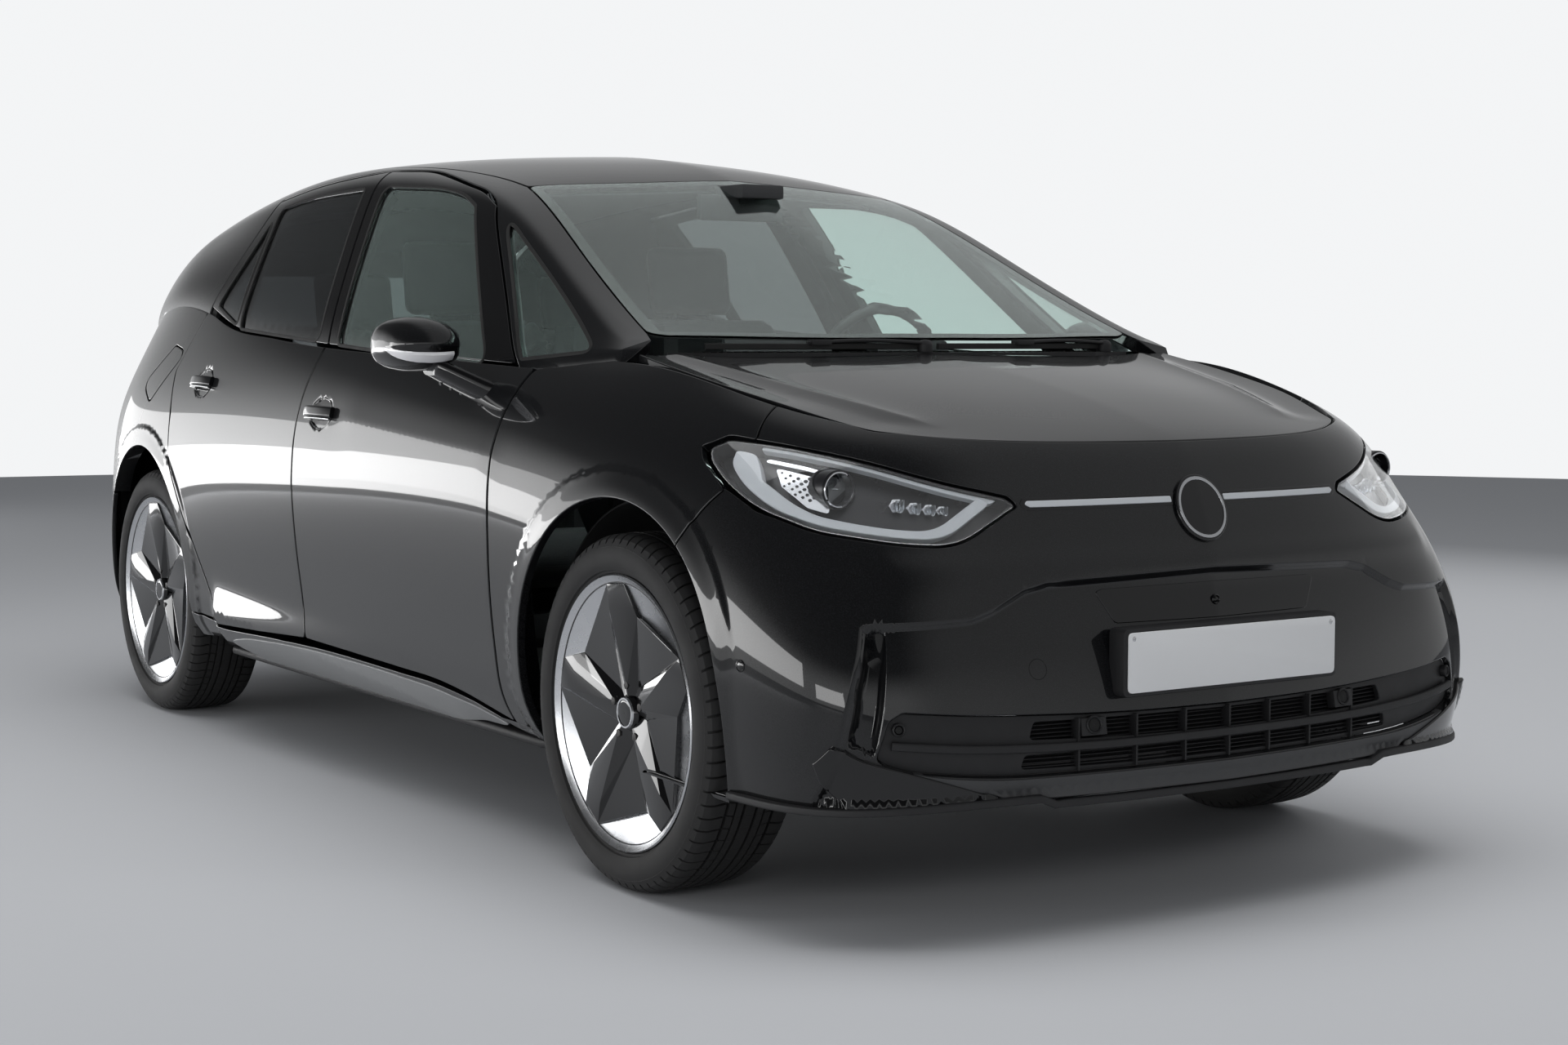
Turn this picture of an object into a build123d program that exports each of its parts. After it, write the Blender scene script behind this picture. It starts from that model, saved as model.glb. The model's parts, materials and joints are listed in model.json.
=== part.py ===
from build123d import *
import math
import os
import numpy as np

# Five-door electric hatchback. Millimetres, +X towards the nose, +Y to the left, +Z up.
# The origin is on the ground, at half length, on the centre plane.

os.makedirs("parts", exist_ok=True)

# ---- driving dimensions ----------------------------------------
wheelbase = 2771.0
front_overhang = 802.0
rear_overhang = 691.0
body_width = 1809.0
body_height = 1568.0
front_track = 1536.0
rear_track = 1524.0

tyre_radius = 351.0
tyre_width = 215.0
tyre_sidewall = 97.0
tyre_bore_radius = tyre_radius - tyre_sidewall
rim_flange_radius = tyre_bore_radius + 18.0
hub_radius = 76.0
spindle_radius = 30.0
spindle_clearance = 0.3
brake_disc_radius = tyre_bore_radius - 86.0
spoke_count = 5

door_wall = 110.0
frame_wall = 30.0
hem_wall = 18.0
sill_wall = 220.0
fender_wall = 20.0
roof_wall = 34.0
bonnet_wall = 42.0
tailgate_wall = 60.0
tailgate_outer_wall = 22.0
hatch_setback = 22.0
bumper_wall = 46.0
glass_thickness = 5.0

shut_gap = 6.5
seal_gap = 6.5
frame_relief = 2.5
joint_gap = 0.5
cowl_gap, cowl_height = 10.0, 48.0
tower_wall_y = 446.0
shelf_z = 840.0
bonnet_seat_gap = 0.5
stop_clearance = 0.4
arch_gap_x = 41.0
arch_gap_z = 69.0
liner_clearance = 12.0
liner_wall = 4.0

kingpin_foot_y = 704.0
kingpin_tilt = 9.5
pillar_wall = 50.0
floor_half_width = 664.0
floor_z = 300.0
floor_wall = 16.0
battery_base_z = 165.0

steering_wheel_radius = 182.0
steering_wheel_tilt = 24.0
seat_width = 500.0

# ---- stations of the body lines ------------------------------------------------------
# Body lines are written at the stations of the basic car. place_x, place_y and place_z
# move them when the wheelbase, an overhang, the width or the height is changed.
BASE_LENGTHS = {"front": 802.0, "middle": 2771.0, "rear": 691.0}
BASE_WIDTH, BASE_HEIGHT = 1809.0, 1568.0
BASE_FRONT_AXLE, BASE_REAR_AXLE = 1330.0, -1441.0
car_length = front_overhang + wheelbase + rear_overhang
front_axle_x = car_length / 2 - front_overhang
rear_axle_x = front_axle_x - wheelbase
wheel_z = tyre_radius


def place_x(x):
    if x > BASE_FRONT_AXLE:
        return front_axle_x + (x - BASE_FRONT_AXLE) * front_overhang / BASE_LENGTHS["front"]
    if x < BASE_REAR_AXLE:
        return rear_axle_x + (x - BASE_REAR_AXLE) * rear_overhang / BASE_LENGTHS["rear"]
    return rear_axle_x + (x - BASE_REAR_AXLE) * wheelbase / BASE_LENGTHS["middle"]


def place_y(y):
    return y * body_width / BASE_WIDTH


def place_z(z):
    return z * body_height / BASE_HEIGHT


# ---- control nets of the skin --------------------------------------------------------
# Lower body: each row is a plan outline from the nose round to the tail, bottom to top.
HULL_ROWS = [
    ([235, 233, 226, 212, 205, 215, 235, 238, 238, 238, 240, 245, 255, 262, 268, 270, 272, 275, 275],
     [(2098, 0), (2092, 260), (2052, 520), (1990, 735), (1880, 822), (1668, 850), (1330, 862),
      (968, 815), (400, 795), (-200, 795), (-800, 812), (-1130, 848), (-1441, 862), (-1740, 850),
      (-1968, 790), (-2050, 672), (-2088, 445), (-2100, 220), (-2100, 0)]),
    ([300] * 12 + [305, 310, 315, 320, 320, 320, 320],
     [(2142, 0), (2136, 265), (2090, 535), (2022, 752), (1898, 845), (1668, 872), (1330, 888),
      (968, 862), (400, 866), (-200, 880), (-800, 893), (-1130, 893), (-1441, 892), (-1740, 874),
      (-1978, 812), (-2072, 690), (-2116, 455), (-2128, 225), (-2128, 0)]),
    ([400] * 19,
     [(2126, 0), (2116, 268), (2078, 540), (2026, 758), (1898, 855), (1668, 882), (1330, 900),
      (968, 880), (400, 874), (-200, 876), (-800, 884), (-1130, 893), (-1441, 901), (-1740, 882),
      (-1985, 820), (-2078, 700), (-2124, 458), (-2134, 225), (-2134, 0)]),
    ([520] * 19,
     [(2096, 0), (2088, 268), (2062, 540), (2012, 752), (1890, 852), (1668, 884), (1330, 904),
      (968, 895), (400, 892), (-200, 893), (-800, 897), (-1130, 901), (-1441, 906), (-1740, 886),
      (-1986, 822), (-2080, 700), (-2124, 458), (-2132, 225), (-2132, 0)]),
    ([650] * 19,
     [(2062, 0), (2052, 262), (2022, 520), (1962, 716), (1862, 822), (1668, 870), (1330, 902),
      (968, 902), (400, 902), (-200, 903), (-800, 904), (-1130, 904), (-1441, 905), (-1740, 884),
      (-1978, 820), (-2064, 692), (-2100, 452), (-2108, 225), (-2108, 0)]),
    ([750, 750, 750, 752, 755, 760, 765, 770, 770, 770, 775, 780] + [785] * 7,
     [(2028, 0), (2018, 255), (1980, 490), (1900, 672), (1802, 782), (1650, 846), (1330, 893),
      (968, 902), (400, 904), (-200, 905), (-800, 906), (-1130, 905), (-1441, 898), (-1740, 876),
      (-1966, 812), (-2046, 680), (-2076, 448), (-2084, 220), (-2084, 0)]),
    ([818, 820, 826, 838, 852, 866, 875, 878, 880, 885, 895, 905, 910, 910, 905] + [900] * 4,
     [(1998, 0), (1990, 250), (1948, 466), (1862, 632), (1770, 735), (1630, 805), (1330, 868),
      (968, 890), (400, 898), (-200, 900), (-800, 896), (-1130, 888), (-1441, 876), (-1740, 852),
      (-1945, 788), (-2026, 660), (-2054, 435), (-2062, 215), (-2062, 0)]),
    ([862, 864, 872, 888, 908, 934, 965, 980, 988, 996, 1010, 1022, 1030, 1025, 1015, 1010, 1005,
      1005, 1005],
     [(1978, 0), (1970, 246), (1926, 446), (1838, 598), (1735, 684), (1592, 745), (1330, 800),
      (968, 838), (400, 862), (-200, 868), (-800, 860), (-1130, 846), (-1441, 826), (-1740, 795),
      (-1918, 732), (-2000, 618), (-2028, 415), (-2038, 210), (-2038, 0)]),
    ([884, 885, 890, 906, 930, 962, 1018, 1040, 1036, 1056, 1096, 1150, 1190, 1165, 1120, 1095,
      1085, 1080, 1080],
     [(1958, 0), (1950, 240), (1908, 430), (1818, 572), (1700, 648), (1560, 700), (1330, 728),
      (1090, 745), (400, 826), (-200, 836), (-800, 822), (-1130, 788), (-1441, 752), (-1740, 722),
      (-1890, 680), (-1972, 578), (-2002, 400), (-2012, 200), (-2012, 0)]),
]

# Upper body: each column runs from the belt over the roof edge to the centre plane.
UPPER_COLUMNS = [
    [(1150, 738, 1050), (1140, 728, 1056), (1125, 716, 1062), (1112, 704, 1068),
     (1105, 680, 1072), (1110, 640, 1072), (1165, 300, 1066), (1185, 0, 1062)],
    [(1010, 780, 1036), (1000, 752, 1062), (975, 722, 1092), (955, 705, 1112),
     (930, 680, 1134), (912, 640, 1146), (930, 300, 1180), (945, 0, 1188)],
    [(720, 812, 1024), (715, 760, 1105), (680, 690, 1206), (660, 668, 1244),
     (632, 640, 1276), (612, 600, 1294), (612, 290, 1338), (620, 0, 1350)],
    [(430, 828, 1034), (430, 752, 1190), (390, 672, 1330), (372, 645, 1376),
     (345, 612, 1412), (322, 568, 1432), (310, 280, 1478), (315, 0, 1490)],
    [(120, 834, 1046), (110, 748, 1240), (60, 662, 1396), (40, 632, 1442),
     (15, 592, 1474), (0, 540, 1492), (-10, 275, 1530), (-10, 0, 1541)],
    [(-200, 836, 1060), (-215, 745, 1260), (-260, 655, 1436), (-275, 624, 1478),
     (-290, 584, 1508), (-300, 530, 1524), (-300, 270, 1556), (-300, 0, 1566)],
    [(-520, 832, 1076), (-545, 738, 1275), (-590, 650, 1452), (-610, 618, 1492),
     (-620, 578, 1520), (-620, 525, 1534), (-620, 268, 1561), (-620, 0, 1570)],
    [(-850, 818, 1104), (-890, 728, 1280), (-950, 640, 1436), (-965, 610, 1476),
     (-975, 570, 1504), (-980, 518, 1518), (-980, 262, 1548), (-980, 0, 1557)],
    [(-1130, 790, 1150), (-1200, 710, 1290), (-1290, 625, 1404), (-1310, 598, 1438),
     (-1325, 560, 1464), (-1335, 508, 1478), (-1340, 258, 1516), (-1340, 0, 1528)],
    [(-1441, 755, 1190), (-1510, 690, 1290), (-1570, 612, 1368), (-1590, 585, 1398),
     (-1605, 548, 1422), (-1615, 498, 1436), (-1625, 250, 1478), (-1625, 0, 1492)],
    [(-1700, 735, 1178), (-1760, 690, 1250), (-1790, 630, 1320), (-1805, 600, 1345),
     (-1820, 560, 1366), (-1832, 505, 1380), (-1845, 250, 1418), (-1850, 0, 1432)],
    [(-1850, 708, 1148), (-1885, 672, 1195), (-1895, 640, 1238), (-1905, 615, 1258),
     (-1918, 570, 1272), (-1932, 510, 1280), (-1955, 245, 1300), (-1962, 0, 1306)],
    [(-1895, 690, 1120), (-1922, 660, 1118), (-1940, 632, 1114), (-1950, 605, 1110),
     (-1962, 565, 1106), (-1972, 500, 1102), (-2002, 230, 1092), (-2012, 0, 1088)],
]
BELT_TUCK = 40.0

# Bonnet: rows from the nose to the cowl, each from the centre plane out to the edge.
BONNET_ROWS = [
    [(1952, 0, 884), (1946, 215, 885), (1906, 420, 889), (1834, 536, 900), (1784, 592, 910)],
    [(1900, 0, 905), (1893, 215, 904), (1850, 415, 904), (1765, 556, 914), (1700, 626, 928)],
    [(1760, 0, 945), (1752, 220, 943), (1705, 430, 938), (1640, 586, 946), (1590, 668, 958)],
    [(1560, 0, 988), (1552, 225, 986), (1510, 450, 980), (1460, 616, 980), (1430, 696, 990)],
    [(1330, 0, 1026), (1325, 230, 1024), (1300, 470, 1018), (1270, 646, 1016), (1250, 708, 1026)],
    [(1204, 0, 1044), (1199, 235, 1042), (1178, 480, 1038), (1142, 656, 1042), (1120, 706, 1050)],
]


def hull_net():
    columns = range(len(HULL_ROWS[0][1]))
    return [[(row[1][i][0], row[1][i][1], row[0][i]) for row in HULL_ROWS] for i in columns]


def upper_net():
    return [[(c[0][0], c[0][1] - 4, c[0][2] - BELT_TUCK)] + c for c in UPPER_COLUMNS]


def basis(count, t):
    """Values of the clamped uniform cubic B-spline basis at the parameters t."""
    t = np.clip(np.asarray(t, float), 0, 1 - 1e-9)
    knots = np.concatenate([np.zeros(3), np.linspace(0, 1, count - 2), np.ones(3)])
    values = [((knots[i] <= t) & (t < knots[i + 1])).astype(float) for i in range(count + 3)]
    for degree in (1, 2, 3):
        following = []
        for i in range(count + 3 - degree):
            left = knots[i + degree] - knots[i]
            right = knots[i + degree + 1] - knots[i + 1]
            value = 0 * t
            if left > 0:
                value = value + (t - knots[i]) / left * values[i]
            if right > 0:
                value = value + (knots[i + degree + 1] - t) / right * values[i + 1]
            following.append(value)
        values = following
    return np.stack(values, 1)


def surface_points(net, us, vs):
    placed = np.array([[(place_x(x), place_y(y), place_z(z)) for x, y, z in line] for line in net])
    return np.einsum("ai,ijk,bj->abk", basis(placed.shape[0], us), placed,
                     basis(placed.shape[1], vs))


def skin(net, us, vs, inset=0.0):
    """Right-hand face of a net, moved inboard by inset."""
    grid = surface_points(net, us, vs)
    rows = [[Vector(x, inset - y, z) for x, y, z in line] for line in grid]
    return Face.make_surface_from_array_of_points(rows, tol=0.4)


def end_skin(net, us, vs):
    """Right-hand face of an end of the car, carried a little way over the centre plane."""
    grid = surface_points(net, us, vs)
    if abs(grid[0, 0, 1]) < abs(grid[-1, 0, 1]):
        over = grid[2:0:-1] * (1, -1, 1)
        grid = np.concatenate([over, grid])
    else:
        over = grid[-2:-4:-1] * (1, -1, 1)
        grid = np.concatenate([grid, over])
    rows = [[Vector(x, -y, z) for x, y, z in line] for line in grid]
    return Face.make_surface_from_array_of_points(rows, tol=0.4)


def wide_skin(net, us, vs):
    """Face of a net over both sides; its second parameter runs to or from the centre plane."""
    grid = surface_points(net, us, vs)
    if abs(grid[0, -1, 1]) < abs(grid[0, 0, 1]):
        grid = grid[:, ::-1]
    rows = []
    for line in grid:
        right = [Vector(x, -y, z) for x, y, z in line[:0:-1]]
        left = [Vector(x, y, z) for x, y, z in line]
        rows.append(right + left)
    return Face.make_surface_from_array_of_points(rows, tol=0.4)


HULL, UPPER = hull_net(), upper_net()
side_face = skin(HULL, np.linspace(0.22, 0.90, 30), np.linspace(0, 1, 12))
upper_face = skin(UPPER, np.linspace(0.0, 0.97, 26), np.linspace(0, 0.78, 14))
nose_face = end_skin(HULL, np.linspace(0, 0.36, 20), np.linspace(0, 1, 12))
tail_face = end_skin(HULL, np.linspace(0.76, 1.0, 16), np.linspace(0, 1, 12))
crown_face = wide_skin(UPPER, np.linspace(0.0, 0.93, 28), np.linspace(0.45, 1, 9))
hatch_face = wide_skin(UPPER, np.linspace(0.68, 1.0, 16), np.linspace(0.2, 1, 12))
hull_levels = [list(level) for level in zip(*HULL)]
back_face = wide_skin(hull_levels, np.linspace(0, 1, 12), np.linspace(0.84, 1.0, 10))
bonnet_face = wide_skin(BONNET_ROWS, np.linspace(0, 1, 16), np.linspace(0, 1, 9))

side_grid = surface_points(HULL, np.linspace(0.2, 0.9, 141), np.linspace(0, 1, 61))
upper_grid = surface_points(UPPER, np.linspace(0, 0.97, 141), np.linspace(0, 0.78, 81))


def skin_half_width(x, z):
    """Half width of the outer skin at a station and height."""
    best = None
    for grid in (side_grid, upper_grid):
        gap = np.hypot(grid[..., 0] - x, grid[..., 2] - z)
        at = np.unravel_index(np.argmin(gap), gap.shape)
        if best is None or gap[at] < best[0]:
            best = (gap[at], grid[at][1])
    return float(best[1])


# ---- cutting planes and outlines -----------------------------------------------------
INWARD = (0, 1, 0)
DOOR_SLANT = 0.3
BONNET_SLANT = 0.35
DOOR_CUT = (-DOOR_SLANT, -1, 0)
NOSE_CUT = (-0.82, 0.57, 0)
TAIL_CUT = (0.82, 0.57, 0)
HATCH_CUT = (0.8, 0, -0.6)
FAR = 3000.0
side_plane = Plane.XZ.offset(place_y(880))
front_view = Plane.YZ
top_view = Plane.XY


def side_outline(points):
    return Polyline(*[(place_x(x), place_z(z)) for x, z in points], close=True)


def door_outline(points):
    """Outline on side_plane whose slanted cut meets the skin at these stations and heights."""
    placed = []
    for x, z in points:
        reach = skin_half_width(place_x(x), place_z(z)) - place_y(880)
        placed.append((place_x(x) + DOOR_SLANT * reach, place_z(z)))
    return Polyline(*placed, close=True)


def front_outline(points):
    return Polyline(*[(place_y(y), place_z(z)) for y, z in points], close=True)


def top_outline(points):
    return Polyline(*[(place_x(x), place_y(y)) for x, y in points], close=True)


def both_sides(half):
    """Close a right-hand outline (first and last point on the centre line) over both sides."""
    return half + [(x, -y) for x, y in half[-2:0:-1]]


door_split = [(-239, 336), (-252, 405), (-265, 720), (-262, 749), (-242, 919), (-205, 1062)]
frame_split = [(-205, 1062), (-342, 1463), (-358, 1506)]
front_door_outline = [(813, 259), (538, 314)] + door_split + [(848, 1018), (827, 798), (825, 658)]
rear_door_edge = [(-1172, 1158), (-1262, 987), (-1205, 871), (-1192, 754), (-1015, 523),
                  (-832, 316)]
rear_door_outline = door_split + [(-880, 1100)] + rear_door_edge
front_frame_outline = [(765, 1000), (335, 1388), (240, 1423), (30, 1466), (-120, 1492)]
front_frame_outline += frame_split[::-1] + [(-221, 1000)]
rear_frame_outline = [(-221, 1000)] + frame_split + [(-772, 1490), (-1062, 1462), (-1178, 1166),
                                                     (-1178, 1000)]
front_window = [(648, 1020), (253, 1387), (167, 1418), (29, 1443), (-281, 1462), (-149, 1066)]
rear_window = [(-273, 1074), (-402, 1461), (-758, 1457), (-993, 1436), (-866, 1108)]
rear_quarter_window = [(-900, 1116), (-1018, 1412), (-1120, 1172)]
front_quarter_light = [(778, 1034), (405, 1362), (1030, 1052)]
sill_line = [(936, 245), (813, 245), (538, 306), (-239, 330), (-832, 310), (-1046, 330)]
fender_top = [(848, 1012), (1010, 1026), (1122, 1040)]
windscreen_half = [(1152, 0), (1134, 300), (1082, 610), (1062, 648), (700, 592), (278, 520),
                   (336, 300), (348, 0)]
roof_half = [(348, 0), (336, 300), (278, 520), (60, 532), (-300, 544), (-900, 536), (-1300, 506),
             (-1486, 486), (-1486, 0)]
lamp_outline = [(-404, 775), (-420, 790), (-550, 816), (-650, 847), (-750, 880), (-828, 872),
                (-842, 806), (-780, 755), (-710, 731), (-610, 712), (-541, 707)]
intake_half = [(0, 262), (-560, 258), (-700, 270), (-740, 330), (-700, 412), (0, 420)]
tail_lamp_outline = [(-1812, 1024), (-1900, 1042), (-2100, 1044), (-2100, 892), (-1985, 892)]
hatch_lamp_half = [(500, 896), (500, 1042), (300, 1036), (300, 900)]
charge_flap_outline = [(-1545, 949), (-1362, 1059), (-1237, 1042), (-1433, 899)]
tail_joint = [(-1700, 600), (-1810, 655), (-1985, 742), (-2200, 742)]


def export(part, name):
    part.label = name
    export_step(part, f"parts/{name}.step")


def mirrored(part, name):
    """Export the left-hand copy of a right-hand piece."""
    with BuildPart() as left:
        add(mirror(part, about=Plane.XZ))
    export(left.part, name)


# ---- shared cutters ----------------------------------------
with BuildPart() as windscreen_cut:
    with BuildSketch(top_view):
        with BuildLine():
            top_outline(both_sides(windscreen_half))
        make_face()
    extrude(amount=FAR)

with BuildPart() as roof_cut:
    with BuildSketch(top_view):
        with BuildLine():
            top_outline(both_sides(roof_half))
        make_face()
    extrude(amount=FAR)

hatch_opening = [(-592, 742), (-602, 880), (-568, 1085), (-512, 1300), (-500, 1600),
                 (500, 1600), (512, 1300), (568, 1085), (602, 880), (592, 742)]
hatch_front_x = place_x(-1496)
with BuildPart() as hatch_cut:
    with BuildSketch(front_view.offset(hatch_front_x)):
        with BuildLine():
            front_outline(hatch_opening)
        make_face()
    extrude(amount=FAR, dir=(-1, 0, 0))

with BuildPart() as bonnet_cut:
    with BuildSketch(top_view):
        with BuildLine():
            edge = surface_points(BONNET_ROWS, np.linspace(0, 1, 13), [1.0])[:, 0]
            nose = surface_points(BONNET_ROWS, [0.0], np.linspace(0, 1, 9))[0]
            cowl = surface_points(BONNET_ROWS, [1.0], np.linspace(1, 0, 9))[0]
            right = [(x, -y) for x, y, z in list(nose) + list(edge[1:]) + list(cowl[1:])]
            left = [(x, -y) for x, y in right[-2:0:-1]]
            Polyline(*(right + left), close=True)
        make_face()
        offset(amount=shut_gap, kind=Kind.INTERSECTION)
    extrude(amount=FAR)

with BuildPart() as lamp_cut:
    with BuildSketch(front_view.offset(place_x(1480))):
        with BuildLine():
            front_outline(lamp_outline)
        make_face()
        offset(amount=joint_gap, kind=Kind.INTERSECTION)
    extrude(amount=FAR)

# ---- the outer walls that the side panels are cut from ---------------------------------
with BuildPart() as side_wall:
    extrude(side_face, amount=door_wall, dir=INWARD)
with BuildPart() as frame_ring:
    extrude(upper_face, amount=frame_wall, dir=INWARD)

# ---- doors ----------------------------------------
hem_top_z = place_z(332)


def door_cutter(outline, margin):
    """Slanted prism of a door outline, grown by margin."""
    with BuildPart() as cutter:
        with BuildSketch(side_plane):
            with BuildLine():
                door_outline(outline)
            make_face()
            offset(amount=margin, kind=Kind.INTERSECTION)
        extrude(amount=FAR / 6, dir=DOOR_CUT, both=True)
    return cutter.part


def window_cutter(outline, margin=0.0):
    """Straight prism of a side window outline, grown by margin."""
    with BuildPart() as cutter:
        with BuildSketch(side_plane):
            with BuildLine():
                side_outline(outline)
            make_face()
            if margin:
                offset(amount=margin, kind=Kind.INTERSECTION)
        extrude(amount=FAR / 6, both=True)
    return cutter.part


with BuildPart() as hem_cut:
    extrude(side_face.moved(Location((0, hem_wall, 0))), amount=door_wall, dir=INWARD)
    with Locations((0, 0, hem_top_z / 2)):
        Box(2 * FAR, 2 * FAR, hem_top_z, mode=Mode.INTERSECT)


def door(outline, frame, windows, handle_x, handle_z):
    with BuildPart() as lower:
        add(side_wall.part)
        add(door_cutter(outline, -shut_gap / 2), mode=Mode.INTERSECT)
    with BuildPart() as upper:
        add(frame_ring.part)
        add(door_cutter(frame, -shut_gap / 2), mode=Mode.INTERSECT)
    with BuildPart() as whole:
        add(lower.part)
        add(upper.part)
        for window in windows:
            add(window_cutter(window), mode=Mode.SUBTRACT)
        add(hem_cut.part, mode=Mode.SUBTRACT)
        grip_y = -skin_half_width(place_x(handle_x), place_z(handle_z))
        with Locations((place_x(handle_x), grip_y + 2, place_z(handle_z))):
            Box(150, 30, 26)
    return whole.part


def pane(window, inset):
    """One side window, cut from the skin moved inboard by inset."""
    with BuildPart() as glass:
        extrude(skin(UPPER, np.linspace(0, 0.97, 26), np.linspace(0, 0.78, 14), inset),
                amount=glass_thickness * 1.4, dir=INWARD)
        add(window_cutter(window, -joint_gap), mode=Mode.INTERSECT)
    return glass.part


def panes(windows, inset):
    with BuildPart() as group:
        for window in windows:
            add(pane(window, inset))
    return group.part


front_door = door(front_door_outline, front_frame_outline, [front_window], -98, 898)
rear_door = door(rear_door_outline, rear_frame_outline, [rear_window, rear_quarter_window],
                 -977, 959)
front_glass = panes([front_window], frame_wall / 2)
rear_glass = panes([rear_window, rear_quarter_window], frame_wall / 2)
for piece, name in [(front_door, "front_door"), (rear_door, "rear_door"),
                    (front_glass, "front_door_glass"), (rear_glass, "rear_door_glass")]:
    export(piece, name + "_right")
    mirrored(piece, name + "_left")

# ---- body sides ----------------------------------------
quarter_outline = [(-1172, 1260)] + rear_door_edge + [(-1000, 200), (-1700, 200)]
quarter_outline += tail_joint + [(-2200, 1260)]


def wheel_cutter(axle_x, margin):
    """Elliptical prism of a right-hand wheel opening."""
    with BuildPart() as cutter:
        with BuildSketch(Plane(origin=(axle_x, -400, wheel_z), x_dir=(1, 0, 0), z_dir=(0, -1, 0))):
            Ellipse(tyre_radius + arch_gap_x + margin, tyre_radius + arch_gap_z + margin)
        extrude(amount=FAR / 4)
    return cutter.part


with BuildPart() as sill_wall_right:
    extrude(side_face, amount=sill_wall, dir=INWARD)
    with BuildSketch(side_plane):
        with BuildLine():
            side_outline(sill_line + [(-1046, 150), (936, 150)])
        make_face()
    extrude(amount=FAR / 6, both=True, mode=Mode.INTERSECT)
    with Locations((0, -floor_half_width + 200, 200)):
        Box(FAR, 400, 400, mode=Mode.SUBTRACT)

with BuildPart() as quarter_right:
    add(side_wall.part)
    with BuildSketch(side_plane):
        with BuildLine():
            side_outline(quarter_outline)
        make_face()
    extrude(amount=FAR / 6, both=True, mode=Mode.INTERSECT)

with BuildPart() as roof_rail_right:
    add(frame_ring.part)
    add(roof_cut.part, mode=Mode.SUBTRACT)
    add(windscreen_cut.part, mode=Mode.SUBTRACT)
    with BuildSketch(side_plane):
        with BuildLine():
            side_outline([(765, 900), (765, 1012)] + fender_top + [(1250, 1050), (1250, 900)])
        make_face()
    extrude(amount=FAR / 6, both=True, mode=Mode.SUBTRACT)


def pillar(x_low, x_high, z_low, z_high, lean, outer_gap, depth):
    """Inner post that follows the skin, from z_low to z_high, leaning back by lean."""
    heights = np.linspace(z_low, z_high, 9)
    outer = [(-skin_half_width((x_low + x_high) / 2 - lean * (z - z_low) / (z_high - z_low), z)
              + outer_gap(z), z) for z in heights]
    inner = [(y + depth, z) for y, z in outer[::-1]]
    with BuildPart() as post:
        with BuildSketch(front_view.offset(x_low - abs(lean))):
            with BuildLine():
                Polyline(*(outer + inner), close=True)
            make_face()
        extrude(amount=x_high - x_low + 2 * abs(lean))
        with BuildSketch(side_plane):
            with BuildLine():
                Polyline((x_low, z_low), (x_high, z_low), (x_high - lean, z_high),
                         (x_low - lean, z_high), close=True)
            make_face()
        extrude(amount=FAR / 4, both=True, mode=Mode.INTERSECT)
    return post.part


belt_z = place_z(1085)


def behind_door(z):
    return (door_wall if z < belt_z else frame_wall) + seal_gap


def behind_frame(z):
    return frame_wall + seal_gap


hinge_post = pillar(place_x(852), place_x(900), 238, place_z(1004), 0, behind_door, pillar_wall)
middle_post_low = pillar(place_x(-300), place_x(-190), 240, place_z(1110), 20,
                         lambda z: door_wall + seal_gap, pillar_wall)
middle_post_high = pillar(place_x(-320), place_x(-210), place_z(1098), place_z(1490), 120,
                          behind_frame, 40)

flap_wall = 12.0


def flap_cutter(margin, depth):
    with BuildPart() as cutter:
        with BuildSketch(side_plane.offset(-depth)):
            with BuildLine():
                side_outline(charge_flap_outline)
            make_face()
            offset(amount=margin, kind=Kind.INTERSECTION)
        extrude(amount=FAR / 6)
    return cutter.part


with BuildPart() as body_side:
    add(sill_wall_right.part)
    add(quarter_right.part)
    add(roof_rail_right.part)
    add(wheel_cutter(rear_axle_x, 0), mode=Mode.SUBTRACT)
    for outline in (front_door_outline, rear_door_outline, front_frame_outline):
        add(door_cutter(outline, shut_gap / 2), mode=Mode.SUBTRACT)
    add(door_cutter(rear_frame_outline, shut_gap / 2 + frame_relief), mode=Mode.SUBTRACT)
    add(window_cutter(front_quarter_light), mode=Mode.SUBTRACT)
    add(hatch_cut.part, mode=Mode.SUBTRACT)
    with BuildSketch(side_plane):
        with BuildLine():
            side_outline(tail_lamp_outline)
        make_face()
        offset(amount=joint_gap, kind=Kind.INTERSECTION)
    extrude(amount=FAR / 6, both=True, mode=Mode.SUBTRACT)
    add(hinge_post)
    add(middle_post_low)
    add(middle_post_high)
    belt_step_y = skin_half_width(place_x(-260), place_z(1102)) - frame_wall - seal_gap
    with Locations((place_x(-265), 55 - belt_step_y, place_z(1104))):
        Box(110, 110, 14)
    add(roof_cut.part, mode=Mode.SUBTRACT)
    add(bonnet_cut.part, mode=Mode.SUBTRACT)
    add(flap_cutter(shut_gap, 200), mode=Mode.SUBTRACT)
export(body_side.part, "body_side_right")
mirrored(body_side.part, "body_side_left")

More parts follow.
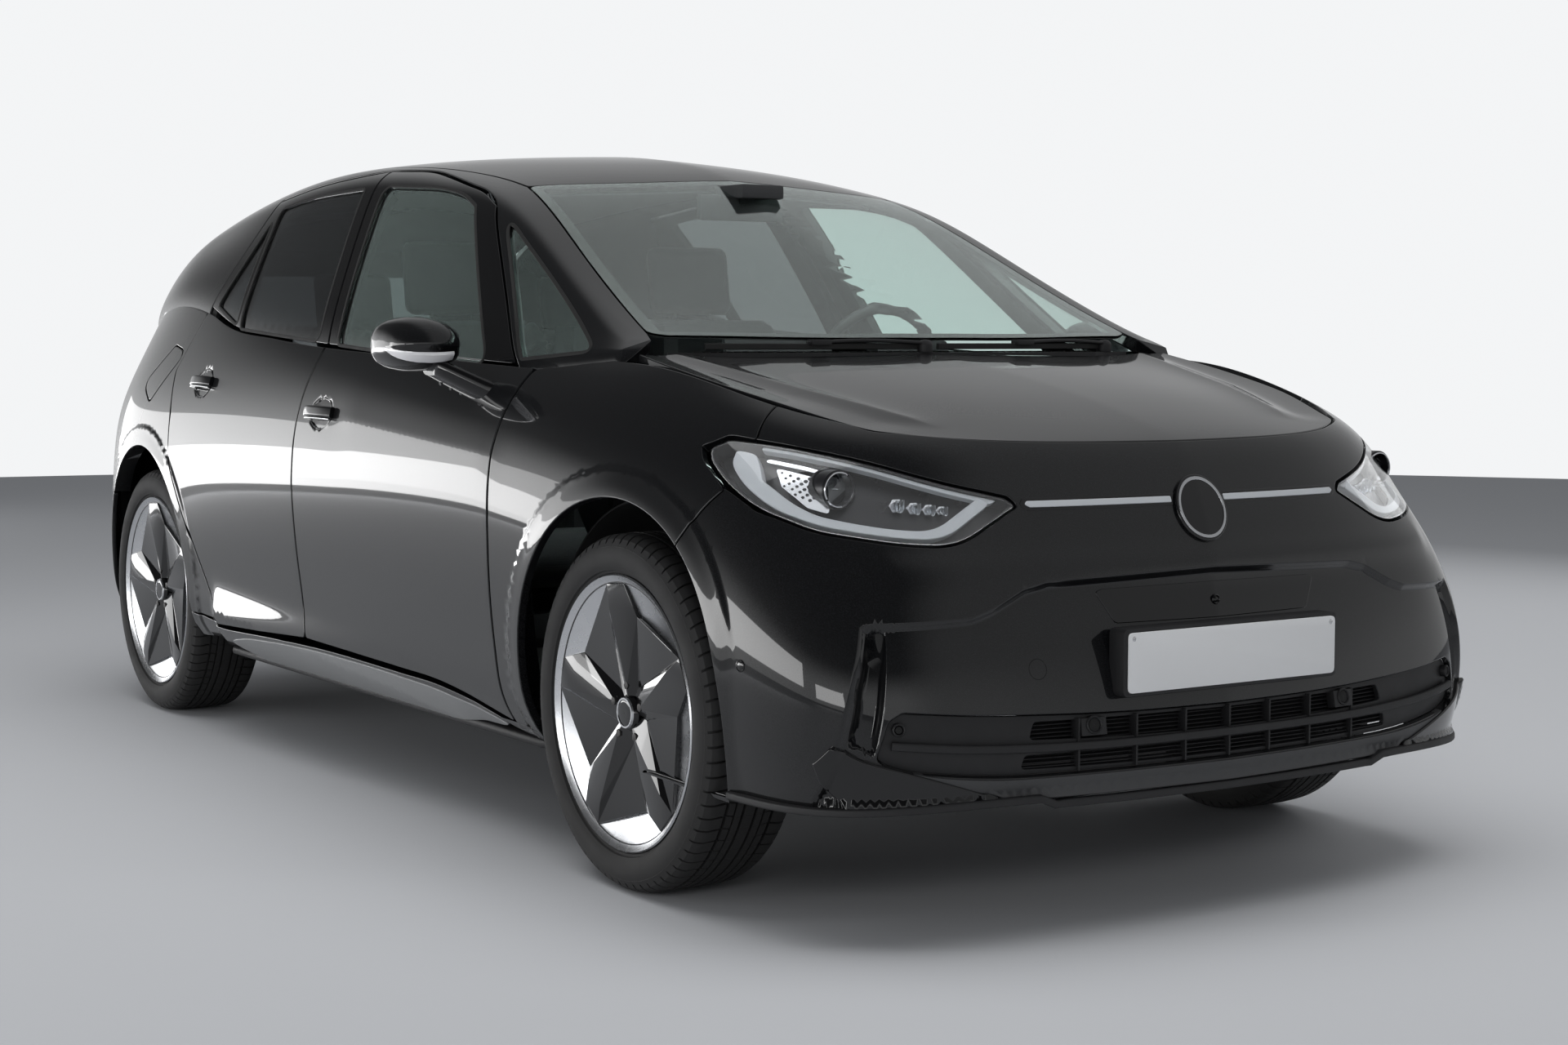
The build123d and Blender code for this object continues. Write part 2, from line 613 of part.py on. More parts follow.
leaf_wall, leaf_depth, leaf_half_length, leaf_clearance = 1.6, 1.2, 20.0, 0.9
low, high = [Vector(place_x(x), place_z(z)) for x, z in (charge_flap_outline[3],
                                                         charge_flap_outline[2])]
along = (high - low).normalized()
away = Vector(along.Y, -along.X)
leaf_middle = (low + high) * 0.5
with BuildPart() as flap_leaf:
    extrude(skin(HULL, np.linspace(0.5, 0.9, 30), np.linspace(0, 1, 12), leaf_depth),
            amount=leaf_wall, dir=INWARD)
    with BuildSketch(side_plane):
        with BuildLine():
            reach = shut_gap - leaf_clearance
            corners = [leaf_middle + along * a + away * b for a, b in (
                (-leaf_half_length, -10), (leaf_half_length, -10), (leaf_half_length, reach),
                (-leaf_half_length, reach))]
            Polyline(*[(c.X, c.Y) for c in corners], close=True)
        make_face()
    extrude(amount=FAR / 6, both=True, mode=Mode.INTERSECT)
flap_corner = 13.0
with BuildPart() as corner_cut:
    with BuildSketch(side_plane):
        with BuildLine():
            before = (Vector(place_x(charge_flap_outline[1][0]), place_z(charge_flap_outline[1][1]))
                      - high).normalized()
            after = (low - high).normalized()
            corners = [high + before * flap_corner, high - (before + after) * flap_corner,
                       high + after * flap_corner]
            Polyline(*[(c.X, c.Y) for c in corners], close=True)
        make_face()
    extrude(amount=FAR / 6, both=True)
with BuildPart() as flap:
    extrude(side_face, amount=flap_wall, dir=INWARD)
    add(flap_cutter(0, 200), mode=Mode.INTERSECT)
    add(corner_cut.part, mode=Mode.SUBTRACT)
    add(flap_leaf.part)
export(flap.part, "charge_flap")

# ---- front wings, front bumper and lamps ---------------------------------------------------
fender_outline = [(813, 245.5), (825, 658), (827, 798), (848, 1012), (1010, 1026), (1122, 1040),
                  (1330, 1060), (1600, 1000), (1600, 960), (1640, 905), (1692, 806), (1600, 764),
                  (1500, 600), (1330, 500), (936, 245.5)]

with BuildPart() as fender:
    extrude(side_face, amount=fender_wall, dir=INWARD)
    with BuildSketch(side_plane):
        with BuildLine():
            side_outline(fender_outline)
        make_face()
    extrude(amount=FAR / 6, both=True, mode=Mode.INTERSECT)
    add(door_cutter(front_door_outline, shut_gap / 2), mode=Mode.SUBTRACT)
    add(wheel_cutter(front_axle_x, 0), mode=Mode.SUBTRACT)
    add(bonnet_cut.part, mode=Mode.SUBTRACT)
    add(lamp_cut.part, mode=Mode.SUBTRACT)
with BuildPart() as front_fenders:
    add(fender.part)
    add(mirror(fender.part, about=Plane.XZ))
export(front_fenders.part, "front_fenders")

intake = [(-y, z) for y, z in intake_half[-2:0:-1]]
with BuildPart() as intake_cut:
    with BuildSketch(front_view.offset(place_x(1850))):
        with BuildLine():
            front_outline(intake_half + intake)
        make_face()
    extrude(amount=FAR)

strip_z, strip_half_height = place_z(777), 10.0
emblem_radius, emblem_z = 62.0, place_z(758)
with BuildPart() as strip_cut:
    with BuildSketch(front_view.offset(place_x(1700))):
        with Locations((0, strip_z)):
            Rectangle(2 * place_y(398), 2 * strip_half_height)
        with Locations((0, emblem_z)):
            Circle(emblem_radius)
    extrude(amount=FAR)


def nose_half(depth):
    """Right half of the nose wall, closed on the centre plane."""
    with BuildPart() as half:
        extrude(nose_face, amount=depth, dir=NOSE_CUT)
        with Locations((0, FAR / 2, 0)):
            Box(2 * FAR, FAR, 2 * FAR, mode=Mode.SUBTRACT)
    return half.part


nose_wall = nose_half(bumper_wall)
bumper_outline = [(2300, 180), (1600, 180), (1500, 351), (1600, 764), (1692, 806), (1640, 905),
                  (1600, 960), (1600, 1050), (2300, 1050)]
with BuildPart() as bumper_half:
    add(nose_wall)
    with BuildSketch(side_plane):
        with BuildLine():
            side_outline([(x + joint_gap if x < 1700 else x, z) for x, z in bumper_outline])
        make_face()
    extrude(amount=-FAR / 2, mode=Mode.INTERSECT)
    add(wheel_cutter(front_axle_x, 2), mode=Mode.SUBTRACT)
    add(bonnet_cut.part, mode=Mode.SUBTRACT)
    add(lamp_cut.part, mode=Mode.SUBTRACT)
    add(intake_cut.part, mode=Mode.SUBTRACT)
    add(strip_cut.part, mode=Mode.SUBTRACT)

plate_width, plate_height, plate_thickness = 520.0, 110.0, 4.0
plate_z, plate_x = place_z(493), place_x(2118)
with BuildPart() as front_bumper:
    add(bumper_half.part)
    add(mirror(bumper_half.part, about=Plane.XZ))
    with Locations((plate_x - 22, 0, plate_z)):
        Box(44, plate_width + 16, plate_height + 16)
export(front_bumper.part, "front_bumper")

with BuildPart() as grille_half:
    add(nose_wall)
    with BuildSketch(front_view.offset(place_x(1850))):
        with BuildLine():
            front_outline(intake_half + intake)
        make_face()
        offset(amount=-joint_gap, kind=Kind.INTERSECTION)
    extrude(amount=FAR, mode=Mode.INTERSECT)
with BuildPart() as front_grille:
    add(grille_half.part)
    add(mirror(grille_half.part, about=Plane.XZ))
export(front_grille.part, "front_grille")

with BuildPart() as lamp:
    add(nose_half(bumper_wall * 1.6))
    with BuildSketch(front_view.offset(place_x(1500))):
        with BuildLine():
            front_outline(lamp_outline)
        make_face()
    extrude(amount=FAR, mode=Mode.INTERSECT)
    add(bonnet_cut.part, mode=Mode.SUBTRACT)
with BuildPart() as head_lamps:
    add(lamp.part)
    add(mirror(lamp.part, about=Plane.XZ))
export(head_lamps.part, "head_lamps")

with BuildPart() as strip_half:
    add(nose_wall)
    with BuildSketch(front_view.offset(place_x(1700))):
        with Locations((0, strip_z)):
            Rectangle(2 * (place_y(398) - joint_gap), 2 * (strip_half_height - joint_gap))
        with Locations((0, emblem_z)):
            Circle(emblem_radius - joint_gap)
    extrude(amount=FAR, mode=Mode.INTERSECT)
with BuildPart() as light_bar:
    add(strip_half.part)
    add(mirror(strip_half.part, about=Plane.XZ))
export(light_bar.part, "light_bar")

# ---- bonnet, cowl, windscreen and roof -------------------------------------------------------
with BuildPart() as bonnet:
    extrude(bonnet_face, amount=bonnet_wall, dir=(-BONNET_SLANT, 0, -1))
export(bonnet.part, "bonnet")

with BuildPart() as crown_wall:
    extrude(crown_face, amount=roof_wall, dir=(0, 0, -1))

with BuildPart() as windscreen:
    extrude(crown_face, amount=glass_thickness * 2.2, dir=(0, 0, -1))
    with BuildSketch(top_view):
        with BuildLine():
            top_outline(both_sides(windscreen_half))
        make_face()
        offset(amount=-joint_gap, kind=Kind.INTERSECTION)
    extrude(amount=FAR, mode=Mode.INTERSECT)

with BuildPart() as quarter_light:
    add(pane(front_quarter_light, frame_wall / 2))
with BuildPart() as fixed_glass:
    add(windscreen.part)
    add(quarter_light.part)
    add(mirror(quarter_light.part, about=Plane.XZ))
export(fixed_glass.part, "fixed_glass")

with BuildPart() as roof_panel:
    add(crown_wall.part)
    with BuildSketch(top_view):
        with BuildLine():
            top_outline(both_sides(roof_half))
        make_face()
        offset(amount=-joint_gap, kind=Kind.INTERSECTION)
    extrude(amount=FAR, mode=Mode.INTERSECT)
export(roof_panel.part, "roof_panel")

with BuildPart() as cowl_panel:
    with BuildSketch(top_view.offset(place_z(1000))):
        with BuildLine():
            top_outline([(1192 - cowl_gap, 0), (1187 - cowl_gap, 235), (1165 - cowl_gap, 480),
                         (1100, 620), (1083, 612), (1135, 300), (1153, 0), (1135, -300),
                         (1083, -612), (1100, -620), (1165 - cowl_gap, -480),
                         (1187 - cowl_gap, -235)])
        make_face()
    extrude(amount=cowl_height)
    for side in (-1, 1):
        with Locations((place_x(1124), side * place_y(596), place_z(982))):
            Box(82, 40, 32)
        with Locations((place_x(1093), side * place_y(596), place_z(994))):
            Box(20, 40, 40)
        with Locations((place_x(1116), side * (tower_wall_y - 16), (shelf_z + 5 + place_z(1004)) / 2)):
            Box(14, 28, place_z(1004) - shelf_z - 5.6)
    under = Vector(-BONNET_SLANT, 0, -1).normalized() * bonnet_wall
    extrude(bonnet_face.moved(Location(under - Vector(0, 0, bonnet_seat_gap))), amount=90,
            dir=(0, 0, 1), mode=Mode.SUBTRACT)
export(cowl_panel.part, "cowl_panel")

# ---- tailgate ----------------------------------------
spoiler_wall = 26.0
hatch_direction = Vector(*HATCH_CUT).normalized()
hatch_window = [(-478, 1130), (-440, 1300), (440, 1300), (478, 1130)]


def hatch_region(margin):
    """Prism inside the tailgate opening, margin clear of its edge."""
    with BuildPart() as region:
        with BuildSketch(front_view.offset(hatch_front_x - shut_gap)):
            with BuildLine():
                front_outline(hatch_opening)
            make_face()
            offset(amount=-margin, kind=Kind.INTERSECTION)
        extrude(amount=-FAR)
    return region.part


outer_region, frame_region = hatch_region(shut_gap), hatch_region(shut_gap + hatch_setback)


def hatch_layer(depth, wall, region):
    """Wall of the upper tail, its outer face depth below the skin."""
    with BuildPart() as layer:
        extrude(hatch_face.moved(Location(hatch_direction * depth)), amount=wall, dir=HATCH_CUT)
        add(region, mode=Mode.INTERSECT)
    return layer.part


with BuildPart() as spoiler:
    add(hatch_layer(0, spoiler_wall, outer_region))
    with Locations((place_x(-1760), 0, place_z(1340) + 200)):
        Box(900, 2 * place_y(500), 400, mode=Mode.INTERSECT)
export(spoiler.part, "rear_spoiler")

hatch_waist_z = place_z(1072)


def tail_layer(depth, wall, region):
    """Wall of the lower tail, its outer face depth below the skin."""
    with BuildPart() as layer:
        extrude(back_face.moved(Location((depth, 0, 0))), amount=wall, dir=(1, 0, 0))
        add(region, mode=Mode.INTERSECT)
        with Locations((place_x(-2050), 0, hatch_waist_z - 250)):
            Box(260, FAR, 500, mode=Mode.INTERSECT)
    return layer.part


with BuildPart() as tail_upper:
    add(hatch_layer(spoiler_wall + joint_gap, tailgate_wall, frame_region))
    with Locations((place_x(-1700), 0, hatch_waist_z + 300)):
        Box(FAR, FAR, 600, mode=Mode.INTERSECT)

with BuildPart() as hatch_lamp_cut:
    with BuildSketch(front_view.offset(place_x(-1900))):
        with BuildLine():
            front_outline([(-y, z) for y, z in hatch_lamp_half])
        make_face()
        offset(amount=joint_gap, kind=Kind.INTERSECTION)
        mirror(about=Plane.YZ)
    extrude(amount=-FAR)

with BuildPart() as hatch_window_cut:
    with BuildSketch(front_view.offset(place_x(-1700))):
        with BuildLine():
            front_outline(hatch_window)
        make_face()
    extrude(amount=-FAR)

with BuildPart() as tailgate:
    add(tail_upper.part)
    add(tail_layer(0, tailgate_outer_wall, outer_region))
    add(tail_layer(tailgate_outer_wall - 4, tailgate_wall - tailgate_outer_wall + 4,
                   frame_region))
    add(hatch_window_cut.part, mode=Mode.SUBTRACT)
    add(hatch_lamp_cut.part, mode=Mode.SUBTRACT)
export(tailgate.part, "tailgate")

with BuildPart() as tailgate_glass:
    extrude(hatch_face.moved(Location(hatch_direction * (spoiler_wall + 14))),
            amount=glass_thickness, dir=HATCH_CUT)
    with BuildSketch(front_view.offset(place_x(-1700))):
        with BuildLine():
            front_outline(hatch_window)
        make_face()
        offset(amount=-joint_gap, kind=Kind.INTERSECTION)
    extrude(amount=-FAR, mode=Mode.INTERSECT)
export(tailgate_glass.part, "tailgate_glass")

with BuildPart() as tailgate_lamps:
    extrude(back_face, amount=tailgate_wall * 0.7, dir=(1, 0, 0))
    with BuildSketch(front_view.offset(place_x(-1900))):
        with BuildLine():
            front_outline([(-y, z) for y, z in hatch_lamp_half])
        make_face()
        mirror(about=Plane.YZ)
    extrude(amount=-FAR, mode=Mode.INTERSECT)
export(tailgate_lamps.part, "tailgate_lamps")

with BuildPart() as tail_lamp:
    add(side_wall.part)
    with BuildSketch(side_plane):
        with BuildLine():
            side_outline(tail_lamp_outline)
        make_face()
    extrude(amount=FAR / 6, both=True, mode=Mode.INTERSECT)
    add(hatch_cut.part, mode=Mode.SUBTRACT)
with BuildPart() as tail_lamps:
    add(tail_lamp.part)
    add(mirror(tail_lamp.part, about=Plane.XZ))
export(tail_lamps.part, "tail_lamps")

# ---- rear bumper and diffuser ----------------------------------------
with BuildPart() as tail_wrap:
    extrude(tail_face, amount=bumper_wall, dir=TAIL_CUT)
    with Locations((0, FAR / 2, 0)):
        Box(2 * FAR, FAR, 2 * FAR, mode=Mode.SUBTRACT)

with BuildPart() as diffuser_cut:
    with BuildSketch(front_view.offset(place_x(-1950))):
        with BuildLine():
            front_outline([(-560, 200), (-500, 400), (500, 400), (560, 200)])
        make_face()
    extrude(amount=-FAR)

with BuildPart() as rear_bumper_half:
    add(tail_wrap.part)
    with BuildSketch(side_plane):
        with BuildLine():
            side_outline([(x, z - joint_gap) for x, z in tail_joint] + [(-2200, 200), (-1500, 200),
                                                                       (-1500, 600)])
        make_face()
    extrude(amount=-FAR / 2, mode=Mode.INTERSECT)
    add(wheel_cutter(rear_axle_x, 0), mode=Mode.SUBTRACT)
    add(diffuser_cut.part, mode=Mode.SUBTRACT)
with BuildPart() as rear_bumper:
    add(rear_bumper_half.part)
    add(mirror(rear_bumper_half.part, about=Plane.XZ))
    with Locations((place_x(-2128) + 30, 0, place_z(575))):
        Box(60, plate_width + 16, plate_height + 16)
    with Locations((place_x(-2128) - plate_thickness / 2, 0, place_z(575))):
        Box(plate_thickness, plate_width + 1, plate_height + 1, mode=Mode.SUBTRACT)
    stop_low_z, stop_high_z = place_z(735), place_z(742) + shut_gap - stop_clearance
    for side in (-1, 1):
        with Locations((place_x(-2052), side * place_y(330), (stop_low_z + stop_high_z) / 2)):
            Box(24, 40, stop_high_z - stop_low_z)
export(rear_bumper.part, "rear_bumper")

with BuildPart() as diffuser_half:
    add(tail_wrap.part)
    add(diffuser_cut.part, mode=Mode.INTERSECT)
with BuildPart() as rear_diffuser:
    add(diffuser_half.part)
    add(mirror(diffuser_half.part, about=Plane.XZ))
export(rear_diffuser.part, "rear_diffuser")

with BuildPart() as number_plates:
    with Locations((plate_x + plate_thickness / 2, 0, plate_z)):
        Box(plate_thickness, plate_width, plate_height)
    with Locations((place_x(-2128) - plate_thickness / 2, 0, place_z(575))):
        Box(plate_thickness, plate_width, plate_height)
export(number_plates.part, "number_plates")
print("outer body done")

# ---- door mirrors ----------------------------------------
with BuildPart() as mirror_right:
    for y, half_x, half_z in ((-866, 70, 46), (-950, 106, 64), (-1030, 84, 44)):
        with BuildSketch(Plane.XZ.offset(-place_y(y))):
            with Locations((place_x(600), place_z(1058))):
                Ellipse(half_x, half_z)
    loft()
    with BuildSketch(Plane.XZ.offset(skin_half_width(place_x(690), place_z(960)) - 20)):
        with Locations((place_x(690), place_z(960))):
            Rectangle(90, 56)
    with BuildSketch(Plane.XZ.offset(place_y(930))):
        with Locations((place_x(640), place_z(1024))):
            Rectangle(80, 40)
    loft()
    add(side_wall.part, mode=Mode.SUBTRACT)
    add(frame_ring.part, mode=Mode.SUBTRACT)
export(mirror_right.part, "mirror_right")
mirrored(mirror_right.part, "mirror_left")

# ---- wheels and tyres ----------------------------------------
front_wheel_y = -front_track / 2
rear_wheel_y = -rear_track / 2
half_tyre = tyre_width / 2
rim_half = half_tyre - 7.5
bead_width = 22.0
drop_radius = tyre_bore_radius - 24
rim_wall = 8.0
hub_bore = spindle_radius + spindle_clearance
hub_reach = 88.0


def axle_section(axle_x, wheel_y):
    """Plane through a wheel's axis: local x runs outboard from the mid plane, local y upwards."""
    return Plane(origin=(axle_x, wheel_y, wheel_z), x_dir=(0, -1, 0), z_dir=(-1, 0, 0))


def disc_plane(axle_x, wheel_y, outboard):
    """Plane across a wheel's axis, outboard of the mid plane, facing outboard."""
    return Plane(origin=(axle_x, wheel_y - outboard, wheel_z), x_dir=(1, 0, 0),
                 z_dir=(0, -1, 0))


def wheel_axis(axle_x, wheel_y):
    return Axis((axle_x, wheel_y, wheel_z), (0, 1, 0))


def tyre(axle_x, wheel_y):
    with BuildPart() as ring:
        with BuildSketch(axle_section(axle_x, wheel_y)):
            with BuildLine():
                bead = rim_half - rim_wall
                right = [(bead - bead_width, tyre_bore_radius), (bead, tyre_bore_radius),
                         (bead, rim_flange_radius), (half_tyre - 2, rim_flange_radius + 14),
                         (half_tyre, tyre_bore_radius + 52), (half_tyre - 4, tyre_radius - 26),
                         (half_tyre - 14, tyre_radius - 8), (half_tyre - 28, tyre_radius - 2),
                         (half_tyre - 60, tyre_radius)]
                inner = [(half_tyre - 34, tyre_radius - 18), (half_tyre - 16, tyre_radius - 34),
                         (half_tyre - 12, tyre_bore_radius + 46),
                         (bead - bead_width, tyre_bore_radius + 14)]
                outer_line = right + [(-a, r) for a, r in right[::-1]]
                inner_line = [(-a, r) for a, r in inner[::-1]] + inner
                Polyline(*(outer_line + inner_line), close=True)
            make_face()
        revolve(axis=wheel_axis(axle_x, wheel_y))
    return ring.part


with BuildSketch() as spoke_sketch:
    with BuildLine():
        tip = tyre_bore_radius - rim_wall + 2
        Polyline((hub_radius - 14, -58), (tip, -26), (tip, 26), (hub_radius - 14, 58), close=True)
    make_face()


def wheel(axle_x, wheel_y):
    with BuildPart() as whole:
        with BuildSketch(axle_section(axle_x, wheel_y)):
            with BuildLine():
                bead = rim_half - rim_wall
                well = bead - bead_width - 10
                outer = [(rim_half, rim_flange_radius), (bead, rim_flange_radius),
                         (bead, tyre_bore_radius), (bead - bead_width, tyre_bore_radius),
                         (well, drop_radius)]
                inner = [(well - 4, drop_radius - rim_wall),
                         (bead - bead_width + 6, tyre_bore_radius - rim_wall),
                         (rim_half, tyre_bore_radius - rim_wall + 4)]
                Polyline(*(outer + [(-a, r) for a, r in outer[::-1]]
                           + [(-a, r) for a, r in inner[::-1]] + inner), close=True)
            make_face()
        revolve(axis=wheel_axis(axle_x, wheel_y))
        with BuildSketch(disc_plane(axle_x, wheel_y, hub_reach - 30)):
            with PolarLocations(0, spoke_count, start_angle=90):
                add(spoke_sketch.sketch)
        extrude(amount=28)
        with BuildSketch(disc_plane(axle_x, wheel_y, -20)):
            Circle(50)
        extrude(amount=hub_reach + 10)
        with BuildSketch(disc_plane(axle_x, wheel_y, hub_reach - 32)):
            Circle(hub_radius)
        extrude(amount=32)
        with BuildSketch(disc_plane(axle_x, wheel_y, -46)):
            Circle(brake_disc_radius)
        extrude(amount=26)
        with BuildSketch(disc_plane(axle_x, wheel_y, -50)):
            Circle(hub_bore)
        extrude(amount=hub_reach + 44, mode=Mode.SUBTRACT)
    return whole.part


for axle_x, wheel_y, end in ((front_axle_x, front_wheel_y, "front"),
                             (rear_axle_x, rear_wheel_y, "rear")):
    for piece, name in ((tyre(axle_x, wheel_y), "tyre"), (wheel(axle_x, wheel_y), "wheel")):
        export(piece, f"{name}_{end}_right")
        mirrored(piece, f"{name}_{end}_left")

# ---- front knuckles and suspension ----------------------------------------
kingpin_foot_z = 178.0
kingpin = Vector(0, math.sin(math.radians(kingpin_tilt)), math.cos(math.radians(kingpin_tilt)))
kingpin_foot = Vector(front_axle_x, -kingpin_foot_y, kingpin_foot_z)
strut_radius, spring_radius, top_pin_radius = 26.0, 54.0, 12.0
strut_length, spring_low, spring_high = 650.0, 560.0, 664.0
tower_reach = 676.0


def kingpin_plane(reach):
    """Plane square to the steering axis, reach above its foot."""
    return Plane(origin=kingpin_foot + kingpin * reach, x_dir=(1, 0, 0), z_dir=kingpin)


with BuildPart() as knuckle_right:
    with BuildSketch(disc_plane(front_axle_x, front_wheel_y, -104)):
        Circle(64)
    extrude(amount=46)
    with BuildSketch(disc_plane(front_axle_x, front_wheel_y, -70)):
        Circle(spindle_radius)
    extrude(amount=70 + hub_reach - 10)
    with BuildSketch(kingpin_plane(24 * math.tan(math.radians(kingpin_tilt)) + 0.3)):
        Circle(24)
    extrude(amount=120)
    with BuildSketch(kingpin_plane(230)):
        Circle(strut_radius)
    extrude(amount=strut_length - 230)
    with BuildSketch(kingpin_plane(spring_low)):
        Circle(spring_radius)
    extrude(amount=spring_high - spring_low)
    with BuildSketch(kingpin_plane(strut_length)):
        Circle(top_pin_radius)
    extrude(amount=tower_reach + 14 - strut_length)
    with BuildSketch(disc_plane(front_axle_x, front_wheel_y, -112)):
        with Locations((-58, 58)):
            Rectangle(34, 140, rotation=45)
    extrude(amount=30)
    with BuildSketch(disc_plane(front_axle_x, front_wheel_y, -78)):
        with Locations((-brake_disc_radius - 2, 0)):
            Rectangle(56, 110)
    extrude(amount=64)
    with BuildSketch(disc_plane(front_axle_x, front_wheel_y, -78)):
        with Locations((-100, 0)):
            Rectangle(120, 60)
    extrude(amount=16)
    with BuildSketch(disc_plane(front_axle_x, front_wheel_y, -51.5)):
        Circle(brake_disc_radius + 6)
        Circle(spindle_radius + 1, mode=Mode.SUBTRACT)
    extrude(amount=37, mode=Mode.SUBTRACT)
export(knuckle_right.part, "knuckle_right")
mirrored(knuckle_right.part, "knuckle_left")

arm_inner_y, rack_half_length = 390.0, 372.0
boot_floor_z = 560.0
with BuildPart() as front_arm:
    with BuildSketch(Plane.XY.offset(kingpin_foot_z - 22)):
        with BuildLine():
            Polyline((front_axle_x - 150, -arm_inner_y), (front_axle_x + 150, -arm_inner_y),
                     (front_axle_x + 34, -kingpin_foot_y + 120),
                     (front_axle_x + 24, -kingpin_foot_y - 4),
                     (front_axle_x - 24, -kingpin_foot_y - 4),
                     (front_axle_x - 34, -kingpin_foot_y + 120), close=True)
        make_face()
    extrude(amount=22)
with BuildPart() as front_suspension:
    add(front_arm.part)
    add(mirror(front_arm.part, about=Plane.XZ))
    with Locations((front_axle_x, 0, kingpin_foot_z + 15)):
        Box(330, 2 * arm_inner_y + 20, 74)
    with Locations((front_axle_x - 40, 0, 330)):
        Box(60, 2 * rack_half_length, 60)
    for side in (-1, 1):
        with Locations((front_axle_x, side * 400, 326)):
            Box(120, 60, 208)
export(front_suspension.part, "front_suspension")

with BuildPart() as rear_suspension:
    for side in (-1, 1):
        hub_y = side * (-rear_wheel_y)
        with Locations((rear_axle_x, hub_y - side * 84, wheel_z)):
            Box(130, 44, 250)
        spindle_inner, spindle_outer = 106, hub_reach - 12
        with Locations(Location((rear_axle_x, hub_y - side * (spindle_inner - spindle_outer) / 2,
                                 wheel_z), (90, 0, 0))):
            Cylinder(spindle_radius, spindle_inner + spindle_outer)
        with Locations((rear_axle_x + 10, side * 505, 236)):
            Box(170, 340, 24)
        shock_low_z, shock_high_z = 240, boot_floor_z - 0.3
        with Locations((rear_axle_x - 44, side * 520, (shock_low_z + shock_high_z) / 2)):
            Cylinder(24, shock_high_z - shock_low_z)
        with Locations((rear_axle_x + 50, side * 505, 340)):
            Cylinder(52, 200)
    with Locations((rear_axle_x + 90, 0, 190)):
        Box(60, 800, 40)
    with Locations((rear_axle_x - 120, 0, 190)):
        Box(60, 800, 40)
    for side in (-1, 1):
        with Locations((rear_axle_x - 15, side * 400, 200)):
            Box(420, 50, 60)
export(rear_suspension.part, "rear_suspension")
print("running gear done")

# ---- floor, battery and drive ----------------------------------------
rear_house_y = 566.0
rear_house_top = wheel_z + tyre_radius + arch_gap_z + 4
front_rail_y = 400.0
rear_rail_y = 375.0
floor_front, floor_back = place_x(880), place_x(-1050)
with BuildPart() as floor_pan:
    with Locations(((floor_front + floor_back) / 2, 0, floor_z + floor_wall / 2)):
        Box(floor_front - floor_back, 2 * floor_half_width, floor_wall)
    with Locations((floor_front + 10, 0, (floor_z + place_z(940)) / 2)):
        Box(20, 2 * place_y(640), place_z(940) - floor_z)
    with Locations((floor_back, 0, (floor_z + boot_floor_z) / 2)):
        Box(16, 2 * (rear_house_y - 4), boot_floor_z - floor_z)
    boot_back = place_x(-2030)
    with Locations(((boot_back + floor_back) / 2, 0, boot_floor_z + 8)):
        Box(floor_back - boot_back, 2 * rear_house_y, 16)
    with Locations((boot_back, 0, place_z(560))):
        Box(14, 2 * place_y(470), place_z(340))
    for side in (-1, 1):
        with Locations(((floor_front + place_x(1990)) / 2, side * front_rail_y, 480)):
            Box(place_x(1990) - floor_front, 80, 100)
        with Locations((front_axle_x, side * (tower_wall_y - 3), 650)):
            Box(240, 12, 440)
        with BuildSketch(Plane(origin=(front_axle_x, side * (kingpin_foot_y - kingpin.Y
                                       * (tower_reach + 8)), kingpin_foot_z + kingpin.Z
                                       * (tower_reach + 8)), x_dir=(1, 0, 0),
                                       z_dir=(0, side * -kingpin.Y, kingpin.Z))):
            Rectangle(200, 300)
            Circle(top_pin_radius + 0.5, mode=Mode.SUBTRACT)
        extrude(amount=12)
        with Locations((rear_axle_x, side * (rear_house_y + 5), (floor_z + rear_house_top) / 2)):
            Box(2 * (tyre_radius + arch_gap_x) + 20, 10, rear_house_top - floor_z)
        with Locations((rear_axle_x, side * (rear_house_y + 80), rear_house_top)):
            Box(2 * (tyre_radius + arch_gap_x) - 200, 160, 10)
        with Locations(((place_x(-2000) + floor_back) / 2, side * rear_rail_y, 510)):
            Box(floor_back - place_x(-2000), 70, 84)
        with Locations((place_x(-90), side * place_y(370), floor_z + floor_wall + 14)):
            Box(380, 380, 28)
    with Locations((place_x(1975), 0, 480)):
        Box(50, 2 * place_y(500), 100)
    with Locations((floor_front + 130, 0, shelf_z)):
        Box(240, 2 * tower_wall_y, 10)
export(floor_pan.part, "floor_pan")

with BuildPart() as battery_pack:
    with Locations((place_x(-80), 0, (battery_base_z + floor_z) / 2)):
        Box(place_x(780) - place_x(-940), 2 * 620, floor_z - battery_base_z)
    fillet(battery_pack.edges().filter_by(Axis.Z), 60)
export(battery_pack.part, "battery_pack")

with BuildPart() as drive_unit:
    with Locations((rear_axle_x - 10, 0, 330)):
        Box(260, 620, 240)
    fillet(drive_unit.edges().filter_by(Axis.Y), 50)
    with Locations((place_x(1240), 0, 640)):
        Box(420, 2 * (front_rail_y - 40 - joint_gap), 380)
export(drive_unit.part, "drive_unit")

# ---- wheel arch liners ----------------------------------------
swing_radius = math.hypot(tyre_radius, half_tyre + 90)
front_liner_radius = swing_radius + liner_clearance
rear_liner_radius = tyre_radius + arch_gap_x - liner_wall


def liner(axle_x, radius, inner_y, outer_y, low_z):
    with BuildPart() as shell:
        with BuildSketch(disc_plane(axle_x, -inner_y, 0)):
            Circle(radius)
            Circle(radius - liner_wall, mode=Mode.SUBTRACT)
            with Locations((0, low_z - wheel_z - radius)):
                Rectangle(4 * radius, 2 * radius, mode=Mode.SUBTRACT)
        extrude(amount=outer_y - inner_y)
    return shell.part


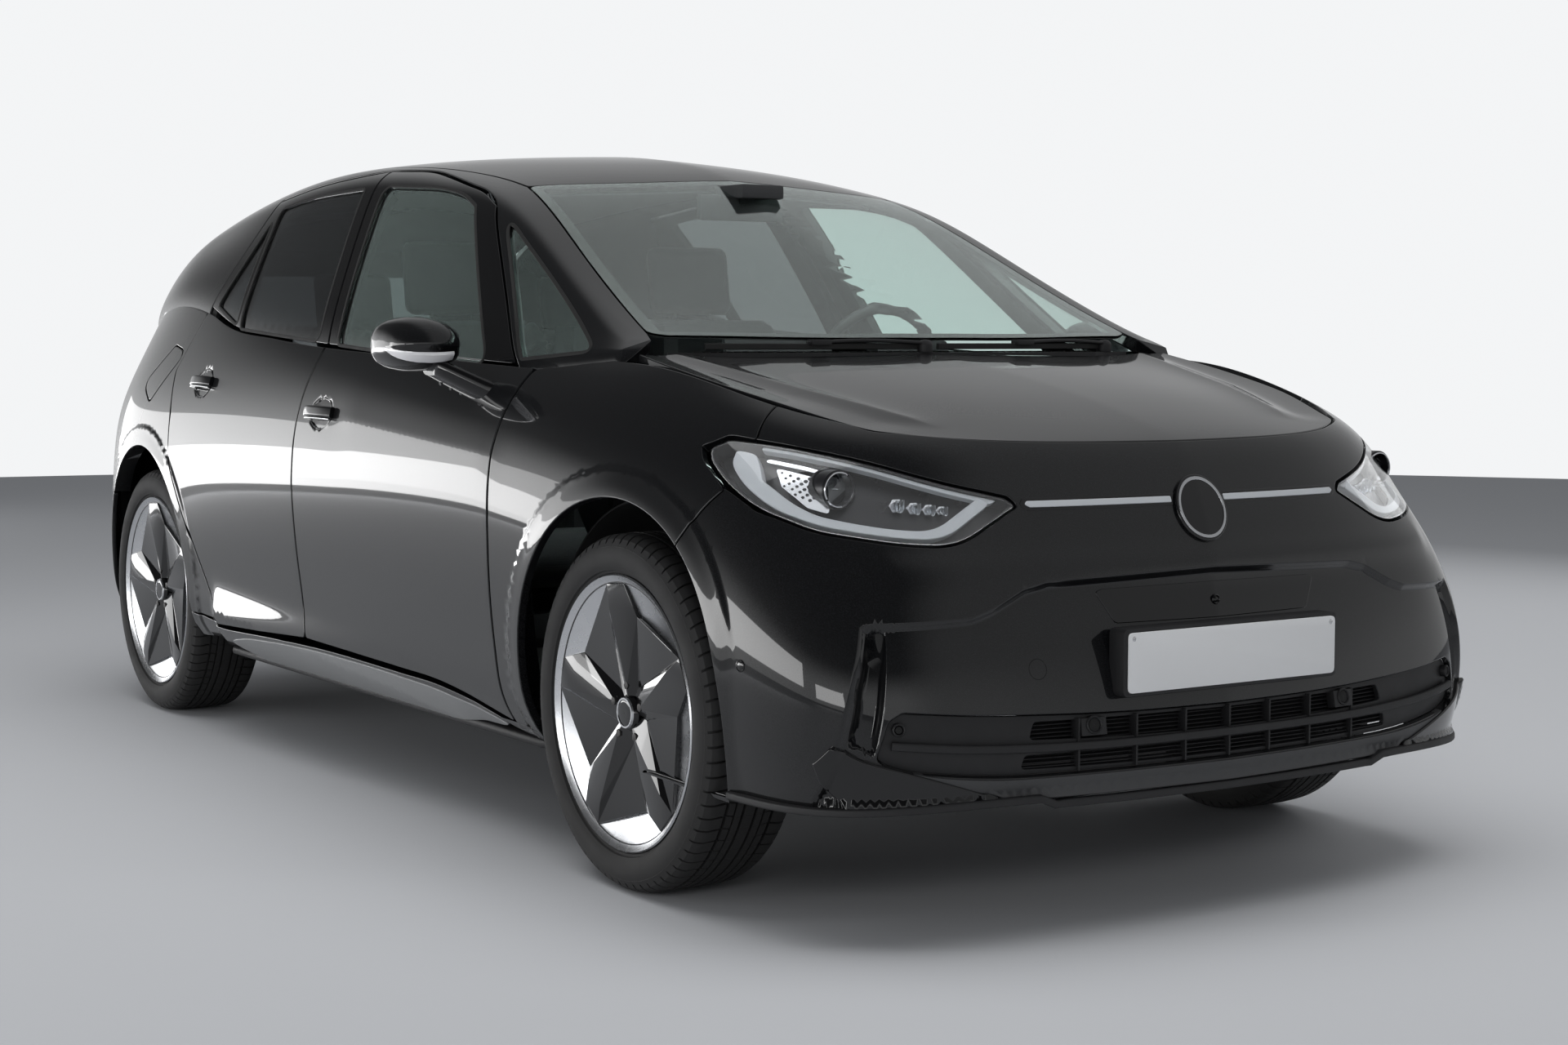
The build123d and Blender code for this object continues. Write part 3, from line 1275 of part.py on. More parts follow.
with BuildPart() as front_liner:
    add(liner(front_axle_x, front_liner_radius, tower_wall_y + 3, 800, 300))
    with BuildSketch(kingpin_plane(400)):
        Circle(spring_radius + 12)
    extrude(amount=300, mode=Mode.SUBTRACT)
rear_liner = liner(rear_axle_x, rear_liner_radius, rear_house_y + 10, 745, 340)
with BuildPart() as wheel_arch_liners:
    for piece in (front_liner.part, rear_liner):
        add(piece)
        add(mirror(piece, about=Plane.XZ))
export(wheel_arch_liners.part, "wheel_arch_liners")

# ---- cabin ----------------------------------------
dash_half_width = place_y(616)
with BuildPart() as dashboard:
    with BuildSketch(Plane.XZ.offset(-dash_half_width)):
        with BuildLine():
            side_outline([(879.5, 600), (879.5, 1010), (760, 1020), (640, 990), (600, 900), (690, 700)])
        make_face()
    extrude(amount=2 * dash_half_width)
    column_way = Vector(-math.cos(math.radians(steering_wheel_tilt)), 0,
                        math.sin(math.radians(steering_wheel_tilt)))
    wheel_hub = Vector(place_x(420), place_y(370), place_z(1000))
    column_foot = wheel_hub - column_way * 320
    with BuildSketch(Plane(origin=column_foot, x_dir=(0, 1, 0), z_dir=column_way)):
        Circle(34)
    extrude(amount=320 - 26)
export(dashboard.part, "dashboard")

with BuildPart() as steering_wheel:
    with BuildSketch(Plane(origin=wheel_hub, x_dir=(0, 1, 0), z_dir=column_way.cross(Vector(0, 1, 0)))):
        with Locations((steering_wheel_radius - 15, 0)):
            Circle(15)
    revolve(axis=Axis(wheel_hub, column_way))
    with BuildSketch(Plane(origin=wheel_hub - column_way * 25.5, x_dir=(0, 1, 0), z_dir=column_way)):
        Circle(62)
        Rectangle(2 * steering_wheel_radius - 34, 50)
    extrude(amount=30)
export(steering_wheel.part, "steering_wheel")

seat_base_z = floor_z + floor_wall + 28
with BuildPart() as front_seats:
    for side in (-1, 1):
        with Locations((place_x(-90), side * place_y(370), seat_base_z + 125)):
            Box(520, seat_width, 250)
        with BuildSketch(Plane.XZ.offset(side * place_y(370) - seat_width / 2)):
            with BuildLine():
                side_outline([(-200, 500), (-330, 440), (-350, 560), (-500, 1130), (-400, 1150),
                              (-230, 640)])
            make_face()
        extrude(amount=seat_width)
        with BuildSketch(Plane.XZ.offset(side * place_y(370) - 130)):
            with BuildLine():
                side_outline([(-492, 1100), (-530, 1330), (-440, 1340), (-405, 1120)])
            make_face()
        extrude(amount=260)
export(front_seats.part, "front_seats")

with BuildPart() as rear_bench:
    with BuildSketch(Plane.XZ.offset(-place_y(560))):
        with BuildLine():
            side_outline([(-560, 316.5), (-560, 600), (-930, 560), (-1075, 1110), (-1165, 1100),
                          (-1030, 577), (-1030, 316.5)])
        make_face()
    extrude(amount=2 * place_y(560))
    for y in (-place_y(360), 0, place_y(360)):
        with BuildSketch(Plane.XZ.offset(-y - 120)):
            with BuildLine():
                side_outline([(-1080, 1080), (-1120, 1270), (-1190, 1265), (-1160, 1090)])
            make_face()
        extrude(amount=240)
export(rear_bench.part, "rear_bench")

# ---- wipers and sills ----------------------------------------
wiper_line = [(0, 1168), (235, 1160), (300, 1155), (480, 1131), (560, 1108)]
wiper_blade, wiper_lift = 12.0, 6.0


def wiper_x(y):
    """Station of the parked blades, midway over the cowl."""
    return float(np.interp(abs(y), [p[0] for p in wiper_line], [p[1] for p in wiper_line]))


cowl_top_z = place_z(1000) + cowl_height
with BuildPart() as wipers:
    for pivot_y, far_y in ((-20, -540), (530, 20)):
        with BuildSketch(Plane.XY.offset(cowl_top_z)):
            with Locations((place_x(wiper_x(pivot_y)), place_y(pivot_y))):
                Circle(9)
        extrude(amount=wiper_lift + 6)
        stations = np.linspace(pivot_y, far_y, 9)
        with BuildSketch(Plane.XY.offset(cowl_top_z + wiper_lift)):
            with BuildLine():
                top_outline([(wiper_x(y) - wiper_blade / 2, y) for y in stations]
                            + [(wiper_x(y) + wiper_blade / 2, y) for y in stations[::-1]])
            make_face()
        extrude(amount=10)
export(wipers.part, "wipers")

skirt_top_z, skirt_height = 237.0, 26.0
with BuildPart() as skirt:
    with Locations((place_x(-15), -place_y(771), skirt_top_z - skirt_height / 2)):
        Box(place_x(925) - place_x(-955), 80, skirt_height)
with BuildPart() as side_skirts:
    add(skirt.part)
    add(mirror(skirt.part, about=Plane.XZ))
export(side_skirts.part, "side_skirts")
print("all pieces done")
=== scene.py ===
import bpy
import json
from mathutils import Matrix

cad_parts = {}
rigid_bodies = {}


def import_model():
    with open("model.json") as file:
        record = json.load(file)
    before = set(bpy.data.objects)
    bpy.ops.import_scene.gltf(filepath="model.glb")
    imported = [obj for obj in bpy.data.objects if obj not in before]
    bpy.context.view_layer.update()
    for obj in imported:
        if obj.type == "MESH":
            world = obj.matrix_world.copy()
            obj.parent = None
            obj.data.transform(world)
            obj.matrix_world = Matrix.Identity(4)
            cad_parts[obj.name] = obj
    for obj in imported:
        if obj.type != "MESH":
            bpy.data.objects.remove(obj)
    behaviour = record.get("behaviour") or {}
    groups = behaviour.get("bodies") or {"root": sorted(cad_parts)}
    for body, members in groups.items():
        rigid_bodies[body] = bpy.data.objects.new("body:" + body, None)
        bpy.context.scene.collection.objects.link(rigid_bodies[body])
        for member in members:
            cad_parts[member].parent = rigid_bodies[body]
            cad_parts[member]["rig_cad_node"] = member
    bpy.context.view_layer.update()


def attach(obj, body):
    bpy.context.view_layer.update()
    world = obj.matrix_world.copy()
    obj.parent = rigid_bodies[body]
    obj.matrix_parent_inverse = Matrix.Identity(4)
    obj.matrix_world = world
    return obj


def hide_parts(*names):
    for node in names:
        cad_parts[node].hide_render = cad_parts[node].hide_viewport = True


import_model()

import json
import math

import bmesh
import bpy
import numpy as np
from mathutils import Vector, kdtree
from mathutils.geometry import delaunay_2d_cdt

bl_info = {
    "name": "Electric hatchback looks",
    "version": (1, 0, 0),
    "blender": (4, 5, 0),
    "location": "View3D > Sidebar > Hatchback",
    "description": "Skins, glass, lamps, wheels and cabin of a five-door electric hatchback",
    "category": "Object",
}

MM = 0.001
PER_METRE = 1000
LAST = 1 - 1e-9  # the largest parameter of a face
SLOPE_STEP, RELIEF_STEP = 1e-4, 4e-4  # parameter steps for slopes, without and with relief
FIND_ROUNDS, FIND_STEP = 12, 0.05
BEND_EDGE = 22.0  # degrees between two faces above which their edge is bevelled

# ---- lines of the body, in millimetres, left-hand side, +X to the nose ----------------
HULL_ROWS = [
    ([235, 233, 226, 212, 205, 215, 235, 238, 238, 238, 240, 245, 255, 262, 268, 270, 272, 275, 275],
     [(2098, 0), (2092, 260), (2052, 520), (1990, 735), (1880, 822), (1668, 850), (1330, 862),
      (968, 815), (400, 795), (-200, 795), (-800, 812), (-1130, 848), (-1441, 862), (-1740, 850),
      (-1968, 790), (-2050, 672), (-2088, 445), (-2100, 220), (-2100, 0)]),
    ([300] * 12 + [305, 310, 315, 320, 320, 320, 320],
     [(2142, 0), (2136, 265), (2090, 535), (2022, 752), (1898, 845), (1668, 872), (1330, 888),
      (968, 862), (400, 866), (-200, 880), (-800, 893), (-1130, 893), (-1441, 892), (-1740, 874),
      (-1978, 812), (-2072, 690), (-2116, 455), (-2128, 225), (-2128, 0)]),
    ([400] * 19,
     [(2126, 0), (2116, 268), (2078, 540), (2026, 758), (1898, 855), (1668, 882), (1330, 900),
      (968, 880), (400, 874), (-200, 876), (-800, 884), (-1130, 893), (-1441, 901), (-1740, 882),
      (-1985, 820), (-2078, 700), (-2124, 458), (-2134, 225), (-2134, 0)]),
    ([520] * 19,
     [(2096, 0), (2088, 268), (2062, 540), (2012, 752), (1890, 852), (1668, 884), (1330, 904),
      (968, 895), (400, 892), (-200, 893), (-800, 897), (-1130, 901), (-1441, 906), (-1740, 886),
      (-1986, 822), (-2080, 700), (-2124, 458), (-2132, 225), (-2132, 0)]),
    ([650] * 19,
     [(2062, 0), (2052, 262), (2022, 520), (1962, 716), (1862, 822), (1668, 870), (1330, 902),
      (968, 902), (400, 902), (-200, 903), (-800, 904), (-1130, 904), (-1441, 905), (-1740, 884),
      (-1978, 820), (-2064, 692), (-2100, 452), (-2108, 225), (-2108, 0)]),
    ([750, 750, 750, 752, 755, 760, 765, 770, 770, 770, 775, 780] + [785] * 7,
     [(2028, 0), (2018, 255), (1980, 490), (1900, 672), (1802, 782), (1650, 846), (1330, 893),
      (968, 902), (400, 904), (-200, 905), (-800, 906), (-1130, 905), (-1441, 898), (-1740, 876),
      (-1966, 812), (-2046, 680), (-2076, 448), (-2084, 220), (-2084, 0)]),
    ([818, 820, 826, 838, 852, 866, 875, 878, 880, 885, 895, 905, 910, 910, 905] + [900] * 4,
     [(1998, 0), (1990, 250), (1948, 466), (1862, 632), (1770, 735), (1630, 805), (1330, 868),
      (968, 890), (400, 898), (-200, 900), (-800, 896), (-1130, 888), (-1441, 876), (-1740, 852),
      (-1945, 788), (-2026, 660), (-2054, 435), (-2062, 215), (-2062, 0)]),
    ([862, 864, 872, 888, 908, 934, 965, 980, 988, 996, 1010, 1022, 1030, 1025, 1015, 1010, 1005,
      1005, 1005],
     [(1978, 0), (1970, 246), (1926, 446), (1838, 598), (1735, 684), (1592, 745), (1330, 800),
      (968, 838), (400, 862), (-200, 868), (-800, 860), (-1130, 846), (-1441, 826), (-1740, 795),
      (-1918, 732), (-2000, 618), (-2028, 415), (-2038, 210), (-2038, 0)]),
    ([884, 885, 890, 906, 930, 962, 1018, 1040, 1036, 1056, 1096, 1150, 1190, 1165, 1120, 1095,
      1085, 1080, 1080],
     [(1958, 0), (1950, 240), (1908, 430), (1818, 572), (1700, 648), (1560, 700), (1330, 728),
      (1090, 745), (400, 826), (-200, 836), (-800, 822), (-1130, 788), (-1441, 752), (-1740, 722),
      (-1890, 680), (-1972, 578), (-2002, 400), (-2012, 200), (-2012, 0)]),
]
UPPER_COLUMNS = [
    [(1150, 738, 1050), (1140, 728, 1056), (1125, 716, 1062), (1112, 704, 1068),
     (1105, 680, 1072), (1110, 640, 1072), (1165, 300, 1066), (1185, 0, 1062)],
    [(1010, 780, 1036), (1000, 752, 1062), (975, 722, 1092), (955, 705, 1112),
     (930, 680, 1134), (912, 640, 1146), (930, 300, 1180), (945, 0, 1188)],
    [(720, 812, 1024), (715, 760, 1105), (680, 690, 1206), (660, 668, 1244),
     (632, 640, 1276), (612, 600, 1294), (612, 290, 1338), (620, 0, 1350)],
    [(430, 828, 1034), (430, 752, 1190), (390, 672, 1330), (372, 645, 1376),
     (345, 612, 1412), (322, 568, 1432), (310, 280, 1478), (315, 0, 1490)],
    [(120, 834, 1046), (110, 748, 1240), (60, 662, 1396), (40, 632, 1442),
     (15, 592, 1474), (0, 540, 1492), (-10, 275, 1530), (-10, 0, 1541)],
    [(-200, 836, 1060), (-215, 745, 1260), (-260, 655, 1436), (-275, 624, 1478),
     (-290, 584, 1508), (-300, 530, 1524), (-300, 270, 1556), (-300, 0, 1566)],
    [(-520, 832, 1076), (-545, 738, 1275), (-590, 650, 1452), (-610, 618, 1492),
     (-620, 578, 1520), (-620, 525, 1534), (-620, 268, 1561), (-620, 0, 1570)],
    [(-850, 818, 1104), (-890, 728, 1280), (-950, 640, 1436), (-965, 610, 1476),
     (-975, 570, 1504), (-980, 518, 1518), (-980, 262, 1548), (-980, 0, 1557)],
    [(-1130, 790, 1150), (-1200, 710, 1290), (-1290, 625, 1404), (-1310, 598, 1438),
     (-1325, 560, 1464), (-1335, 508, 1478), (-1340, 258, 1516), (-1340, 0, 1528)],
    [(-1441, 755, 1190), (-1510, 690, 1290), (-1570, 612, 1368), (-1590, 585, 1398),
     (-1605, 548, 1422), (-1615, 498, 1436), (-1625, 250, 1478), (-1625, 0, 1492)],
    [(-1700, 735, 1178), (-1760, 690, 1250), (-1790, 630, 1320), (-1805, 600, 1345),
     (-1820, 560, 1366), (-1832, 505, 1380), (-1845, 250, 1418), (-1850, 0, 1432)],
    [(-1850, 708, 1148), (-1885, 672, 1195), (-1895, 640, 1238), (-1905, 615, 1258),
     (-1918, 570, 1272), (-1932, 510, 1280), (-1955, 245, 1300), (-1962, 0, 1306)],
    [(-1895, 690, 1120), (-1922, 660, 1118), (-1940, 632, 1114), (-1950, 605, 1110),
     (-1962, 565, 1106), (-1972, 500, 1102), (-2002, 230, 1092), (-2012, 0, 1088)],
]
BELT_TUCK = 40.0
BONNET_ROWS = [
    [(1952, 0, 884), (1946, 215, 885), (1906, 420, 889), (1834, 536, 900), (1784, 592, 910)],
    [(1900, 0, 905), (1893, 215, 904), (1850, 415, 904), (1765, 556, 914), (1700, 626, 928)],
    [(1760, 0, 945), (1752, 220, 943), (1705, 430, 938), (1640, 586, 946), (1590, 668, 958)],
    [(1560, 0, 988), (1552, 225, 986), (1510, 450, 980), (1460, 616, 980), (1430, 696, 990)],
    [(1330, 0, 1026), (1325, 230, 1024), (1300, 470, 1018), (1270, 646, 1016), (1250, 708, 1026)],
    [(1204, 0, 1044), (1199, 235, 1042), (1178, 480, 1038), (1142, 656, 1042), (1120, 706, 1050)],
]
HULL = [[(row[1][i][0], row[1][i][1], row[0][i]) for row in HULL_ROWS] for i in range(19)]
UPPER = [[(c[0][0], c[0][1] - 4, c[0][2] - BELT_TUCK)] + c for c in UPPER_COLUMNS]
HULL_LEVELS = [list(level) for level in zip(*HULL)]

# Openings and shut lines, seen from the side (x, z), front (y, z) or top (x, y).
DOOR_SPLIT = [(-239, 336), (-252, 405), (-265, 720), (-262, 749), (-242, 919), (-205, 1062)]
FRAME_SPLIT = [(-205, 1062), (-342, 1463), (-358, 1506)]
FRONT_DOOR = [(813, 259), (538, 314)] + DOOR_SPLIT + [(848, 1018), (827, 798), (825, 658)]
REAR_EDGE = [(-1172, 1158), (-1262, 987), (-1205, 871), (-1192, 754), (-1015, 523), (-832, 316)]
REAR_DOOR = DOOR_SPLIT + [(-880, 1100)] + REAR_EDGE
FRONT_FRAME_TOP = [(335, 1388), (240, 1423), (30, 1466), (-120, 1492)]
FRONT_WINDOW = [(648, 1020), (253, 1387), (167, 1418), (29, 1443), (-281, 1462), (-149, 1066)]
REAR_WINDOW = [(-273, 1074), (-402, 1461), (-758, 1457), (-993, 1436), (-866, 1108)]
REAR_QUARTER = [(-900, 1116), (-1018, 1412), (-1120, 1172)]
FRONT_QUARTER = [(778, 1034), (405, 1362), (1030, 1052)]
WINDSCREEN = [(1152, 0), (1134, 300), (1082, 610), (1062, 648), (700, 592), (278, 520),
              (336, 300), (348, 0)]
ROOF = [(348, 0), (336, 300), (278, 520), (60, 532), (-300, 544), (-900, 536), (-1300, 506),
        (-1486, 486), (-1486, 0)]
LAMP = [(404, 775), (420, 791), (540, 820), (645, 858), (735, 885), (775, 893), (801, 876), (812, 850),
        (815, 808), (803, 768), (755, 734), (710, 725), (640, 712), (541, 706)]
TAIL_LAMP_EDGE = [(-1985, 891), (-1812, 1024), (-1900, 1042), (-1940, 1043)]
CHARGE_FLAP = [(-1545, 949), (-1362, 1059), (-1237, 1042), (-1433, 899)]
FRONT_AXLE, REAR_AXLE, WHEEL_Z = 1330.0, -1441.0, 351.0
ARCH_X, ARCH_Z = 392.0, 420.0


def basis(count, t):
    """Clamped uniform cubic B-spline basis at the parameters t."""
    t = np.clip(np.asarray(t, float), 0, LAST)
    knots = np.concatenate([np.zeros(3), np.linspace(0, 1, count - 2), np.ones(3)])
    values = [((knots[i] <= t) & (t < knots[i + 1])).astype(float) for i in range(count + 3)]
    for degree in (1, 2, 3):
        following = []
        for i in range(count + 3 - degree):
            left = knots[i + degree] - knots[i]
            right = knots[i + degree + 1] - knots[i + 1]
            value = 0 * t
            if left > 0:
                value = value + (t - knots[i]) / left * values[i]
            if right > 0:
                value = value + (knots[i + degree + 1] - t) / right * values[i + 1]
            following.append(value)
        values = following
    return np.stack(values, 1)


def unit(v):
    return v / np.maximum(np.linalg.norm(v, axis=-1, keepdims=True), 1e-12)


def smooth(t):
    t = np.clip(t, 0, 1)
    return t * t * (3 - 2 * t)


class Skin:
    """A smooth face of the body with its relief; parameters (u, v), places in metres."""

    def __init__(self, net, u_range=(0, 1), v_range=(0, 1), turn=1.0, relief=None, fold=None):
        self.net = np.array(net, float) * MM
        self.turn, self.relief, self.fold = turn, relief, fold
        self.first, self.last = np.zeros(2), np.full(2, LAST)
        if fold:
            axis, _, way = fold
            self.first[axis], self.last[axis] = (-1.0, LAST) if way < 0 else (0.0, 2.0)
        self.low = np.array([u_range[0], v_range[0]])
        self.high = np.array([u_range[1], v_range[1]])
        us, vs = np.linspace(*u_range, 161), np.linspace(*v_range, 81)
        grid = np.meshgrid(us, vs, indexing="ij")
        self.uv = np.stack([g.ravel() for g in grid], 1)
        self.samples = self.base(self.uv)
        self.trees = {}

    def base(self, uv):
        n, m, _ = self.net.shape
        beyond = None
        if self.fold:
            axis, centre, way = self.fold
            beyond = (uv[:, axis] - centre) * way > 0
            uv = uv.copy()
            uv[beyond, axis] = 2 * centre - uv[beyond, axis]
        bu, bv = basis(n, uv[:, 0]), basis(m, uv[:, 1])
        part = (bu @ self.net.reshape(n, m * 3)).reshape(-1, m, 3)
        place = np.einsum("amk,am->ak", part, bv)
        if beyond is not None:
            place[beyond, 1] *= -1
        return place

    def other_side(self, uv):
        """The same place on the other half of a face that runs over both sides."""
        uv = uv.copy()
        uv[:, self.fold[0]] = 2 * self.fold[1] - uv[:, self.fold[0]]
        return uv

    def slopes(self, call, uv, h):
        out = []
        for axis in (0, 1):
            a, b = uv.copy(), uv.copy()
            a[:, axis] = np.clip(a[:, axis] - h, self.first[axis], self.last[axis])
            b[:, axis] = np.clip(b[:, axis] + h, self.first[axis], self.last[axis])
            out.append((call(b) - call(a)) / (b - a)[:, axis:axis + 1])
        return out

    def plain_normal(self, uv):
        su, sv = self.slopes(self.base, uv, SLOPE_STEP)
        return unit(np.cross(su, sv)) * self.turn

    def shape(self, uv):
        p = self.base(uv)
        if self.relief is None:
            return p
        return p + self.plain_normal(uv) * self.relief(p * PER_METRE)[:, None] * MM

    def normal(self, uv):
        if self.relief is None:
            return self.plain_normal(uv)
        su, sv = self.slopes(self.shape, uv, RELIEF_STEP)
        return unit(np.cross(su, sv)) * self.turn

    def find(self, points, plane):
        """Parameters of the points given in millimetres in one view: xz, yz or xy."""
        axes = {"xz": [0, 2], "yz": [1, 2], "xy": [0, 1]}[plane]
        if plane not in self.trees:
            tree = kdtree.KDTree(len(self.samples))
            for i, p in enumerate(self.samples[:, axes]):
                tree.insert((p[0], p[1], 0), i)
            tree.balance()
            self.trees[plane] = tree
        goal = np.array(points, float) * MM
        start = [self.trees[plane].find((g[0], g[1], 0))[1] for g in goal]
        uv = self.uv[start].copy()
        for _ in range(FIND_ROUNDS):
            away = goal - self.base(uv)[:, axes]
            su, sv = self.slopes(self.base, uv, SLOPE_STEP)
            a, b, c, d = su[:, axes[0]], sv[:, axes[0]], su[:, axes[1]], sv[:, axes[1]]
            det = a * d - b * c
            det = np.where(np.abs(det) < 1e-9, 1e-9, det)
            step = np.stack([(d * away[:, 0] - b * away[:, 1]) / det,
                             (a * away[:, 1] - c * away[:, 0]) / det], 1)
            uv = np.clip(uv + np.clip(step, -FIND_STEP, FIND_STEP), self.low, self.high)
        return uv

    def width_at(self, x, z):
        return float(self.base(self.find([(x, z)], "xz"))[0, 1])

    def sides(self, uv, normal):
        """Directions in the face that point away from the material of a loop."""
        p = self.shape(uv)
        return unit(np.cross(unit(np.roll(p, -1, 0) - np.roll(p, 1, 0)), normal))

    def shift(self, uv, amount):
        """The loop moved into its material by amount, in millimetres."""
        if not amount:
            return uv
        n = self.plain_normal(uv)
        move = -self.sides(uv, n) * amount * MM
        su, sv = self.slopes(self.base, uv, SLOPE_STEP)
        e, f, g = (su * su).sum(1), (su * sv).sum(1), (sv * sv).sum(1)
        p, q = (move * su).sum(1), (move * sv).sum(1)
        det = np.maximum(e * g - f * f, 1e-12)
        step = np.stack([(g * p - f * q) / det, (e * q - f * p) / det], 1)
        return np.clip(uv + step, self.first, self.last)

    def inwards(self, loop, amount):
        """The outer loop of a panel moved into it, whichever way round it runs."""
        return self.shift(loop if self.area(loop) > 0 else loop[::-1], amount)

    def area(self, uv):
        a, b = uv, np.roll(uv, -1, 0)
        return 0.5 * float((a[:, 0] * b[:, 1] - b[:, 0] * a[:, 1]).sum()) * self.turn


def rounded(points, radius=18.0, step=9.0, closed=True, soft=28.0):
    """A polygon with rounded corners and gentle bends where it turns little, cut into short runs."""
    pts = np.array(points, float)
    n = len(pts)
    corners = []
    for i in range(n):
        if not closed and i in (0, n - 1):
            corners.append([pts[i]])
            continue
        a, b, c = pts[i - 1], pts[i], pts[(i + 1) % n]
        la, lc = np.linalg.norm(a - b), np.linalg.norm(c - b)
        turn = math.degrees(math.acos(np.clip(np.dot(b - a, c - b) / max(la * lc, 1e-9), -1, 1)))
        if turn < 1:
            corners.append([b])
            continue
        if turn < soft:
            reach = 0.48 * min(la, lc)
        else:
            reach = min(radius * math.tan(math.radians(turn) / 2) + 1, 0.45 * la, 0.45 * lc)
        p, q = b + (a - b) / la * reach, b + (c - b) / lc * reach
        count = max(4, int(2 * reach / step) + 2)
        t = np.linspace(0, 1, count)[:, None]
        corners.append(list((1 - t) ** 2 * p + 2 * t * (1 - t) * b + t ** 2 * q))
    line = [p for corner in corners for p in corner]
    result = []
    for p, q in zip(line, line[1:] + ([line[0]] if closed else [])):
        length = float(np.linalg.norm(q - p))
        if length < 1e-6:
            continue
        runs = max(1, int(round(length / step)))
        result += [p + (q - p) * k / runs for k in range(runs)]
    if not closed:
        result.append(line[-1])
    return np.array(result)


def loop_on(skin, points, plane="xz", radius=18.0, step=9.0, soft=28.0):
    return skin.find(rounded(points, radius, step, True, soft), plane)


def line_on(skin, points, plane="xz", step=12.0, soft=60.0):
    return skin.find(rounded(points, 18.0, step, False, soft), plane)


def inside(loop, points):
    """Even-odd test of points against one loop in the plane."""
    x, y = points[:, 0:1], points[:, 1:2]
    a, b = loop, np.roll(loop, -1, 0)
    cross = (a[None, :, 1] > y) != (b[None, :, 1] > y)
    span = np.where(b[:, 1] == a[:, 1], 1e-12, b[:, 1] - a[:, 1])
    at = (b[None, :, 0] - a[None, :, 0]) * (y - a[None, :, 1]) / span[None] + a[None, :, 0]
    return (cross & (x < at)).sum(1) % 2 == 1


def distance(points, others, size):
    """How far each point is from the nearest of others, in millimetres."""
    near = np.full(len(points), 1e9)
    if not len(others):
        return near
    for i in range(0, len(points), 2000):
        gap = np.linalg.norm((points[i:i + 2000, None] - others[None]) * size, axis=2)
        near[i:i + 2000] = gap.min(1)
    return near


def rows(skin, points, plane, offsets, step=9.0):
    """Runs of parameters beside a line of relief, one for each offset in millimetres."""
    line = np.array(rounded(points, 18, step, False, 60))
    return [skin.find(grown(line, o), plane) for o in offsets]


def fill(skin, loops, cell, lines=()):
    """Points and triangles of the face between loops, with extra points on lines of relief."""
    every = np.vstack(loops)
    low, high = every.min(0), every.max(0)
    middle = (low + high) / 2
    spans = []
    for axis in (0, 1):
        line = np.repeat(middle[None], 30, 0)
        line[:, axis] = np.linspace(low[axis], high[axis], 30)
        spans.append(np.linalg.norm(np.diff(skin.base(line), axis=0), axis=1).sum() * PER_METRE)
    counts = [max(2, int(s / cell)) for s in spans]
    grid = np.meshgrid(*[np.linspace(low[i], high[i], counts[i] + 1) for i in (0, 1)], indexing="ij")
    inner = np.stack([g.ravel() for g in grid], 1)
    odd = (np.arange(len(inner)) // (counts[1] + 1)) % 2 == 1
    inner[odd, 1] += 0.5 * (high[1] - low[1]) / counts[1]
    size = np.array([spans[0] / max(high[0] - low[0], 1e-9), spans[1] / max(high[1] - low[1], 1e-9)])
    keep = inside(loops[0] * size, inner * size)
    for hole in loops[1:]:
        keep &= ~inside(hole * size, inner * size)
    inner = inner[keep]
    kept = every
    extra = []
    for line in lines:
        room = inside(loops[0] * size, line * size)
        for hole in loops[1:]:
            room &= ~inside(hole * size, line * size)
        extra.append(line[room & (distance(line, kept, size) > 2.6)])
        kept = np.vstack([kept, extra[-1]])
    if len(inner):
        inner = inner[(distance(inner, every, size) > 0.55 * cell)]
    if len(inner) and extra:
        inner = inner[distance(inner, np.vstack(extra), size) > 0.6 * cell]
    if extra:
        inner = np.vstack(extra + [inner])
    points = np.vstack([every, inner]) if len(inner) else every
    edges, at = [], 0
    for loop in loops:
        n = len(loop)
        edges += [(at + i, at + (i + 1) % n) for i in range(n)]
        at += n
    flat = [Vector(p) for p in points * size]
    _, _, faces, source, _, _ = delaunay_2d_cdt(flat, edges, [], 2, 1e-6)
    origin = [s[0] if s else -1 for s in source]
    tris = []
    for face in faces:
        tri = [origin[i] for i in face]
        if -1 not in tri and len(set(tri)) == 3:
            tris.append(tri)
    tris = np.array(tris, int)
    middles = points[tris].mean(1) * size
    keep = inside(loops[0] * size, middles)
    for hole in loops[1:]:
        keep &= ~inside(hole * size, middles)
    tris = tris[keep]
    a, b, c = (points[tris[:, i]] * size for i in range(3))
    area = (b - a)[:, 0] * (c - a)[:, 1] - (b - a)[:, 1] * (c - a)[:, 0]
    wrong = (area < 0) != (skin.turn < 0)
    tris[wrong] = tris[wrong][:, ::-1]
    return points, tris


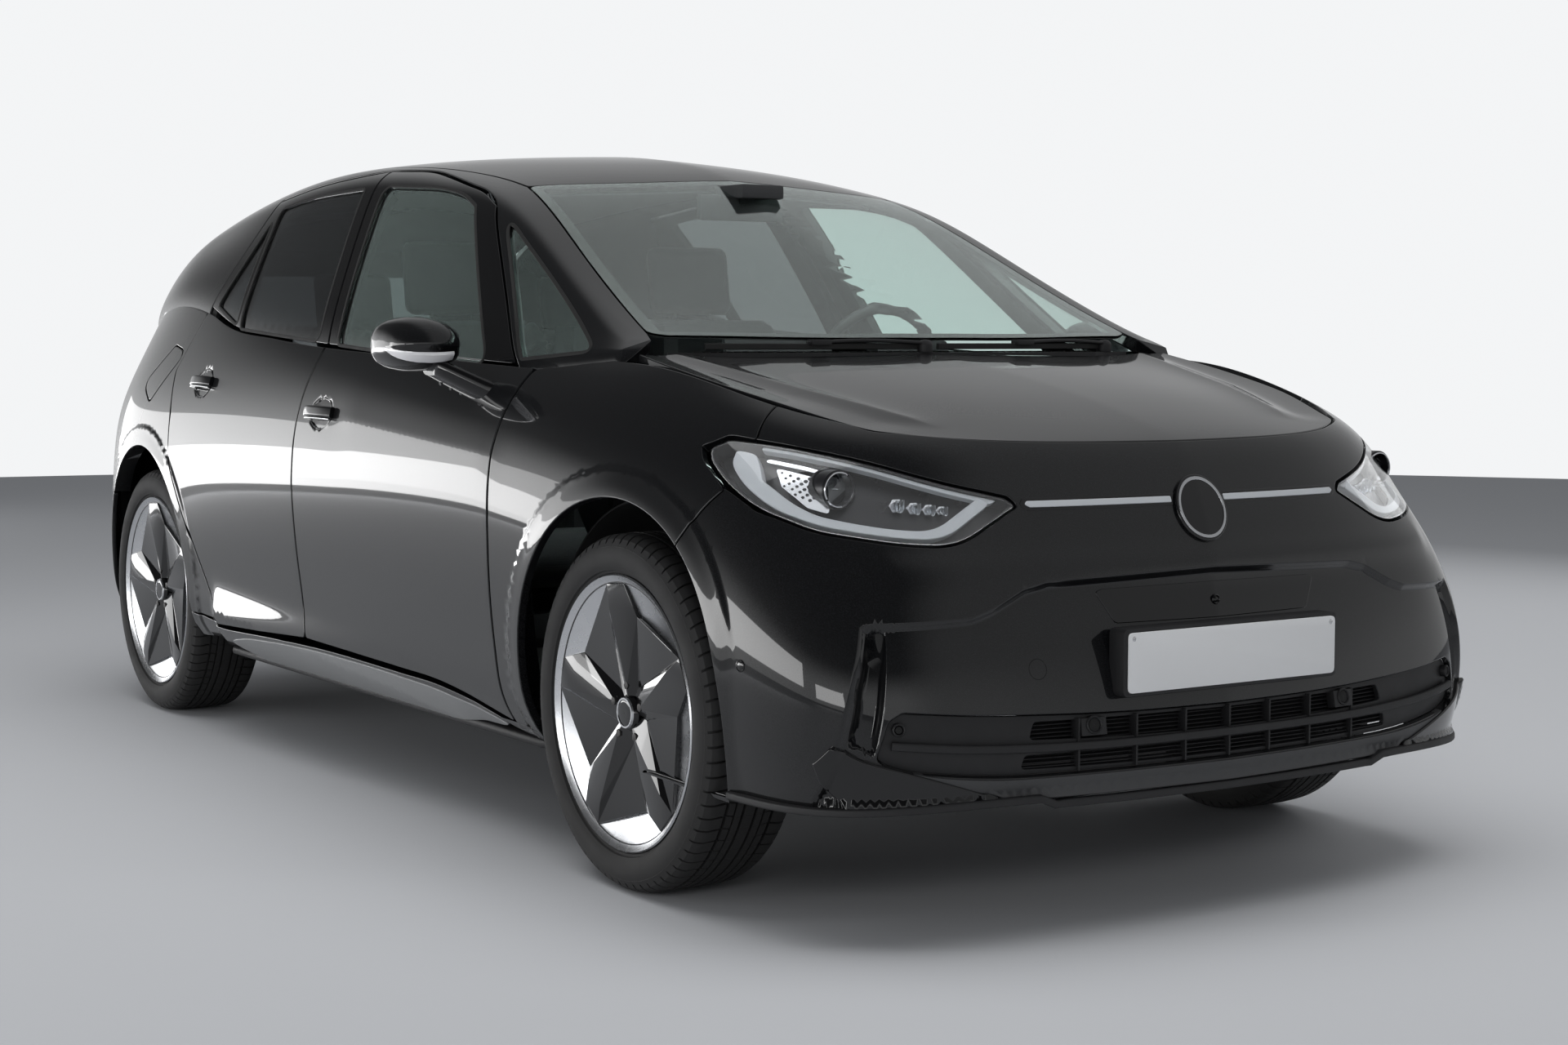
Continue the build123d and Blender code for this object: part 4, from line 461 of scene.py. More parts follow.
class Shell:
    """Corners, faces and the normal of each face corner of a piece being made."""

    def __init__(self):
        self.points, self.faces, self.normals = [], [], []

    def add(self, points):
        start = sum(len(p) for p in self.points)
        self.points.append(np.asarray(points, float))
        return start

    def face(self, ids, normals):
        self.faces.append(tuple(int(i) for i in ids))
        self.normals.append(normals)

    def strip(self, a, b, na, nb):
        """Band between two rings of equal length: a is the outer one."""
        n = len(na)
        for i in range(n):
            j = (i + 1) % n
            self.face((a + i, b + i, b + j, a + j), (na[i], nb[i], nb[j], na[j]))

    def mirrored(self):
        other = Shell()
        other.points = [p * (1, -1, 1) for p in self.points]
        other.faces = [f[::-1] for f in self.faces]
        other.normals = [[np.array(n) * (1, -1, 1) for n in ns][::-1] for ns in self.normals]
        return other

    def join(self, other):
        start = sum(len(p) for p in self.points)
        self.points += other.points
        self.faces += [tuple(i + start for i in f) for f in other.faces]
        self.normals += other.normals
        return self

    def build(self, name, material):
        mesh = bpy.data.meshes.new(name)
        mesh.from_pydata(np.vstack(self.points).tolist(), [], self.faces)
        mesh.materials.append(material)
        mesh.polygons.foreach_set("use_smooth", [True] * len(mesh.polygons))
        mesh.update()
        flat = [tuple(n) for ns in self.normals for n in ns]
        if len(flat) == len(mesh.loops):
            mesh.normals_split_custom_set(flat)
        o = bpy.data.objects.new(name, mesh)
        bpy.context.scene.collection.objects.link(o)
        return o


BACK_CELL, DEEP_BACK_CELL = 28.0, 60.0  # spacing of points on the backs of thin and deep panels


def panel(skin, outer, holes=(), gap=0.0, thick=3.0, radius=2.5, cell=16.0, depth=0.0, wall=None,
          hole_gap=0.0, lines=()):
    """Closed plate on a skin: rounded edge, side wall and back face, as a Shell in metres."""
    loops = []
    for i, loop in enumerate([outer] + list(holes)):
        want = 1 if i == 0 else -1
        if skin.area(loop) * want < 0:
            loop = loop[::-1]
        loops.append(skin.shift(loop, gap if i == 0 else hole_gap))
    shell = Shell()
    rims = []
    angles = [0, 30, 60, 90] if radius > 0.6 else [0, 90]
    inner_loops = [skin.shift(loop, radius) for loop in loops]
    points, tris = fill(skin, inner_loops, cell, lines)
    normals = skin.normal(points)
    places = skin.shape(points) - normals * depth * MM
    start = shell.add(places)
    for t in tris:
        shell.face(start + t, normals[t])
    at = start
    for loop in loops:
        n = len(loop)
        before, before_n = at, normals[at - start:at - start + n]
        for angle in angles[1:]:
            s, c = math.sin(math.radians(angle)), math.cos(math.radians(angle))
            uv = skin.shift(loop, radius * (1 - s))
            nn = skin.normal(uv)
            side = skin.sides(uv, nn)
            ring = skin.shape(uv) - nn * (depth + radius * (1 - c)) * MM
            ring_n = unit(nn * c + side * s)
            here = shell.add(ring)
            shell.strip(before, here, before_n, ring_n)
            before, before_n = here, ring_n
        if wall is None:
            inward = -skin.normal(loop)
        else:
            inward = np.repeat(unit(np.array([wall], float)), n, 0)
        end = ring + inward * max(thick - radius, 0.2) * MM
        here = shell.add(end)
        shell.strip(before, here, before_n, before_n)
        rims.append(here)
        at += n
    points, tris = fill(skin, loops, BACK_CELL if thick < 12 else DEEP_BACK_CELL)
    normals = skin.normal(points)
    count = sum(len(loop) for loop in loops)
    inner = points[count:]
    if len(inner):
        if wall is None:
            place = skin.shape(inner) - skin.normal(inner) * (depth + thick) * MM
        else:
            way = unit(np.array([wall], float))
            place = skin.shape(inner) - skin.normal(inner) * (depth + radius) * MM
            place = place + way * (thick - radius) * MM
        first = shell.add(place)
    ids = []
    for rim, loop in zip(rims, loops):
        ids += [rim + i for i in range(len(loop))]
    if len(inner):
        ids += [first + i for i in range(len(inner))]
    ids = np.array(ids)
    for t in tris:
        shell.face(ids[t][::-1], -normals[t][::-1])
    return shell


def sweep(points, outs, section, closed=False):
    """A bar along points; the section's pairs are (sideways, outwards) in millimetres, in order."""
    p = np.asarray(points, float)
    out = unit(np.asarray(outs, float))
    if closed:
        t = unit(np.roll(p, -1, 0) - np.roll(p, 1, 0))
    else:
        t = unit(np.vstack([p[1:], p[-1:]]) - np.vstack([p[:1], p[:-1]]))
    side = unit(np.cross(t, out))
    out = unit(np.cross(side, t))
    sec = np.array(section, float) * MM
    m = len(sec)
    area = sum(sec[i][0] * sec[(i + 1) % m][1] - sec[(i + 1) % m][0] * sec[i][1] for i in range(m))
    if area < 0:
        sec = sec[::-1]
    edge = np.roll(sec, -1, 0) - np.roll(sec, 1, 0)
    sn = unit(np.stack([edge[:, 1], -edge[:, 0]], 1))
    shell = Shell()
    n = len(p)
    rings = (p[:, None] + side[:, None] * sec[None, :, 0:1] + out[:, None] * sec[None, :, 1:2])
    norms = unit(side[:, None] * sn[None, :, 0:1] + out[:, None] * sn[None, :, 1:2])
    start = shell.add(rings.reshape(-1, 3))
    for i in range(n if closed else n - 1):
        j = (i + 1) % n
        for k in range(m):
            l = (k + 1) % m
            shell.face((start + i * m + k, start + j * m + k, start + j * m + l, start + i * m + l),
                       (norms[i, k], norms[j, k], norms[j, l], norms[i, l]))
    if not closed:
        shell.face([start + k for k in range(m)], [-t[0]] * m)
        shell.face([start + (n - 1) * m + k for k in range(m)][::-1], [t[-1]] * m)
    return shell


def round_section(width, height, corner=None, steps=3):
    """Rounded rectangle section, standing on its lower side."""
    corner = min(width, height) * 0.35 if corner is None else corner
    out = []
    for cx, cy, a0 in ((width / 2 - corner, height - corner, 0), (-width / 2 + corner, height - corner, 90),
                       (-width / 2 + corner, corner, 180), (width / 2 - corner, corner, 270)):
        for k in range(steps + 1):
            a = math.radians(a0 + 90 * k / steps)
            out.append((cx + corner * math.cos(a), cy + corner * math.sin(a)))
    return out


# ---- relief of the skins, in millimetres outwards ---------------------------------------
def arch_flare(x, z):
    """Raised band round both wheel openings."""
    rise = 0.0 * x
    for axle in (FRONT_AXLE, REAR_AXLE):
        r = np.hypot((x - axle) / ARCH_X, (z - WHEEL_Z) / ARCH_Z)
        reach = np.hypot(x - axle, z - WHEEL_Z)
        away = reach * (1 - 1 / np.maximum(r, 0.3))
        band = smooth((64 - away) / 14) * smooth((z - 205) / 60)
        rise = rise + band * (7.0 - 2.5 * smooth(away / 50))
    return rise


HANDLES = ((-98, 898), (-977, 959))


def side_relief(p):
    x, z = p[:, 0], p[:, 2]
    rise = arch_flare(x, z)
    line = np.interp(x, [26, 852], [891, 832])
    fade = smooth((x + 40) / 160) * smooth((900 - x) / 140)
    rise += 3.5 * fade * np.exp(-np.sqrt(((z - line) / 34) ** 2 + 0.02))
    foot = np.interp(x, [-860, -240, 300, 560], [452, 416, 372, 330])
    push = np.clip((foot - z) / 105, 0, 1)
    inside_doors = smooth((x + 900) / 60) * smooth((640 - x) / 120)
    rise += 17 * push ** 2 * inside_doors
    for hx, hz in HANDLES:
        bowl = np.clip(1 - ((x - hx) / 66) ** 2 - ((z - hz) / 37) ** 2, 0, 1)
        rise -= 15 * smooth(bowl * 2.2)
    return rise


MASK_TOP = [(0, 652), (380, 642), (430, 632), (500, 600), (545, 586), (640, 582), (741, 581)]
MASK_EDGE = [(741, 585), (776, 461), (800, 327), (808, 270)]
POCKET_EDGE = [(700, 578), (722, 430), (742, 330), (748, 290)]


def nose_relief(p):
    y, z = np.abs(p[:, 1]), p[:, 2]
    x = p[:, 0]
    top = np.interp(y, *zip(*(MASK_TOP + [(800, 560)])))
    edge = np.interp(z, *zip(*[(b, a) for a, b in MASK_EDGE[::-1]]))
    field = smooth((top - z) / 12) * smooth((edge - y) / 12) * smooth((z - 255) / 16)
    inner = np.interp(z, *zip(*[(b, a) for a, b in POCKET_EDGE[::-1]]))
    slot = smooth((y - inner) / 12) * smooth((edge - 10 - y) / 12) * smooth((572 - z) / 12)
    slot = slot * smooth((z - np.interp(y, [735, 795], [344, 380])) / 12)
    swell = 5 * np.exp(-((z - 668) / 30) ** 2) * smooth((720 - y) / 60)
    return arch_flare(x, z) * smooth((1760 - x) / 60) - 12 * field - 26 * slot + swell


def bonnet_relief(p):
    x, y = p[:, 0], np.abs(p[:, 1])
    line = np.interp(x, [1120, 1500, 1700, 1800, 1860], [628, 548, 486, 452, 440])
    fade = smooth((1815 - x) / 90)
    away = y - line
    ridge = np.exp(-np.sqrt((away / 26) ** 2 + 0.03))
    shoulder = smooth(away / 60) * smooth((170 - away) / 110)
    return fade * (4.5 * ridge - 3.0 * shoulder)


side_skin = Skin(HULL, (0.22, 0.90), (0, 1), 1, side_relief)
nose_skin = Skin(HULL, (0.0, 0.36), (0, 1), 1, nose_relief, (0, 0.0, -1))
tail_skin = Skin(HULL, (0.76, 1.0), (0, 1), 1, lambda p: arch_flare(p[:, 0], p[:, 2]), (0, 1.0, 1))
upper_skin = Skin(UPPER, (0.0, 0.97), (0, 0.80), 1)
crown_skin = Skin(UPPER, (0.0, 0.95), (0.45, 1), 1, None, (1, 1.0, 1))
hatch_skin = Skin(UPPER, (0.68, 1.0), (0.2, 1), 1, None, (1, 1.0, 1))
back_skin = Skin(HULL_LEVELS, (0, 1), (0.84, 1.0), -1, None, (1, 1.0, 1))
bonnet_skin = Skin(BONNET_ROWS, (0, 1), (0, 1), -1, bonnet_relief, (1, 0.0, -1))


# ---- shared shader groups and finishes ---------------------------------------------------
def new_group(name, inputs, outputs):
    group = bpy.data.node_groups.new(name, "ShaderNodeTree")
    for label, kind, value in inputs:
        socket = group.interface.new_socket(label, in_out="INPUT", socket_type=kind)
        if value is not None:
            socket.default_value = value
    for label, kind in outputs:
        group.interface.new_socket(label, in_out="OUTPUT", socket_type=kind)
    return group, group.nodes.new("NodeGroupInput"), group.nodes.new("NodeGroupOutput")


def math_node(nodes, links, operation, a, b=None, clamp=False):
    node = nodes.new("ShaderNodeMath")
    node.operation, node.use_clamp = operation, clamp
    for i, value in enumerate((a, b)):
        if value is None:
            continue
        if isinstance(value, (int, float)):
            node.inputs[i].default_value = value
        else:
            links.new(value, node.inputs[i])
    return node.outputs[0]


def grain_group():
    """Fine moulded grain: a height for a Bump node."""
    group, gi, go = new_group("moulded_grain", [("Scale", "NodeSocketFloat", 900.0)],
                              [("Height", "NodeSocketFloat"), ("Patch", "NodeSocketFloat")])
    n, l = group.nodes, group.links
    place = n.new("ShaderNodeTexCoord")
    cells = n.new("ShaderNodeTexVoronoi")
    cells.feature = "SMOOTH_F1"
    broad = n.new("ShaderNodeTexNoise")
    broad.inputs["Scale"].default_value = 7.0
    broad.inputs["Detail"].default_value = 3.0
    l.new(place.outputs["Object"], cells.inputs["Vector"])
    l.new(place.outputs["Object"], broad.inputs["Vector"])
    l.new(gi.outputs["Scale"], cells.inputs["Scale"])
    l.new(cells.outputs["Distance"], go.inputs["Height"])
    l.new(broad.outputs["Fac"], go.inputs["Patch"])
    return group


def dust_group():
    """A thin film of road dust that fades out above the sills."""
    group, gi, go = new_group("road_film", [("Clean", "NodeSocketColor", (0.02, 0.02, 0.02, 1)),
                                            ("Height", "NodeSocketFloat", 0.42),
                                            ("Amount", "NodeSocketFloat", 0.25)],
                              [("Color", "NodeSocketColor"), ("Mask", "NodeSocketFloat")])
    n, l = group.nodes, group.links
    place = n.new("ShaderNodeTexCoord")
    parts = n.new("ShaderNodeSeparateXYZ")
    noise = n.new("ShaderNodeTexNoise")
    noise.inputs["Scale"].default_value = 9.0
    noise.inputs["Detail"].default_value = 6.0
    l.new(place.outputs["Object"], parts.inputs[0])
    l.new(place.outputs["Object"], noise.inputs["Vector"])
    drop = math_node(n, l, "SUBTRACT", gi.outputs["Height"], parts.outputs["Z"])
    rise = math_node(n, l, "DIVIDE", drop, gi.outputs["Height"], True)
    broken = math_node(n, l, "MULTIPLY", rise, noise.outputs["Fac"])
    mask = math_node(n, l, "MULTIPLY", broken, gi.outputs["Amount"], True)
    mix = n.new("ShaderNodeMix")
    mix.data_type = "RGBA"
    l.new(mask, mix.inputs["Factor"])
    l.new(gi.outputs["Clean"], mix.inputs["A"])
    mix.inputs["B"].default_value = (0.22, 0.20, 0.175, 1)
    l.new(mix.outputs["Result"], go.inputs["Color"])
    l.new(mask, go.inputs["Mask"])
    return group


def weave_group():
    """Woven cloth: crossing threads as a height, and a mottled value."""
    group, gi, go = new_group("cloth_weave", [("Threads", "NodeSocketFloat", 520.0)],
                              [("Height", "NodeSocketFloat"), ("Mottle", "NodeSocketFloat")])
    n, l = group.nodes, group.links
    place = n.new("ShaderNodeTexCoord")
    waves = []
    for direction in ("X", "Z"):
        wave = n.new("ShaderNodeTexWave")
        wave.bands_direction = direction
        wave.inputs["Distortion"].default_value = 0.6
        l.new(place.outputs["Object"], wave.inputs["Vector"])
        l.new(gi.outputs["Threads"], wave.inputs["Scale"])
        waves.append(wave.outputs["Fac"])
    noise = n.new("ShaderNodeTexNoise")
    noise.inputs["Scale"].default_value = 240.0
    l.new(place.outputs["Object"], noise.inputs["Vector"])
    l.new(math_node(n, l, "MAXIMUM", waves[0], waves[1]), go.inputs["Height"])
    l.new(noise.outputs["Fac"], go.inputs["Mottle"])
    return group


GROUPS = {}


def group_node(material, name):
    if name not in GROUPS:
        GROUPS[name] = {"moulded_grain": grain_group, "road_film": dust_group,
                        "cloth_weave": weave_group}[name]()
    node = material.node_tree.nodes.new("ShaderNodeGroup")
    node.node_tree = GROUPS[name]
    return node


def mixed(n, l, factor, a, b):
    """Output of a colour mix from colour a to colour b."""
    mix = n.new("ShaderNodeMix")
    mix.data_type = "RGBA"
    mix.inputs["A"].default_value = a
    mix.inputs["B"].default_value = b
    l.new(factor, mix.inputs["Factor"])
    return mix.outputs["Result"]


def raised(n, l, height, shader, strength, reach):
    """Bumps on the shader's surface from a height, at most reach metres high."""
    bump = n.new("ShaderNodeBump")
    bump.inputs["Strength"].default_value = strength
    bump.inputs["Distance"].default_value = reach
    l.new(height, bump.inputs["Height"])
    l.new(bump.outputs["Normal"], shader.inputs["Normal"])


def lighter(color, factor, rise=0.0):
    return tuple(min(1.0, c * factor + rise) for c in color) + (1,)


def finish_of(name, color, roughness=0.5, metallic=0.0, coat=0.0, grain=None, film=None,
              vary=0.0, weave=None, flake=0.0, **sockets):
    """A material of one finish; color is linear."""
    material = bpy.data.materials.new(name)
    material.use_nodes = True
    material.use_backface_culling = False
    n, l = material.node_tree.nodes, material.node_tree.links
    shader = n["Principled BSDF"]
    base = (*color, 1)
    shader.inputs["Base Color"].default_value = base
    shader.inputs["Roughness"].default_value = roughness
    shader.inputs["Metallic"].default_value = metallic
    if coat:
        shader.inputs["Coat Weight"].default_value = coat
        shader.inputs["Coat Roughness"].default_value = 0.03
    for key, value in sockets.items():
        shader.inputs[key.replace("_", " ")].default_value = value
    color_out = None
    if flake:
        place = n.new("ShaderNodeTexCoord")
        cells = n.new("ShaderNodeTexVoronoi")
        cells.inputs["Scale"].default_value = 1500.0
        l.new(place.outputs["Object"], cells.inputs["Vector"])
        ramp = n.new("ShaderNodeMapRange")
        ramp.inputs["From Min"].default_value = 0.72
        ramp.inputs["From Max"].default_value = 1.0
        grey = n.new("ShaderNodeRGBToBW")
        l.new(cells.outputs["Color"], grey.inputs[0])
        l.new(grey.outputs[0], ramp.inputs["Value"])
        color_out = mixed(n, l, ramp.outputs["Result"], base, lighter(color, 1 + 6 * flake))
    if vary:
        place = n.new("ShaderNodeTexCoord")
        noise = n.new("ShaderNodeTexNoise")
        noise.inputs["Scale"].default_value = 22.0
        noise.inputs["Detail"].default_value = 5.0
        l.new(place.outputs["Object"], noise.inputs["Vector"])
        ramp = n.new("ShaderNodeMapRange")
        ramp.inputs["To Min"].default_value = max(0.0, roughness - vary)
        ramp.inputs["To Max"].default_value = min(1.0, roughness + vary)
        l.new(noise.outputs["Fac"], ramp.inputs["Value"])
        l.new(ramp.outputs["Result"], shader.inputs["Roughness"])
    if film:
        node = group_node(material, "road_film")
        node.inputs["Height"].default_value, node.inputs["Amount"].default_value = film
        node.inputs["Clean"].default_value = base
        if color_out is not None:
            l.new(color_out, node.inputs["Clean"])
        color_out = node.outputs["Color"]
    if weave:
        node = group_node(material, "cloth_weave")
        node.inputs["Threads"].default_value = weave
        raised(n, l, node.outputs["Height"], shader, 0.35, 0.0008)
        color_out = mixed(n, l, node.outputs["Mottle"], base, lighter(color, 1.7, 0.006))
    if grain:
        node = group_node(material, "moulded_grain")
        node.inputs["Scale"].default_value = grain[0]
        raised(n, l, node.outputs["Height"], shader, grain[1], 0.0006)
    if color_out is not None:
        l.new(color_out, shader.inputs["Base Color"])
    return material


def glass_of(name, color, roughness=0.0, ior=1.45):
    return finish_of(name, color, roughness, Transmission_Weight=1.0, IOR=ior)


M = {}


def make_finishes(colors):
    paint = tuple(colors.paint_color)
    M["paint"] = finish_of("body_paint", paint, 0.34, 0.0, 1.0, film=(0.36, 0.05), flake=0.6,
                           Specular_IOR_Level=0.1)
    M["roof"] = finish_of("roof_paint", tuple(colors.roof_color), 0.30, 0.0, 1.0, flake=0.4,
                          Specular_IOR_Level=0.1)
    M["gloss"] = finish_of("gloss_black_trim", (0.003, 0.003, 0.0035), 0.15, 0.0, 1.0, flake=0.2,
                           Specular_IOR_Level=0.1)
    M["trim"] = finish_of("black_plastic", (0.011, 0.011, 0.012), 0.55, grain=(850.0, 0.35), vary=0.08)
    M["dark"] = finish_of("deep_black", (0.006, 0.006, 0.006), 0.75, vary=0.1)
    M["rubber"] = finish_of("seal_rubber", (0.012, 0.012, 0.012), 0.7, vary=0.1)
    M["sill"] = finish_of("satin_sill_grey", tuple(colors.sill_color), 0.45, 0.2, grain=(1400.0, 0.12),
                          film=(0.36, 0.12))
    M["chin"] = finish_of("satin_chin_grey", (0.055, 0.056, 0.058), 0.45, 0.2, grain=(1200.0, 0.2))
    M["chrome"] = finish_of("bright_chrome", (0.62, 0.63, 0.64), 0.12, 1.0, vary=0.04)
    M["silver"] = finish_of("machined_silver", (0.60, 0.61, 0.63), 0.27, 1.0, vary=0.05)
    M["alloy"] = finish_of("dark_cast_rim", (0.035, 0.036, 0.038), 0.38, 0.6, vary=0.08)
    M["wheel_black"] = finish_of("wheel_gloss_black", (0.003, 0.003, 0.0035), 0.12, 0.0, 1.0, flake=0.2,
                                 Specular_IOR_Level=0.1)
    M["tyre"] = finish_of("tyre_rubber", (0.010, 0.010, 0.0105), 0.74, grain=(700.0, 0.3), vary=0.08,
                          film=(0.75, 0.05))
    M["plate"] = finish_of("plate_white", (0.78, 0.79, 0.80), 0.35, vary=0.05)
    M["screen"] = glass_of("windscreen_glass", (0.80, 0.90, 0.87))
    M["glass"] = glass_of("front_glass_green", (0.62, 0.76, 0.72))
    M["privacy"] = glass_of("rear_glass_privacy", (0.13, 0.14, 0.145))
    M["lens"] = glass_of("lamp_lens", (0.96, 0.97, 0.98))
    M["lamp_bowl"] = finish_of("lamp_bowl", (0.015, 0.015, 0.017), 0.3, 0.3, vary=0.08)
    M["guide"] = finish_of("frosted_guide", (0.62, 0.65, 0.68), 0.35, Transmission_Weight=0.2, vary=0.06)
    M["reflector"] = finish_of("lamp_reflector", (0.72, 0.73, 0.75), 0.18, 1.0, vary=0.05)
    M["crystal"] = glass_of("lamp_crystal", (0.90, 0.93, 0.96), 0.02, 1.5)
    M["red"] = finish_of("red_lens", (0.30, 0.006, 0.010), 0.12, 0.0, 1.0, vary=0.04)
    M["disc"] = finish_of("brake_iron", (0.20, 0.20, 0.205), 0.35, 1.0, vary=0.1)
    M["iron"] = finish_of("cast_metal", (0.05, 0.05, 0.052), 0.55, 0.7, grain=(500.0, 0.4), film=(0.6, 0.4))
    M["unit"] = finish_of("unit_metal", (0.22, 0.225, 0.23), 0.42, 0.9, grain=(600.0, 0.25), vary=0.1)
    M["floor"] = finish_of("floor_coating", (0.022, 0.023, 0.024), 0.6, 0.2, grain=(300.0, 0.4),
                           film=(0.5, 0.4))
    M["cabin"] = finish_of("cabin_plastic", (0.030, 0.031, 0.033), 0.55, grain=(1100.0, 0.3), vary=0.06)
    M["headliner"] = finish_of("headliner", (0.30, 0.31, 0.31), 0.9, weave=900.0)
    M["cloth"] = finish_of("seat_cloth", tuple(colors.cloth_color), 0.85, weave=420.0, Sheen_Weight=0.25)
    M["leather"] = finish_of("seat_bolster", (0.014, 0.014, 0.015), 0.5, grain=(700.0, 0.5), vary=0.05)
    M["display"] = finish_of("display_glass", (0.004, 0.005, 0.006), 0.06, 0.0, 1.0)
    M["amber"] = finish_of("indicator_lens", (0.80, 0.80, 0.82), 0.15, 0.0, 0.6, vary=0.04)


def settle(o, body, stands=()):
    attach(o, body)
    if stands:
        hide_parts(*stands)
    return o


def pair(part, name, material, bodies, nodes=((), ()), slot=None, **how):
    """Left piece from a shell or solid and its mirrored right piece; bodies are (left, right)."""
    return [settle(half.build(f"{name}_{side}", material, **how), body, stands)
            for side, half, body, stands in (("left", part, bodies[0], nodes[0]),
                                             ("right", part.mirrored(), bodies[1], nodes[1]))]


def standing(place, normal):
    """Placing of a part on a face: a sideways, b upwards and c outwards, in millimetres."""
    side = unit(np.cross([0, 0, 1], normal))
    up = np.cross(normal, side)
    return lambda a, b, c: tuple(place + side * a + up * b + normal * c)


# ---- outlines on the skins ----------------------------------------------------------------
def chain(*runs):
    """One loop from runs of parameters, without doubled points."""
    every = np.vstack(runs)
    keep = [0]
    for i in range(1, len(every)):
        if np.linalg.norm((every[i] - every[keep[-1]]) * (3.5, 1.2)) > 0.0022:
            keep.append(i)
    if np.linalg.norm((every[keep[-1]] - every[0]) * (3.5, 1.2)) < 0.0022:
        keep.pop()
    return every[keep]


def arch(axle, start, end, margin=0.0):
    """Points of a wheel opening between two angles from the horizontal, in degrees."""
    a = np.radians(np.linspace(start, end, 40))
    return list(zip(axle + (ARCH_X + margin) * np.cos(a), WHEEL_Z + (ARCH_Z + margin) * np.sin(a)))


def level(skin, v, from_x, to_x, count=60):
    """Run of parameters at one v between two stations."""
    us = np.linspace(skin.low[0], skin.high[0], 400)
    xs = skin.base(np.stack([us, np.full(400, v)], 1))[:, 0] * PER_METRE
    order = np.argsort(xs)
    u = np.interp(np.linspace(from_x, to_x, count), xs[order], us[order])
    return np.stack([u, np.full(count, v)], 1)


def grown(points, amount):
    """An open run of plan points moved to its left by amount."""
    p = np.array(points, float)
    t = unit(np.gradient(p, axis=0))
    return p + np.stack([-t[:, 1], t[:, 0]], 1) * amount


def over_both(skin, half):
    """A loop over both sides from its left-hand half, which starts and ends on the centre."""
    return chain(half, skin.other_side(half)[::-1])


def across(skin, half, radius, step, soft, plane="yz"):
    """A loop over both sides from the corners of its left-hand half."""
    return over_both(skin, skin.find(rounded(half, radius, step, False, soft), plane))


def bonnet_edge(gap):
    """Plan of the bonnet's edge from the nose centre round to the windscreen corner."""
    nose = bonnet_skin.base(np.stack([np.zeros(20), np.linspace(0, 1, 20)], 1))
    edge = bonnet_skin.base(np.stack([np.linspace(0.03, 1, 40), np.ones(40)], 1))
    line = np.vstack([nose, edge])[:, :2] * PER_METRE
    line = np.array(rounded(line, 30, 9, False, 70))
    return grown(line, -gap)


# ---- body panels ----------------------------------------------------------------------------
BODY = ("body_shell", "body_shell")
DOOR_WALL = (0.3, -1, 0)


def flare_rows(axle, start, end):
    """Rows beside the outer edge of a wheel-arch flare."""
    return [side_skin.find(arch(axle, start, end, m), "xz") for m in (47, 51, 55, 59, 63, 66)]


def make_doors(sizes):
    lower_front = loop_on(side_skin, FRONT_DOOR, "xz", 14, 9, 16)
    lower_rear = loop_on(side_skin, REAR_DOOR, "xz", 14, 9, 16)
    front_frame = [(768, 1021)] + FRONT_FRAME_TOP + FRAME_SPLIT[::-1]
    rear_frame = FRAME_SPLIT + [(-772, 1490), (-1062, 1462), (-1178, 1166), (-880, 1100)]
    front_holes = [loop_on(upper_skin, FRONT_WINDOW, "xz", 26, 9, 16)]
    rear_holes = [loop_on(upper_skin, REAR_WINDOW, "xz", 22, 9, 16),
                  loop_on(upper_skin, REAR_QUARTER, "xz", 14, 8, 10)]
    for end, lower, frame_points, holes in (("front", lower_front, front_frame, front_holes),
                                            ("rear", lower_rear, rear_frame, rear_holes)):
        bodies = (f"{end}_left_door", f"{end}_right_door")
        skin = panel(side_skin, lower, gap=sizes.door_gap, thick=92, wall=DOOR_WALL, cell=13,
                     lines=flare_rows(REAR_AXLE, 0, 60) if end == "rear" else ())
        pair(skin, f"{end}_door_skin", M["paint"], bodies,
             ((f"{end}_door_left",), (f"{end}_door_right",)), "body_paint")
        frame_loop = loop_on(upper_skin, frame_points, "xz", 10, 9, 16)
        ring = panel(upper_skin, frame_loop, holes, gap=sizes.door_gap, thick=26, hole_gap=0, cell=16)
        pair(ring, f"{end}_door_frame", M["gloss"], bodies, slot="gloss_black")
        pane_skin = M["glass"] if end == "front" else M["privacy"]
        glass = Shell()
        trim = Shell()
        for hole in holes:
            glass.join(panel(upper_skin, hole, thick=5, depth=5, radius=0.5, gap=-6, cell=30))
            edge = upper_skin.shift(hole, 3)
            n = upper_skin.normal(edge)
            trim.join(sweep(upper_skin.shape(edge) - n * 0.0035, n, round_section(9, 4.5), True))
        pair(glass, f"{end}_door_pane", pane_skin, bodies,
             ((f"{end}_door_glass_left",), (f"{end}_door_glass_right",)),
             "glass_clear" if end == "front" else "glass_dark")
        pair(trim, f"{end}_door_window_seal", M["rubber"], bodies, slot="trim_black")


